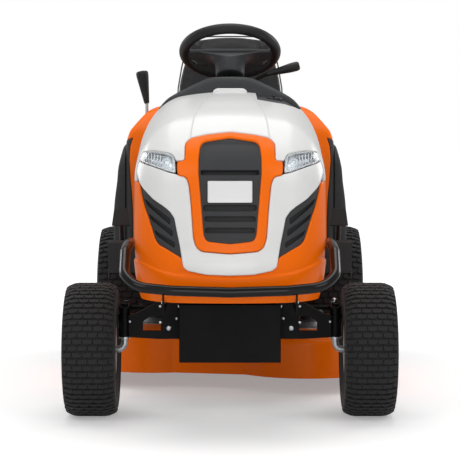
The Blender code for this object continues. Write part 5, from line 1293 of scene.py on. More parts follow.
        def inward(points: np.ndarray) -> np.ndarray:
            """How far points of the crown are inside the creases."""
            edge = np.interp(points[:, 1] - AXLE_Y, lengths, widths) - np.abs(points[:, 0])
            return np.where(points[:, 2] > 0.775, edge, -0.1)

        for level in (0.0, 0.002, 0.005, 0.007):
            form.contour(inward, level)
        form.raised(lambda points: 0.0034 * step(inward(points), 0.0, 0.007))

    def build_crown(self) -> None:
        """The white crown with its raised middle and the lip at the driver's end."""
        form = self.shape.body(0.0, self.cell)
        form.keep_side((0, 0, self.skirt - 0.01), UP)
        self.raise_bulge(form)
        split = behind(self.lamp_rear) + self.shut
        lamp_top = [(x, z + self.shut) for x, z in self.lamp_line[:5]]
        below = softened(mirrored([(0.40, 0.60), (0.40, 0.7455), *lamp_top, (0.1455, 0.7315)]),
                         0.004)
        trim = self.trim(-self.shut)
        corner = softened(FILLER_CORNER, 0.014, 6)

        def field(points: np.ndarray) -> np.ndarray:
            """How far points are inside the white crown.

            Args:
                points: rows of points.

            Returns:
                The distance of each point, negative outside.
            """
            x, y, z = points.T
            flank = np.minimum(y - split, z - self.skirt - self.shut)
            above = np.minimum(outline_distance(x, z, below), outline_distance(x, z, trim))
            filler = np.maximum(outline_distance(x, y, corner), 0.84 - z)
            return np.minimum(np.maximum(flank, above), np.minimum(filler, behind(0.450) - y))

        form.trimmed(field, 0.0022, 0.006)
        finished(form, "hood_crown", WHITE_ENAMEL, self.body, ["hood_top"], "white_paint", PANEL)
        lip = Form().slab(softened([(-0.053, 0.9135), (0.053, 0.9135), (0.051, 0.924),
                                    (0.040, 0.9305), (-0.040, 0.9305), (-0.051, 0.924)], 0.006),
                          Plane.FRONT, behind(0.418), behind(0.450), 0.0025, 3)
        finished(lip, "hood_rear_lip", WHITE_ENAMEL, self.body, slot="white_paint")

    def chin(self, points: np.ndarray) -> np.ndarray:
        """How far the chin stands out below its crease."""
        fade = 1 - step(points[:, 1] - AXLE_Y, -0.19, -0.13)
        return 0.0050 * step(self.below_crease(points), 0.0, 0.006) * fade

    def build_nose(self) -> None:
        """The orange nose with its flanks, wheel cut-outs and slanted louvres, and black sheets of
        painted shade behind the louvres and the grille.
        """
        form = self.shape.body(0.0, self.cell)
        form.keep_side((0, 0, self.skirt + 0.01), (0, 0, -1))

        def crease(points: np.ndarray) -> np.ndarray:
            """How far points at the front lie below the crease."""
            return np.where(points[:, 1] < behind(-0.10), self.below_crease(points), -0.1)

        for level in (0.0, 0.003, 0.006):
            form.contour(crease, level)
        form.raised(self.chin)
        split = behind(self.lamp_rear)
        mask = softened(mirrored([(0.330, 0.700), (0.330, 0.6735), (0.248, 0.6735),
                                  *self.side_grille[1:8], (0.124, 0.451), (0.112, 0.441),
                                  (0.062, 0.431), (0.0, 0.429)]), 0.006)
        arch = softened(rectangle((behind(-0.170), 0.20), (behind(0.70), 0.430)), 0.045, 8)
        slots = []
        for i in range(self.louvres):
            start = 0.02 + self.louvre_pitch * i
            slot = [(start, 0.500), (start + 0.024, 0.500), (start + 0.058, 0.610),
                    (start + 0.034, 0.610)]
            slots.append(softened([(behind(d), z) for d, z in slot], 0.006))

        def field(points: np.ndarray) -> np.ndarray:
            """How far points are inside the orange nose.

            Args:
                points: rows of points.

            Returns:
                The distance of each point, negative outside.
            """
            x, y, z = points.T
            inside = np.minimum(np.minimum(self.skirt - z, z - self.bottom), behind(0.450) - y)
            inside = np.minimum(inside, np.maximum(outline_distance(x, z, mask), y - split))
            for hole in (arch, *slots):
                inside = np.minimum(inside, outline_distance(y, z, hole))
            return inside

        form.trimmed(field, 0.0022, 0.008)
        finished(form, "hood_nose_panel", ORANGE_ENAMEL, self.body, ["hood_nose"], "orange_paint",
                 PANEL)
        # Painted shade: a black sheet 14 mm under the skin, seen through the louvres and side
        # grilles, stands in for the shade inside the hood.
        lining = self.shape.body(0.014, 0.02)
        lining.keep_side((0, 0, 0.46), UP)
        lining.keep_side((0, 0, 0.66), (0, 0, -1))
        lining.keep_side((0, behind(0.40), 0), FORWARD)
        finished(lining, "hood_painted_shade_lining", BLACK_PP, self.body, slot="black_plastic", shell=LINING)
        # Painted shade: a black sheet behind the centre grille's slots stands in for the shade
        # inside the hood.
        outline = softened(mirrored([(0.0, 0.80), (0.09, 0.79), (0.10, 0.64), (0.0, 0.64)]), 0.01)
        upper = self.panel(outline, [], 0.020, 0.002, 0.002, cell=0.012)
        finished(upper, "grille_painted_shade_lining", BLACK_PP, self.body, slot="black_plastic",
                 shell=LINING)

    def build_front(self) -> None:
        """The white wing, the orange trim, and the dark grilles with their slots."""
        def proud(points: np.ndarray) -> np.ndarray:
            """How far the lower lip of the wing stands out."""
            lip = step(0.500 - points[:, 2], 0.0, 0.055)
            return 0.0070 * lip * (1 - step(np.abs(points[:, 0]), 0.13, 0.19))

        wing = self.panel(self.wing_outline(), [self.trim(-self.shut)], 0.0, 0.0035, 0.009, proud)
        finished(wing, "hood_wing", WHITE_ENAMEL, self.body, ["grille_wing"], "white_paint", PANEL)
        inner = softened(mirrored(self.trim_inner), 0.008)
        trim = self.panel(self.trim(), [inner], -0.0030, 0.0032, 0.010)
        finished(trim, "grille_trim", ORANGE_ENAMEL, self.body, ["grille_surround"], "orange_paint",
                 PANEL)
        slots = [softened(rectangle((-w, low), (w, high)), 0.005)
                 for low, high, w in self.centre_slots]
        grille = self.panel(inset(inner, -0.006), slots, 0.0040, 0.0026, 0.010, self.bars, 0.003)
        finished(grille, "grille_centre", CHARCOAL_PP, self.body, ["centre_grille"], "dark_plastic",
                 THIN_MOULDING)
        plate = self.panel(softened(rectangle((-0.059, 0.621), (0.059, 0.678)), 0.003), [],
                           -0.0005, 0.0009, 0.003)
        finished(plate, "badge_plate", PLATE_ALLOY, self.body, slot="dark_plastic",
                 shell=THIN_MOULDING)
        for side, name in SIDES:
            slots = [softened(slot, 0.004) for slot in self.side_slots]
            outline = inset(softened(self.side_grille, 0.004), -0.005)
            form = self.panel(outline, slots, 0.0055, 0.0024, 0.012)
            if side < 0:
                form.flipped()
            finished(form, f"grille_side_{name}", CHARCOAL_PP, self.body, [f"side_grille_{name}"],
                     "dark_plastic", THIN_MOULDING)

    def bars(self, points: np.ndarray) -> np.ndarray:
        """Relief of the centre grille: a soft frame round the field with the slots.

        Args:
            points: rows of points.

        Returns:
            How far each point stands out.
        """
        half = np.interp(points[:, 2], [0.512, 0.534, 0.594, 0.698, 0.738, 0.771, 0.793],
                         [0.056, 0.068, 0.073, 0.081, 0.081, 0.077, 0.060])
        field = step(half - 0.003 - np.abs(points[:, 0]), 0.0, 0.004)
        ends = step(points[:, 2], 0.520, 0.526) * (1 - step(points[:, 2], 0.775, 0.783))
        return -0.0030 * field * ends

    def build_lamps(self) -> None:
        """Two headlamps: reflector bowl, pearl bezel, bulb and clear lens."""
        for side, name in SIDES:
            outline = self.lamp(self.shut)
            middle, deep = inset(outline, 0.0035), inset(outline, 0.0090)
            bezel = self.strip(outline, 0.0035, middle, 0.0045)
            bezel.add(self.strip(middle, 0.0045, inset(outline, 0.0045), 0.012))
            bowl = self.strip(inset(outline, 0.0045), 0.012, deep, 0.026)
            back = self.panel(deep, [], 0.026, 0.0020, 0.002, cell=0.006)
            bowl.add(back)
            x, y, z = self.on_skin(0.170, 0.7245, 0.026)
            ring = Form().lathe([(0.0, 0.0), (0.013, 0.0), (0.0135, 0.004), (0.0115, 0.0075),
                                 (0.0, 0.0075)],
                                (x, y + 0.004, z), (0.15, -1, 0.1), 28)
            bulb = Form().lathe([(0.0, 0.0), (0.0050, 0.0), (0.0052, 0.012), (0.0042, 0.0165),
                                 (0.002, 0.0190), (0.0, 0.0195)], (x, y - 0.003, z),
                                (0.15, -1, 0.1), 20)
            ribs = Form()
            for k in range(7):
                bx, by, bz = self.on_skin(0.186 + 0.0085 * k, 0.732 + 0.0012 * k, 0.0225)
                ribs.block((bx - 0.0011, by - 0.002, bz - 0.012 + 0.0005 * k),
                           (bx + 0.0011, by + 0.006, bz + 0.012), 0.0008)
            lens = self.panel(outline, [], 0.0004, 0.0016, 0.002, cell=0.006)
            rows = [(bezel, "bezel", LAMP_HOUSING, [], ""),
                    (bowl, "reflector", LAMP_SILVER, [], ""),
                    (ring, "bulb_seat", LAMP_SILVER, [], ""),
                    (bulb, "bulb", ClearLens("bulb_glass_clear"), [], ""),
                    (ribs, "reflector_ribs", LAMP_SILVER, [], ""),
                    (lens, "lens", ClearLens(), [f"headlamp_{name}"], "clear_lens")]
            for form, part, finish, replaces, slot in rows:
                if side < 0:
                    form.flipped()
                wall = THIN_MOULDING if part in ("bezel", "reflector", "lens") else Shell()
                finished(form, f"headlamp_{name}_{part}", finish, self.body, replaces, slot, wall)


def from_node(node: str) -> Form:
    """The merged shape of a CAD node, with its flat faces whole again.

    Args:
        node: name of the CAD node.

    Returns:
        The closed form.
    """
    form = Form()
    form.mesh.from_mesh(frame["nodes"][node].data)
    form.cleaned(0.00002)
    bmesh.ops.dissolve_limit(form.mesh, angle_limit=math.radians(0.5), verts=form.mesh.verts,
                             edges=form.mesh.edges)
    return form.face_outward()


def refined(node: str, finish: Finish, edge: float = 0.0008) -> bpy.types.Object:
    """A CAD node's own shape with rounded edges.

    Args:
        node: CAD node that the piece stands for.
        finish: what it is made of.
        edge: rounding of its edges.

    Returns:
        The new object.
    """
    body = frame["nodes"][node]["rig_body"]
    return finished(from_node(node), f"{node}_shape", finish, body, [node],
                    shell=Shell(edge=edge))


def bolt(form: Form, place: Sequence[float], way: Sequence[float], radius: float) -> Form:
    """Adds a hexagon head on its washer, proud of a face along a direction.

    Args:
        form: form that gets it.
        place: where it meets the face.
        way: direction that the head points to.
        radius: radius over the head's corners.

    Returns:
        The form that was given.
    """
    start, out = Vector(place), Vector(way).normalized()
    form.bar(start - out * 0.0005, start + out * 0.0012, radius * 1.25, 20, edge=0.0003)
    form.bar(start + out * 0.0008, start + out * radius * 0.75, radius, 6, edge=0.0004)
    return form


def ribbed(form: Form, low: Point, high: Point, centre: Point, count: int) -> None:
    """Adds ribs round an upright axis.

    Args:
        form: form that gets them.
        low: lowest corner of the first rib, from the axis.
        high: its highest corner.
        centre: where height 0 of the axis lies.
        count: how many ribs there are.
    """
    for k in range(count):
        rib = Form().block(low, high, 0.0005, 1)
        turn = Matrix.Rotation(math.radians(360 / count * k), 4, "Z")
        rib.put(Matrix.Translation(centre) @ turn)
        form.add(rib)


@dataclass
class Bumper:
    """The tubular bumper: a front bar that rises into two horns."""

    radius: float = 0.0138
    turn: float = 0.075
    half: tuple = ((0.0, -0.360, 0.3875), (0.150, -0.359, 0.392), (0.245, -0.348, 0.400),
                   (0.281, -0.305, 0.428), (0.283, -0.210, 0.484), (0.279, -0.150, 0.496),
                   (0.277, -0.072, 0.497))

    def build(self) -> None:
        """Builds the tube and the plugs in its ends."""
        left = [(x, behind(d), z) for x, d, z in self.half]
        right = [(-x, y, z) for x, y, z in left[:0:-1]]
        form = Form().pipe(bend(right + left, self.turn, 14), self.radius, 24)
        finished(form, "bumper_tube", TUBE_ENAMEL, "chassis", ["bumper_bar"], shell=Shell(sharp=50))
        plugs = Form()
        for side in (1, -1):
            x, d, z = self.half[-1]
            plugs.bar((side * x, behind(d - 0.004), z), (side * x, behind(d + 0.0015), z), 0.0132,
                      24, edge=0.001)
        finished(plugs, "bumper_end_plugs", BLACK_PP, "chassis")


@dataclass
class Wheel:
    """One tyre with staggered chevron lugs on its dished rim."""

    name: str
    body: str
    centre: Point
    side: int
    radius: float
    width: float
    rim: float
    half_rim: float
    tread: float
    pitch: float
    columns: int
    pairs: int
    lug: float = 0.0058
    bolts: int = 0

    def build(self) -> None:
        """Builds the tyre, its lugs, the rim and its fittings."""
        self.build_tyre()
        self.build_lugs()
        self.build_rim()

    def crown(self, across: float) -> float:
        """Radius of the tread at a distance from its middle.

        Args:
            across: how far from the middle.

        Returns:
            The radius, falling off beyond the flat part.
        """
        flat = 0.52 * self.tread
        beyond = max(0.0, (abs(across) - flat) / (self.tread - flat))
        return self.radius - 0.0004 - 0.0115 * beyond ** 2

    def build_tyre(self) -> None:
        """The carcass: bead, bulging wall with two ribs, shoulder and tread base."""
        half, rim, wide = self.width / 2, self.rim, self.half_rim
        reach = self.radius - rim
        outer = [(rim + 0.0005, wide - 0.006), (rim + 0.0045, wide + 0.0025),
                 (rim + 0.010, wide + 0.0040), (rim + 0.22 * reach, wide + 0.45 * (half - wide)),
                 (rim + 0.42 * reach, half - 0.003), (rim + 0.46 * reach, half - 0.0005),
                 (rim + 0.50 * reach, half - 0.0005), (rim + 0.54 * reach, half - 0.003),
                 (rim + 0.70 * reach, half - 0.0035),
                 (self.crown(self.tread) - self.lug - 0.006, self.tread + 0.0030)]
        tread = [(self.crown(u) - self.lug, u) for u in
                 (self.tread, 0.8 * self.tread, 0.6 * self.tread, 0.3 * self.tread, 0.0)]
        profile = outer + tread + [(r, -u) for r, u in reversed(outer + tread[:-1])]
        inner = [(rim + 0.0035, -wide + 0.014), (self.radius - 0.034, -half + 0.020),
                 (self.radius - 0.034, half - 0.020), (rim + 0.0035, wide - 0.014)]
        rounded = softened(profile + inner, 0.006, 3)
        form = Form().lathe(rounded, self.centre, (self.side, 0, 0), 96)
        finished(form, f"{self.name}_tyre_carcass", TYRE_RUBBER, self.body,
                 [self.name.replace("_wheel", "_tyre")], shell=ROUND)

    def lug_outline(self, left: float, right: float) -> list[Flat]:
        """A flattened chevron between two shares of its half width.

        Args:
            left: share where it begins, -1 to 1.
            right: share where it ends.

        Returns:
            The outline as (across, along).
        """
        half = self.pitch * 0.460
        rise = 0.0066
        points = []
        for share in (left, 0.52 * left, 0.52 * right, right):
            points.append((share * half, rise * max(0.0, abs(share) - 0.30)))
        unique = sorted(dict.fromkeys(points))
        length = 2 * math.pi * self.radius / (2 * self.pairs) * 0.66
        return unique + [(u, v + length) for u, v in reversed(unique)]

    def build_lugs(self) -> None:
        """Two staggered rows of lugs, bent over the crown and repeated round the tyre."""
        rows = []
        start = -(self.columns - 1) / 2
        for k in range(self.columns):
            rows.append(((start + k) * self.pitch, 0, self.lug_outline(-1.0, 1.0)))
        for k in range(self.columns - 1):
            rows.append(((start + k + 0.5) * self.pitch, 1, self.lug_outline(-1.0, 1.0)))
        edge = self.columns / 2 * self.pitch
        rows.append((edge, 1, self.lug_outline(-1.0, 0.0)))
        rows.append((-edge, 1, self.lug_outline(0.0, 1.0)))
        form = Form()
        pitch_angle = math.pi / self.pairs
        for across, row, outline in rows:
            block = Form().slab(outline, Plane.PLAN, 0.0, 1.0)
            top = [e for e in block.mesh.edges if all(v.co.z > 0.5 for v in e.verts)]
            block.bevelled(top, 0.0011, 1)
            base = [f for f in block.mesh.faces if all(v.co.z < 0.01 for v in f.verts)]
            bmesh.ops.delete(block.mesh, geom=base, context="FACES")
            for vert in block.mesh.verts:
                u, v, h = vert.co
                u += across
                reach = self.crown(u)
                deep = reach - self.lug - 0.0012
                level = deep if h < 0.5 else reach - min(1.0 - h, 0.4)
                turn = v / self.radius + row * pitch_angle
                vert.co = (u, level * math.sin(turn), level * math.cos(turn))
            block.face_outward()
            form.add(block)
        bmesh.ops.spin(form.mesh, geom=form.everything(),
                       cent=(0, 0, 0), axis=(1, 0, 0),
                       angle=2 * math.pi * (self.pairs - 1) / self.pairs, steps=self.pairs - 1,
                       use_duplicate=True)
        form.put(Matrix.Translation(self.centre) @ Matrix.Diagonal((self.side, 1, 1, 1)))
        bmesh.ops.recalc_face_normals(form.mesh, faces=form.mesh.faces)
        finished(form, f"{self.name}_tyre_lugs", TYRE_RUBBER, self.body, shell=Shell(sharp=30))

    def build_rim(self) -> None:
        """The pressed rim with its dish, hub, cap, valve and bolts."""
        rim, wide = self.rim - 0.0003, self.half_rim
        profile = [(rim + 0.0118, wide + 0.0070), (rim + 0.0095, wide + 0.0080),
                   (rim + 0.0010, wide + 0.0030), (rim - 0.0005, wide - 0.0050),
                   (rim - 0.010, wide - 0.014), (rim - 0.012, wide - 0.024), (rim - 0.012, 0.018),
                   (rim - 0.018, 0.0135), (rim * 0.62, 0.0095), (rim * 0.50, 0.0135),
                   (0.030, 0.0130), (0.024, 0.0160), (0.022, 0.0420), (0.0205, 0.0448),
                   (0.0112, 0.0448), (0.0112, -0.0300), (0.022, -0.0298), (0.0225, -0.002),
                   (0.030, 0.0060), (rim * 0.50, 0.0070), (rim * 0.62, 0.0030),
                   (rim - 0.020, 0.0065), (rim - 0.0150, 0.010), (rim - 0.0150, -wide + 0.024),
                   (rim - 0.012, -wide + 0.016), (rim - 0.0030, -wide + 0.005),
                   (rim - 0.0015, -wide - 0.0020), (rim + 0.0095, -wide - 0.0078),
                   (rim + 0.0118, -wide - 0.0065), (rim + 0.0015, -wide), (rim, -wide + 0.008),
                   (rim - 0.0095, -wide + 0.018), (rim - 0.0095, wide - 0.026),
                   (rim - 0.0072, wide - 0.014), (rim + 0.0005, wide - 0.0055),
                   (rim + 0.0015, wide + 0.0010)]
        form = Form().lathe(softened(profile, 0.0022, 2), self.centre, (self.side, 0, 0), 72)
        x, y, z = self.centre
        node = self.name.replace("_wheel", "_rim")
        cap = Form().lathe([(0.0, 0.0672), (0.010, 0.0668), (0.0165, 0.0645), (0.0190, 0.0590),
                            (0.0195, 0.0451), (0.0165, 0.0451), (0.0160, 0.0630), (0.0, 0.0640)],
                           self.centre, (self.side, 0, 0), 40)
        finished(form, f"{self.name}_rim_pressing", WHEEL_ENAMEL, self.body, [node], shell=TURNED)
        finished(cap, f"{self.name}_hub_cap", BLACK_PP, self.body)
        valve = Form()
        spot = Vector((x + self.side * 0.014, y, z + rim * 0.80))
        valve.bar(spot, spot + Vector((self.side * 0.020, 0, 0.006)), 0.0032, 16, 0.0030, 0.0006)
        finished(valve, f"{self.name}_valve", BLACK_PP, self.body)
        if self.bolts:
            heads = Form()
            for k in range(self.bolts):
                turn = 2 * math.pi * (k + 0.5) / self.bolts
                spot = (x + self.side * 0.0135, y + 0.040 * math.sin(turn),
                        z + 0.040 * math.cos(turn))
                bolt(heads, spot, (self.side, 0, 0), 0.0065)
            finished(heads, f"{self.name}_bolts", ZINC_PLATE, self.body)
            axle = Form().bar((x + self.side * -0.230, y, z), (x + self.side * 0.040, y, z), 0.0123,
                              32, edge=0.001)
            finished(axle, f"{self.name}_axle_shaft", ZINC_PLATE, self.body)


@dataclass
class SteeringWheel:
    """The steering wheel: padded rim, fan-shaped web with two slots, hub funnel and centre cap."""

    hub: Point = STEERING_HUB
    tilt_deg: float = COLUMN_TILT_DEG
    radius: float = 0.160
    grip: float = 0.0163

    def frame_matrix(self) -> Matrix:
        """Local axes: X across, Y towards the raised front edge, Z along the column.

        Returns:
            The matrix from those axes to the world.
        """
        tilt = math.radians(self.tilt_deg)
        rise, lean = math.cos(tilt), math.sin(tilt)
        turn = Matrix(((-1, 0, 0, 0), (0, -rise, lean, 0), (0, lean, rise, 0), (0, 0, 0, 1)))
        return Matrix.Translation(self.hub) @ turn

    def build(self) -> None:
        """Builds the wheel on its column."""
        place = self.frame_matrix()
        major = self.radius - self.grip
        ring = [(major * math.cos(a), major * math.sin(a), 0.004)
                for a in (2 * math.pi * i / 96 for i in range(96))]
        rim = Form().pipe(ring, self.grip, 28, True)
        rim.put(place)
        finished(rim, "steering_rim_grip", GRIP_PU, "steering", ["steering_wheel"], shell=ROUND)
        half = [(0.0, 0.019), (0.060, 0.019), (0.134, 0.013), (0.1355, -0.030), (0.119, -0.037),
                (0.102, -0.050), (0.101, -0.062), (0.113, -0.066), (0.121, -0.062),
                (0.110, -0.0835), (0.092, -0.1025), (0.066, -0.1210), (0.034, -0.1335)]
        edge = softened(half + [(-x, y) for x, y in half[:0:-1]], 0.007, 5)
        plate = Form().slab(edge, Plane.PLAN, -0.0060, 0.0060, 0.0030, 3)
        funnel = softened([(0.0, -0.0845), (0.038, -0.0845), (0.0440, -0.0820), (0.0455, -0.0600),
                           (0.0480, -0.0360), (0.0570, -0.0190), (0.0760, -0.0090),
                           (0.0980, -0.0055), (0.0980, 0.0030), (0.0, 0.0030)], 0.008, 4)
        bulge = Form().lathe(funnel, (0, 0, 0), UP, 72)
        for vert in bulge.mesh.verts:
            limit = 0.0165 + 0.0315 * float(step(np.array(-vert.co.z), 0.005, 0.040))
            vert.co.y = min(vert.co.y, limit)
        plate.add(bulge.cleaned(0.0001).face_outward())
        plate.put(place)
        finished(plate, "steering_spokes", CHARCOAL_PP, "steering", shell=TURNED)
        cap = Form().lathe([(0.0, 0.0150), (0.030, 0.0140), (0.043, 0.0105), (0.0465, 0.0050),
                            (0.0, 0.0050)],
                           (0, -0.038, 0), UP, 64)
        cap.lathe([(0.0478, 0.0048), (0.0495, 0.0066), (0.0512, 0.0066), (0.0520, 0.0048)],
                  (0, -0.038, 0), UP, 64)
        cap.put(place)
        finished(cap, "steering_cap", CHARCOAL_PP, "steering", shell=TURNED)


@dataclass
class Cushion:
    """One padded seat part: a foam block whose cover is blown out by a cloth simulation."""

    name: str
    node: str
    centre: Point
    size: Point
    lean: float
    dome: float
    taper: float = 0.0
    fill: float = 0.6
    voxel: float = 0.006
    pressure: float = 4.0
    frames: int = 20
    travel: float = 0.0062
    channel: float = 0.0042

    def place(self) -> Matrix:
        """Where the cushion sits and how it leans."""
        return Matrix.Translation(self.centre) @ Matrix.Rotation(self.lean, 4, "X")

    def narrowed(self, y: float) -> float:
        """Share of its width that the pad has at a height from -1 to 1."""
        return 1.0 - self.taper * float(step(np.array(y), -0.2, 1.1))

    def block(self) -> bpy.types.Object:
        """The foam block before it swells, at rest in its own axes.

        Returns:
            The new object.
        """
        form = Form()
        bmesh.ops.create_cube(form.mesh, size=1.0)
        for axis, cuts in enumerate((15, 11, 3)):
            form.split_along(axis, cuts)
        width, depth, thick = (s - 0.012 for s in self.size)
        for vert in form.mesh.verts:
            x, y, z = vert.co * 2
            corner = 1.0 - 0.085 * (x * x) * (y * y)
            narrow = self.narrowed(y)
            y += 0.030 * max(y - 0.5, 0.0) * (1 - x * x) if self.taper else 0.0
            dome = self.dome if z > 0.4 else 0.0
            rise = dome * (1 - x * x) * (1 - 0.7 * y * y)
            bolster = 0.5 * dome * float(step(np.array(abs(x)), 0.55, 0.80))
            vert.co = (x * width / 2 * corner * narrow, y * depth / 2 * corner,
                       z * thick / 2 + rise + bolster)
        return placed(form, self.name)

    def baked(self, pad: bpy.types.Object) -> bpy.types.Object:
        """Replaces an object's mesh by its evaluated one and clears its modifiers.

        Args:
            pad: object with modifiers.

        Returns:
            The same object.
        """
        graph = bpy.context.evaluated_depsgraph_get()
        mesh = bpy.data.meshes.new_from_object(pad.evaluated_get(graph))
        pad.modifiers.clear()
        old, pad.data = pad.data, mesh
        bpy.data.meshes.remove(old)
        return pad

    def swollen(self) -> bpy.types.Object:
        """The block remeshed and blown out as cloth, with its movement capped.

        Returns:
            The object, with its cover blown out.
        """
        pad = self.block()
        voxels = pad.modifiers.new("voxels", "REMESH")
        voxels.mode, voxels.voxel_size = "VOXEL", self.voxel
        self.baked(pad)
        rest = np.array([v.co for v in pad.data.vertices])
        held = pad.vertex_groups.new(name="held")
        low = float(rest[:, 2].min())
        held.add([i for i, co in enumerate(rest) if co[2] < low + 0.004], 1.0, "REPLACE")
        cloth = pad.modifiers.new("cover", "CLOTH")
        cloth.settings.use_pressure = True
        cloth.settings.uniform_pressure_force = self.pressure
        cloth.settings.effector_weights.gravity = 0.0
        cloth.settings.vertex_group_mass = "held"
        scene = bpy.context.scene
        for number in range(1, self.frames + 1):
            scene.frame_set(number)
        self.baked(pad)
        scene.frame_set(1)
        moved = np.array([v.co for v in pad.data.vertices]) - rest
        reach = np.linalg.norm(moved, axis=1)
        kept = np.minimum(self.travel * np.tanh(reach / self.travel), reach)
        share = np.where(reach > 1e-9, kept / np.maximum(reach, 1e-9), 0.0)
        for vert, start, way, part in zip(pad.data.vertices, rest, moved, share):
            vert.co = start + way * part
        return pad

    def sewn(self, points: np.ndarray) -> np.ndarray:
        """Depth of the sewn channels and the quilted panel's border, from rows of points.

        Args:
            points: rows of points in the pad's own axes.

        Returns:
            How deep each point sinks.
        """
        x = np.abs(points[:, 0]) / (self.size[0] / 2)
        y = np.abs(points[:, 1]) / (self.size[1] / 2)
        up = step(points[:, 2], 0.0, self.size[2] * 0.35)
        lines = np.exp(-((x - 0.54) * self.size[0] / 2 / self.channel) ** 2)
        ends = 1 - step(y, 0.78, 0.86)
        return self.channel * lines * ends * up

    def build(self) -> None:
        """Builds the cushion with its sewn channels and its piping."""
        pad = self.swollen()
        rows = np.array([v.co for v in pad.data.vertices])
        for vert, sink in zip(pad.data.vertices, self.sewn(rows)):
            vert.co.z -= float(sink)
        place = self.place()
        pad.data.transform(place)
        pad.data.shade_smooth()
        pad.data.materials.clear()
        pad.data.materials.append(SEAT_VINYL.material())
        smooth = pad.modifiers.new("soft", "SUBSURF")
        smooth.levels, smooth.render_levels = 1, 1
        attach(pad, "seat")
        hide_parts(self.node)
        LOG.info("%s: %d faces", self.name, len(pad.data.polygons))
        width, depth = self.size[0] / 2 - 0.0035, self.size[1] / 2 - 0.0035
        edge = []
        for a in range(0, 360, 4):
            c, s = math.cos(math.radians(a)), math.sin(math.radians(a))
            x, y = math.copysign(abs(c) ** 0.34, c), math.copysign(abs(s) ** 0.34, s)
            edge.append((x * width * self.narrowed(y), y * depth, self.size[2] * 0.20))
        piping = Form().pipe(edge, 0.0026, 10, True)
        piping.put(place)
        finished(piping, f"{self.name}_piping", PIPING_VINYL, "seat", shell=ROUND)


@dataclass
class Seat:
    """The seat: two padded parts on a moulded pan with its hinge."""

    front: float = AXLE_Y + 1.075
    lean_deg: float = 10.0

    def build(self) -> None:
        """Builds the seat."""
        lean = math.radians(self.lean_deg)
        Cushion("seat_squab", "seat_cushion", (0, self.front + 0.122, 0.7074),
                (0.420, 0.258, 0.066), 0.0, 0.012).build()
        rest_z, thick = 0.9380, 0.062
        panel_y = self.front + 0.272 + (rest_z - 0.690) * math.tan(lean)
        rest_y = panel_y - (thick / 2 + 0.0004) / math.cos(lean)
        Cushion("seat_back_pad", "seat_backrest", (0, rest_y, rest_z), (0.380, 0.384, thick),
                math.pi / 2 - lean, 0.014, 0.17).build()
        refined("seat_pan", BLACK_PP, 0.0012)
        refined("seat_hinge", BLACK_COAT, 0.0006)


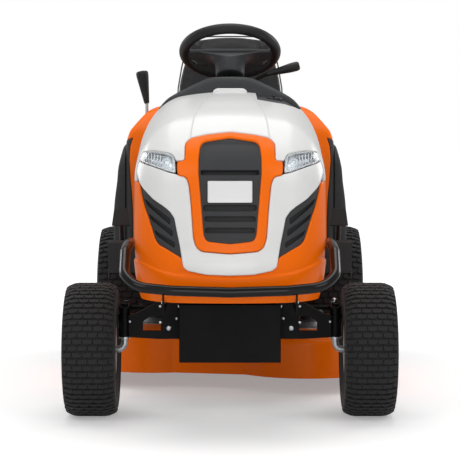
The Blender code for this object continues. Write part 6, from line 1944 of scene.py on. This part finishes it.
@dataclass
class Dash:
    """The dash: a cowl behind the hood with a tower round the column, and the filler apron."""

    hood: HoodShape = HoodShape()
    front: float = AXLE_Y + 0.454
    base: float = 0.3803
    radius: float = 0.014
    cowl: tuple = ((0.0, 0.9657), (0.045, 0.9657), (0.086, 0.955), (0.122, 0.9375), (0.160, 0.9187),
                   (0.194, 0.8986), (0.219, 0.870), (0.244, 0.820), (0.256, 0.750), (0.256, 0.470),
                   (0.236, 0.430), (0.150, 0.370), (0.0, 0.370))
    tower: tuple = ((0.0, 0.9640), (0.060, 0.9600), (0.092, 0.930), (0.104, 0.860), (0.100, 0.370),
                    (0.0, 0.370))

    def distance(self, points: np.ndarray) -> np.ndarray:
        """Distance outside the dash's outer skin.

        Args:
            points: rows of points.

        Returns:
            The distance of each point, negative inside.
        """
        x, y, z = points.T
        d = y - self.front
        cowl_side = [(0.0, 0.36), (0.0, 0.905), (0.020, 0.972), (0.085, 0.972), (0.110, 0.900),
                     (0.060, 0.640), (0.060, 0.36)]
        tower_side = [(0.02, 0.36), (0.02, 0.965), (0.140, 0.962), (0.205, 0.915), (0.190, 0.820),
                      (0.110, 0.640), (0.085, 0.36)]
        cowl = meet(outline_distance(x, z, softened(mirrored(self.cowl), 0.02)),
                    outline_distance(d, z, cowl_side), self.radius)
        tower = meet(outline_distance(x, z, softened(mirrored(self.tower), 0.02)),
                     outline_distance(d, z, tower_side), self.radius)
        return -meet(-cowl, -tower, 0.020)

    def build(self) -> None:
        """Builds the dash, its bezels and the apron round the fuel filler."""
        span = Span((-0.265, self.front - 0.005, 0.36), (0.265, self.front + 0.210, 0.975),
                    (-0.070, self.front + 0.030, 0.44), (0.070, self.front + 0.050, 0.89))
        form = skin(self.distance, span, 0.009)
        tilt = math.radians(COLUMN_TILT_DEG)
        axis = Vector((0, math.sin(tilt), math.cos(tilt)))
        facing = Vector((0.0, 0.942, 0.336)).normalized()
        face = self.front + 0.1082
        spots = [Vector((-0.130, face, 0.905)), Vector((0.132, face, 0.905))]
        window = softened(rectangle((-0.060, 0.30), (0.060, 0.86)), 0.012)
        px, py, pz = BRAKE_PIVOT

        def field(points: np.ndarray) -> np.ndarray:
            """How far points are inside the cowl and clear of its openings.

            Args:
                points: rows of points.

            Returns:
                The distance of each point, negative outside.
            """
            x, y, z = points.T
            inside = z - self.base - 0.001
            away = np.maximum(outline_distance(x, z, window), y - self.front - 0.030)
            inside = np.minimum(inside, away)
            inside = np.minimum(inside, self.round_hole(points, Vector(STEERING_HUB), axis, 0.0225))
            for spot in spots:
                inside = np.minimum(inside, self.round_hole(points, spot, facing, 0.0095))
            slot = outline_distance(x, y, rectangle((px - 0.016, py - 0.010), (0.118, py + 0.010)))
            return np.minimum(inside, np.maximum(slot, 0.905 - z))

        form.trimmed(field, 0.0018, 0.004)
        finished(form, "dash_cowl", CHARCOAL_PP, "chassis", ["dash_console"], shell=COWL)
        rings = Form()
        for spot in spots:
            rings.lathe([(0.0095, -0.003), (0.0135, -0.001), (0.0140, 0.0015), (0.0125, 0.0028),
                         (0.0095, 0.0028)],
                        spot + facing * 0.0005, facing, 36)
        hinge = Form().bar((px, py - 0.014, pz), (px, py + 0.014, pz), 0.0040, 20)
        for d in (-0.015, 0.011):
            hinge.block((px - 0.009, py + d, pz - 0.014), (px + 0.009, py + d + 0.004, pz + 0.020),
                        0.001)
        finished(rings, "dash_bezels", BLACK_PP, "chassis")
        finished(hinge, "brake_lever_hinge", ZINC_PLATE, "chassis")
        self.build_apron()

    def round_hole(self, points: np.ndarray, spot: Vector, axis: Vector,
                   radius: float) -> np.ndarray:
        """How far points are outside a round hole about an axis, near the hole only.

        Args:
            points: rows of points.
            spot: where the axis meets the skin.
            axis: direction of the hole.
            radius: its radius.

        Returns:
            The distance of each point, 1 where it is far along the axis.
        """
        away = points - np.array(spot)
        along = away @ np.array(axis)
        across = np.linalg.norm(away - along[:, None] * np.array(axis), axis=1)
        return np.where(np.abs(along) < 0.16, across - radius, 1.0)

    def build_apron(self) -> None:
        """The sunk dark apron at the right rear of the hood, with the well of the filler."""
        form = self.hood.body(0.0090, 0.009)
        form.keep_side((0, 0, 0.80), UP)
        plan = inset(softened(FILLER_CORNER, 0.014, 6), 0.0015)

        def field(points: np.ndarray) -> np.ndarray:
            """How far points are inside the apron and clear of the well.

            Args:
                points: rows of points.

            Returns:
                The distance of each point, negative outside.
            """
            x, y, z = points.T
            well = np.hypot(x - FILLER_CENTRE[0], y - FILLER_CENTRE[1]) - 0.0300
            kept = np.minimum(-outline_distance(x, y, plan), self.front - 0.0005 - y)
            return np.minimum(np.minimum(kept, z - 0.840), well)

        form.trimmed(field, 0.0020, 0.005)
        finished(form, "filler_apron", CHARCOAL_PP, "chassis", shell=COWL)


@dataclass
class RearBody:
    """The orange fenders, the black seat base between them, and the dark side covers."""

    front: float = AXLE_Y + 0.885
    rear: float = AXLE_Y + 1.440
    axle: Flat = (AXLE_Y + 1.240, 0.2285)
    arch: float = 0.2625
    base: float = 0.3803
    seam: float = 0.0006
    fender: tuple = ((0.222, 0.37), (0.222, 0.645), (0.226, 0.868), (0.232, 0.880), (0.252, 0.874),
                     (0.279, 0.858), (0.307, 0.827), (0.334, 0.794), (0.345, 0.757), (0.345, 0.37))
    flank: tuple = ((0.330, 0.757), (0.348, 0.757), (0.358, 0.729), (0.366, 0.697), (0.371, 0.674),
                    (0.375, 0.627), (0.382, 0.575), (0.386, 0.530), (0.387, 0.37), (0.330, 0.37))
    band: tuple = ((0.36, 0.3225), (0.50, 0.3215), (0.566, 0.3235), (0.640, 0.3300),
                   (0.700, 0.3340), (0.745, 0.3310), (0.772, 0.3225))

    def band_field(self, points: np.ndarray) -> np.ndarray:
        """Distance outboard of the line where the orange gives way to the dark cover.

        Args:
            points: rows of points.

        Returns:
            The distance of each point.
        """
        levels, across = np.array(self.band).T
        outboard = np.abs(points[:, 0]) - np.interp(points[:, 2], levels, across)
        return np.minimum(outboard, 0.772 - 0.30 * (np.abs(points[:, 0]) - 0.3225) - points[:, 2])

    def arch_field(self, points: np.ndarray) -> np.ndarray:
        """Distance outside the wheel arch and above the lower edge.

        Args:
            points: rows of points.

        Returns:
            The distance of each point.
        """
        away = np.hypot(points[:, 1] - self.axle[0], points[:, 2] - self.axle[1]) - self.arch
        front = np.maximum(away, self.axle[0] - 0.2270 - points[:, 1])
        return np.minimum(np.minimum(away, front), points[:, 2] - self.base)

    def build(self) -> None:
        """Builds fenders, seat base and side covers."""
        front, rear = self.front, self.rear
        side = softened([(front, 0.36), (front, 0.700), (front + 0.030, 0.800),
                         (front + 0.090, 0.868), (front + 0.150, 0.885), (front + 0.330, 0.872),
                         (rear - 0.050, 0.800), (rear, 0.740), (rear, 0.36)], 0.03, 6)
        span = Span((0.215, front - 0.01, 0.36), (0.352, rear + 0.01, 0.895),
                    (0.262, front + 0.060, 0.48), (0.300, rear - 0.070, 0.72))
        slot = softened(rectangle((-0.293, behind(1.005)), (-0.273, behind(1.135))), 0.008)
        for sign, name in SIDES:
            form = moulding(softened(self.fender, 0.012), side, 0.012, span, 0.009)
            if sign < 0:
                form.flipped()

            def field(points: np.ndarray) -> np.ndarray:
                """How far points are inside the orange of the fender."""
                gate = np.maximum(outline_distance(points[:, 0], points[:, 1], slot),
                                  0.78 - points[:, 2])
                return np.minimum(np.minimum(self.arch_field(points), gate),
                                  -self.band_field(points) - self.seam)

            cheek = form.copy()
            cheek.trimmed(lambda points: np.minimum(self.arch_field(points),
                                                    self.band_field(points) - self.seam),
                          0.0016, 0.006)
            finished(cheek, f"side_cover_{name}_front_edge", CHARCOAL_PP, "chassis", shell=PANEL)
            form.trimmed(field, 0.0024, 0.006)
            finished(form, f"fender_{name}", ORANGE_ENAMEL, "chassis", ["rear_body"],
                     shell=Shell(wall=0.0020))
        self.build_seat_base()
        self.build_covers()

    def build_seat_base(self) -> None:
        """The bent seat base between the fenders, and the height lever's pin."""
        front, rear, top = self.front, self.rear, 0.645
        sheet = [(front + 0.002, 0.430), (front + 0.002, top - 0.016), (front + 0.007, top - 0.005),
                 (front + 0.018, top), (rear - 0.018, top), (rear - 0.007, top - 0.005),
                 (rear - 0.002, top - 0.016), (rear - 0.002, 0.610), (rear - 0.006, 0.610),
                 (rear - 0.006, top - 0.018), (rear - 0.010, top - 0.009),
                 (rear - 0.020, top - 0.004), (front + 0.020, top - 0.004),
                 (front + 0.010, top - 0.009), (front + 0.006, top - 0.018), (front + 0.006, 0.430)]
        form = Form().slab(sheet, Plane.SIDE, -0.2235, 0.2235)
        for sign in (1, -1):
            low, high = sorted((sign * 0.100, sign * 0.2235))
            form.block((low, front + 0.002, self.base), (high, front + 0.006, 0.431), 0.0008)
            low, high = sorted((sign * 0.197, sign * 0.2235))
            form.block((low, rear - 0.006, self.base), (high, rear - 0.002, 0.611), 0.0008)
        finished(form, "seat_base", BLACK_PP, "chassis", shell=Shell(edge=0.0006))
        pin = Form().bar((-0.295, behind(1.070), 0.700), (-0.223, behind(1.070), 0.700), 0.006, 24,
                         edge=0.0008)
        pin.bar((-0.2765, behind(1.070), 0.700), (-0.224, behind(1.070), 0.700), 0.016, 32,
                edge=0.001)
        finished(pin, "height_lever_pin", ZINC_PLATE, "chassis")

    def build_covers(self) -> None:
        """The dark side covers, cut round the arch of the rear wheels."""
        front, rear = self.front + 0.004, self.rear - 0.010
        side = softened([(front, 0.36), (front, 0.700), (front + 0.030, 0.757),
                         (rear - 0.020, 0.757), (rear, 0.700), (rear, 0.36)], 0.02, 6)
        span = Span((0.325, front - 0.01, 0.36), (0.392, rear + 0.01, 0.765),
                    (0.345, front + 0.050, 0.46), (0.352, rear - 0.060, 0.72))
        for sign, name in SIDES:
            form = moulding(softened(self.flank, 0.008), side, 0.010, span, 0.009)
            form.trimmed(lambda points: np.minimum(self.arch_field(points), points[:, 0] - 0.3462),
                         0.0020, 0.0015)
            if sign < 0:
                form.flipped()
            finished(form, f"side_cover_{name}_moulding", CHARCOAL_PP, "chassis",
                     [f"side_cover_{name}"], shell=PANEL)


@dataclass
class Deck:
    """The mowing deck: a pressed shell with spindle housings, hanger lugs and a rear outlet."""

    top: float = 0.180
    skirt: float = 0.050
    lobe: float = 0.258
    lobes: tuple = ((0.240, 0.611), (-0.240, 0.731))
    rear: float = AXLE_Y + 0.985
    radius: float = 0.020
    arm: float = 0.130
    arm_deg: float = 14.0
    arm_height: float = 0.325

    def outline(self) -> list[Flat]:
        """The deck seen from above.

        Returns:
            The outline as (X, Y).
        """
        (lx, ld), (rx, rd) = self.lobes
        points = [(lx + self.lobe * math.cos(math.radians(20)), self.rear - 0.06),
                  (0.40, self.rear), (-0.43, self.rear)]
        points += arc((rx, behind(rd)), self.lobe, 150, 285, 27)
        points += arc((lx, behind(ld)), self.lobe, 222, 360, 27)
        return points

    def build(self) -> None:
        """Builds the shell and what is welded to it."""
        outline = self.outline()

        def distance(points: np.ndarray) -> np.ndarray:
            """How far points are outside the pressing."""
            x, y, z = points.T
            return np.maximum(meet(outline_distance(x, y, outline), z - self.top, self.radius),
                              0.030 - z)

        span = Span((-0.50, behind(0.34), 0.030), (0.50, self.rear + 0.005, 0.185),
                    (-0.235, behind(0.66), 0.060), (0.235, behind(0.90), 0.140))
        form = skin(distance, span, 0.012)
        outlet = softened(rectangle((-0.150, 0.070), (0.150, 0.160)), 0.008)

        def field(points: np.ndarray) -> np.ndarray:
            """How far points are above the skirt and clear of the openings.

            Args:
                points: rows of points.

            Returns:
                The distance of each point, negative outside.
            """
            x, y, z = points.T
            away = np.maximum(outline_distance(x, z, outlet), self.rear - 0.02 - y)
            inside = np.minimum(z - self.skirt - 0.0004, away)
            for lx, ld in self.lobes:
                hole = np.hypot(x - lx, y - behind(ld)) - 0.030
                inside = np.minimum(inside, np.maximum(hole, 0.16 - z))
            return inside

        form.trimmed(field, 0.0022, 0.003)
        finished(form, "deck_pressing", ORANGE_ENAMEL, "deck", ["deck_shell"],
                 shell=Shell(wall=0.0022))
        swing = math.radians(self.arm_deg)
        pivot_z = self.arm_height - self.arm * math.sin(swing)
        fittings, housings, heads = Form(), Form(), Form()
        for lx, ld in self.lobes:
            centre = (lx, behind(ld), 0.0)
            housings.lathe(softened([(0.0130, 0.2045), (0.030, 0.2045), (0.046, 0.199),
                                     (0.060, 0.184), (0.068, 0.1825), (0.068, 0.1785),
                                     (0.0130, 0.1785)], 0.003, 3),
                           centre, UP, 48)
            for k in range(4):
                turn = math.radians(45 + 90 * k)
                spot = (lx + 0.061 * math.cos(turn), behind(ld) + 0.061 * math.sin(turn), 0.1835)
                bolt(heads, spot, UP, 0.0042)
        for d in (0.520, 0.760):
            y = behind(d) + self.arm * math.cos(swing)
            for sign in (1, -1):
                low, high = sorted((sign * 0.106, sign * 0.110))
                lug = [(y - 0.045, 0.179), (y + 0.045, 0.179),
                       *arc((y, pivot_z), 0.014, 0, 180, 14)]
                fittings.slab(lug, Plane.SIDE, low, high, 0.0008)
                low, high = sorted((sign * 0.1075, sign * 0.1265))
                fittings.bar((low, y, pivot_z), (high, y, pivot_z), 0.006, 24, edge=0.0006)
        finished(housings, "blade_spindle_housings", CAST_ALLOY, "deck")
        finished(fittings, "deck_hanger_lugs", BLACK_COAT, "deck")
        finished(heads, "deck_bolts", ZINC_PLATE, "deck")
        refined("discharge_deflector", BLACK_PP, 0.0012)
        for name in ("blade_left", "blade_right"):
            refined(name, BLADE_STEEL, 0.0006)
        for name in ("lift_arms_front", "lift_arms_rear"):
            refined(name, BLACK_COAT, 0.0008)


@dataclass
class Controls:
    """Levers, pedals, key and knob."""

    lever_x: float = -0.283
    lever_y: float = AXLE_Y + 1.070

    def build(self) -> None:
        """Builds what the driver works."""
        x, y = self.lever_x, self.lever_y
        rod = Form().bar((x, y, 0.700), (x, y, 0.894), 0.0055, 24)
        rod.lathe(rectangle((0.0066, -0.006), (0.0140, 0.006)), (x, y, 0.700), (1, 0, 0), 32)
        finished(rod, "height_lever_rod", ZINC_PLATE, "height_lever_body", ["height_lever"])
        start, end = Vector((x, y, 0.886)), Vector((-0.3005, y, 0.9985))
        length = (end - start).length
        knob = softened([(0.0, 0.0), (0.0085, 0.0), (0.0098, 0.010), (0.0205, length - 0.022),
                         (0.0210, length - 0.004), (0.0, length)], 0.007, 4)
        grip = Form().lathe(knob, start, end - start, 40)
        finished(grip, "height_lever_knob", GRIP_PU, "height_lever_body",
                 shell=ROUND)
        pivot = Vector(BRAKE_PIVOT)
        path = bend([pivot, (0.084, pivot.y, 0.962), (0.126, pivot.y, 0.981)], 0.02, 8)
        shaft = Form().pipe(path, 0.0058, 20)
        shaft.lathe(rectangle((0.0046, -0.0093), (0.0095, 0.0093)), pivot, (0, 1, 0), 28)
        finished(shaft, "parking_lever_shaft", BLACK_COAT, "parking_brake", ["parking_brake_lever"])
        start, end = Vector((0.114, pivot.y, 0.9765)), Vector((0.2185, pivot.y, 1.0040))
        length = (end - start).length
        profile = softened([(0.0, 0.0), (0.0082, 0.0), (0.0088, 0.018), (0.0148, length - 0.030),
                            (0.0150, length - 0.008), (0.0115, length), (0.0, length)], 0.005, 4)
        grip = Form().lathe(profile, start, end - start, 40)
        finished(grip, "parking_lever_grip", GRIP_PU, "parking_brake", shell=ROUND)
        for node in ("drive_pedal", "brake_pedal"):
            refined(node, BLACK_PP, 0.0010)
        refined("ignition_key", BLACK_PP, 0.0010)
        refined("blade_knob", ORANGE_COAT, 0.0010)
        for node in ("footboard_left", "footboard_right"):
            refined(node, CHARCOAL_PP, 0.0012)


@dataclass
class Chassis:
    """Frame, front axle, steering linkage, engine and drive."""

    def build(self) -> None:
        """Builds the running gear."""
        self.build_frame()
        self.build_axle()
        self.build_engine()
        self.build_drive()

    def build_frame(self) -> None:
        """The frame and the front plate with their fasteners."""
        heads = Form()
        for x, z in ((0.141, 0.372), (0.141, 0.318)):
            for sign in (1, -1):
                bolt(heads, (sign * (x + 0.0005), behind(-0.055), z), (sign, 0, 0), 0.0055)
        for sign in (1, -1):
            bolt(heads, (sign * 0.1785, behind(-0.110), 0.352), (sign, 0, 0), 0.0055)
            bolt(heads, (sign * 0.1785, behind(-0.300), 0.356), (sign, 0, 0), 0.0055)
        refined("frame", BLACK_COAT, 0.0008)
        finished(heads, "frame_bolts", ZINC_PLATE, "chassis")
        refined("front_plate", BLACK_COAT, 0.0008)

    def build_axle(self) -> None:
        """The axle beam, the spindles, the tie rod and the drag link."""
        heads = Form()
        for sign in (1, -1):
            for x, z, r in ((0.1966, 0.314, 0.0030), (0.1966, 0.268, 0.0030),
                            (0.150, 0.279, 0.0030), (0.1725, 0.2515, 0.0052),
                            (0.282, 0.270, 0.0026)):
                bolt(heads, (sign * x, behind(-0.0222), z), FORWARD, r)
        bolt(heads, (0, behind(-0.0505), 0.285), FORWARD, 0.0095)
        refined("front_axle_beam", BLACK_COAT, 0.0010)
        finished(heads, "axle_bolts", ZINC_PLATE, "front_axle")
        for sign, name in SIDES:
            x = sign * 0.298
            stub = bend([(x, behind(0), 0.240), (x, behind(0), 0.189),
                         (sign * 0.452, behind(0), 0.189)], 0.030, 10)
            form = Form().pipe(stub, 0.0099, 24)
            form.lathe(rectangle((0.0095, 0.2200), (0.0165, 0.2254)),
                       (x, behind(0), 0), UP, 36)
            form.lathe(rectangle((0.0095, 0.0), (0.0160, 0.0065)),
                       (sign * 0.338, behind(0), 0.189), (sign, 0, 0), 36)
            finished(form, f"spindle_{name}_stub", ZINC_PLATE, f"spindle_{name}_body",
                     [f"spindle_{name}"])
            arm = softened([(x - 0.016, behind(-0.014)), (x + 0.016, behind(-0.014)),
                            (x + 0.010, behind(0.105)), (x - 0.010, behind(0.105))], 0.008, 4)
            upper = Form().slab(arm, Plane.PLAN, 0.3055, 0.3115, 0.001)
            upper.bar((x, behind(0), 0.2300), (x, behind(0), 0.3100), 0.0098, 24)
            upper.lathe(rectangle((0.0095, 0.2885), (0.0150, 0.3070)),
                        (x, behind(0), 0), UP, 36)
            upper.bar((x, behind(0), 0.3110), (x, behind(0), 0.3190), 0.0110, 6, edge=0.0008)
            upper.bar((x, behind(0.095), 0.284), (x, behind(0.095), 0.3085), 0.0045, 20)
            finished(upper, f"spindle_{name}_steering_arm", BLACK_COAT, f"spindle_{name}_body")
            nuts = Form().bar((x, behind(0.095), 0.3110), (x, behind(0.095), 0.3170), 0.0072, 6,
                              edge=0.0006)
            if sign > 0:
                nuts.bar((x, behind(0.060), 0.262), (x, behind(0.060), 0.3085), 0.0045, 20)
                nuts.bar((x, behind(0.060), 0.3110), (x, behind(0.060), 0.3160), 0.0080, 6,
                         edge=0.0006)
                nuts.ball((x, behind(0.060), 0.3190), 0.0100, 24)
            finished(nuts, f"spindle_{name}_nuts", ZINC_PLATE, f"spindle_{name}_body")
        refined("tie_rod", BLACK_COAT, 0.0006)
        refined("drag_link", BLACK_COAT, 0.0006)

    def build_engine(self) -> None:
        """The engine with its cooling cover and screen, muffler, tank and cap."""
        centre = behind(0.130)
        refined("engine_block", CAST_ALLOY, 0.0010)
        cover = softened([(0.0, 0.604), (0.052, 0.604), (0.060, 0.599), (0.104, 0.598),
                          (0.122, 0.588), (0.1275, 0.568), (0.1275, 0.541), (0.1245, 0.541),
                          (0.1245, 0.560), (0.096, 0.5312), (0.0, 0.5312)], 0.005, 4)
        form = Form().lathe(cover, (0, centre, 0), UP, 72)
        finished(form, "blower_cover", BLACK_PP, "chassis", ["blower_housing"], shell=TURNED)
        screen = Form()
        ribbed(screen, (0.016, -0.0011, 0.6035), (0.050, 0.0011, 0.6110), (0, centre, 0), 36)
        for r in (0.0165, 0.033, 0.050):
            screen.lathe(rectangle((r - 0.0016, 0.6035), (r + 0.0016, 0.6116)),
                         (0, centre, 0), UP, 60)
        finished(screen, "blower_screen", CHARCOAL_PP, "chassis", shell=TURNED)
        refined("muffler", BLACK_COAT, 0.0015)
        refined("fuel_tank", TANK_PE, 0.0020)
        cap = [(0.0, 0.9038), (0.019, 0.9035), (0.0245, 0.9000), (0.0255, 0.8960), (0.0255, 0.8630),
               (0.0232, 0.8630), (0.0232, 0.8726), (0.0, 0.8726)]
        form = Form().lathe(cap, (*FILLER_CENTRE, 0), UP, 60)
        ribbed(form, (0.0245, -0.0012, 0.8640), (0.0268, 0.0012, 0.8965), (*FILLER_CENTRE, 0), 30)
        form.block((0.128, behind(0.3640), 0.9030), (0.136, behind(0.4060), 0.9080), 0.0016)
        finished(form, "fuel_cap_moulding", BLACK_PP, "fuel_cap_body", ["fuel_cap"],
                 shell=TURNED)

    def build_drive(self) -> None:
        """Pulleys, belt, transaxle and steering shafts."""
        refined("transaxle_housing", CAST_ALLOY, 0.0014)
        for node in ("crank_pulley", "input_pulley", "sector_gear", "pinion_shaft",
                     "steering_shaft"):
            refined(node, BLACK_COAT, 0.0004)
        refined("traction_belt", BELT_RUBBER, 0.0006)


@dataclass
class Studio:
    """Camera, lamps and floor of the picture."""

    camera_back: float = 5.0
    camera_height: float = 0.867
    pitch_deg: float = 3.887
    lens: float = 139.15
    key_watts: float = 30.0
    top_watts: float = 54.0
    front_watts: float = 17.0
    fill_watts: float = 22.0
    sky: float = 0.40

    def build(self) -> None:
        """Sets up the picture."""
        scene = bpy.context.scene
        scene.view_settings.view_transform = "Standard"
        data = bpy.data.cameras.new("camera")
        data.lens, data.sensor_width = self.lens, 36.0
        camera = bpy.data.objects.new("camera", data)
        camera.location = (0.0, behind(-self.camera_back), self.camera_height)
        camera.rotation_euler = (math.radians(90 - self.pitch_deg), 0.0, 0.0)
        scene.collection.objects.link(camera)
        scene.camera = camera
        self.build_world()
        self.build_floor()
        self.lamp("key_left", (-2.2, -3.4, 3.0), (0.0, -0.5, 0.55), 2.2, self.key_watts)
        self.lamp("key_right", (2.4, -3.2, 2.8), (0.0, -0.5, 0.55), 2.2, self.key_watts)
        self.lamp("overhead", (0.0, 0.2, 3.4), (0.0, 0.0, 0.5), 2.8, self.top_watts)
        self.lamp("low_front", (0.0, -4.2, 0.9), (0.0, -0.4, 0.45), 1.6, self.front_watts)
        self.lamp("rim_left", (-2.8, 1.8, 1.6), (0.0, 0.2, 0.6), 1.4, self.fill_watts)
        self.lamp("rim_right", (2.8, 1.8, 1.6), (0.0, 0.2, 0.6), 1.4, self.fill_watts)

    def lamp(self, name: str, place: Point, aim: Point, size: float, watts: float) -> None:
        """Adds a square soft box turned to a point.

        Args:
            name: name of the lamp.
            place: where it hangs.
            aim: point that it faces.
            size: side of the box.
            watts: its power.
        """
        data = bpy.data.lights.new(name, "AREA")
        data.energy, data.size, data.shape = watts, size, "SQUARE"
        lamp = bpy.data.objects.new(name, data)
        lamp.location = place
        lamp.rotation_euler = (Vector(aim) - Vector(place)).to_track_quat("-Z", "Y").to_euler()
        bpy.context.scene.collection.objects.link(lamp)

    def seen_directly(self, tree: bpy.types.NodeTree) -> bpy.types.NodeSocket:
        """Socket that is 1 for camera and transmitted rays.

        Args:
            tree: node tree that gets the nodes.

        Returns:
            The socket.
        """
        path = add_node(tree, "ShaderNodeLightPath", {}, {})
        either = add_node(tree, "ShaderNodeMath", {"operation": "MAXIMUM"}, {})
        tree.links.new(path.outputs["Is Camera Ray"], either.inputs[0])
        tree.links.new(path.outputs["Is Transmission Ray"], either.inputs[1])
        return either.outputs[0]

    def build_world(self) -> None:
        """White surroundings for what is seen, and a weaker sky for what is lit."""
        world = bpy.data.worlds.new("studio")
        world.use_nodes = True
        tree = world.node_tree
        tree.nodes.clear()
        white = add_node(tree, "ShaderNodeBackground", {"Color": (1, 1, 1, 1), "Strength": 1.0}, {})
        light = add_node(tree, "ShaderNodeBackground",
                         {"Color": (1, 1, 1, 1), "Strength": self.sky}, {})
        mixed = add_node(tree, "ShaderNodeMixShader", {}, {"Fac": self.seen_directly(tree)})
        tree.links.new(light.outputs[0], mixed.inputs[1])
        tree.links.new(white.outputs[0], mixed.inputs[2])
        out = add_node(tree, "ShaderNodeOutputWorld", {}, {})
        tree.links.new(mixed.outputs[0], out.inputs["Surface"])
        bpy.context.scene.world = world

    def build_floor(self) -> None:
        """A pale floor that keeps the soft shadow of the tractor, with painted shade round it: the
        glow that the camera sees is weaker near the tractor.
        """
        form = Form()
        bmesh.ops.create_grid(form.mesh, x_segments=2, y_segments=2, size=30.0)
        floor = placed(form, "floor")
        material = new_material("matt_white_studio_floor")
        tree = material.node_tree
        tree.nodes.clear()
        matt = add_node(tree, "ShaderNodeBsdfDiffuse", {"Color": (0.80, 0.80, 0.80, 1.0)}, {})
        place = add_node(tree, "ShaderNodeTexCoord", {}, {})
        away = add_node(tree, "ShaderNodeVectorMath", {"operation": "LENGTH"},
                        {"Vector": place.outputs["Object"]})
        # Painted shade: the floor's glow for the camera rises from 0.30 near the tractor to 0.78
        # far off, so the floor is darker round the machine.
        reach = add_node(tree, "ShaderNodeMapRange",
                         {"From Min": 1.0, "From Max": 3.2, "To Min": 0.30, "To Max": 0.78},
                         {"Value": away.outputs["Value"]})
        glow_painted_darker_near_tractor = add_node(tree, "ShaderNodeEmission", {"Color": (1, 1, 1, 1)},
                        {"Strength": reach.outputs["Result"]})
        dark = add_node(tree, "ShaderNodeEmission", {"Strength": 0.0}, {})
        share = add_node(tree, "ShaderNodeMixShader", {}, {"Fac": self.seen_directly(tree)})
        tree.links.new(dark.outputs[0], share.inputs[1])
        tree.links.new(glow_painted_darker_near_tractor.outputs[0], share.inputs[2])
        total = add_node(tree, "ShaderNodeAddShader", {}, {})
        tree.links.new(matt.outputs[0], total.inputs[0])
        tree.links.new(share.outputs[0], total.inputs[1])
        out = add_node(tree, "ShaderNodeOutputMaterial", {}, {})
        tree.links.new(total.outputs[0], out.inputs["Surface"])
        floor.data.materials.append(material)


def main() -> None:
    """Dresses the tractor and sets up the picture."""
    logging.basicConfig(level=logging.INFO, format="%(message)s")
    Hood().build()
    Bumper().build()
    for side, name in SIDES:
        Wheel(f"front_wheel_{name}", f"front_wheel_{name}", (side * 0.390, behind(0.0), 0.189),
              side, 0.189, 0.150, 0.076, 0.057, 0.070, 0.0283, 5, 32).build()
        Wheel(f"rear_wheel_{name}", f"rear_wheel_{name}", (side * 0.350, behind(1.240), 0.2285),
              side, 0.2285, 0.216, 0.102, 0.088, 0.100, 0.0335, 6, 34, 0.0072, 5).build()
    SteeringWheel().build()
    Dash().build()
    Seat().build()
    RearBody().build()
    Deck().build()
    Controls().build()
    Chassis().build()
    Studio().build()


if __name__ == "__main__":
    main()
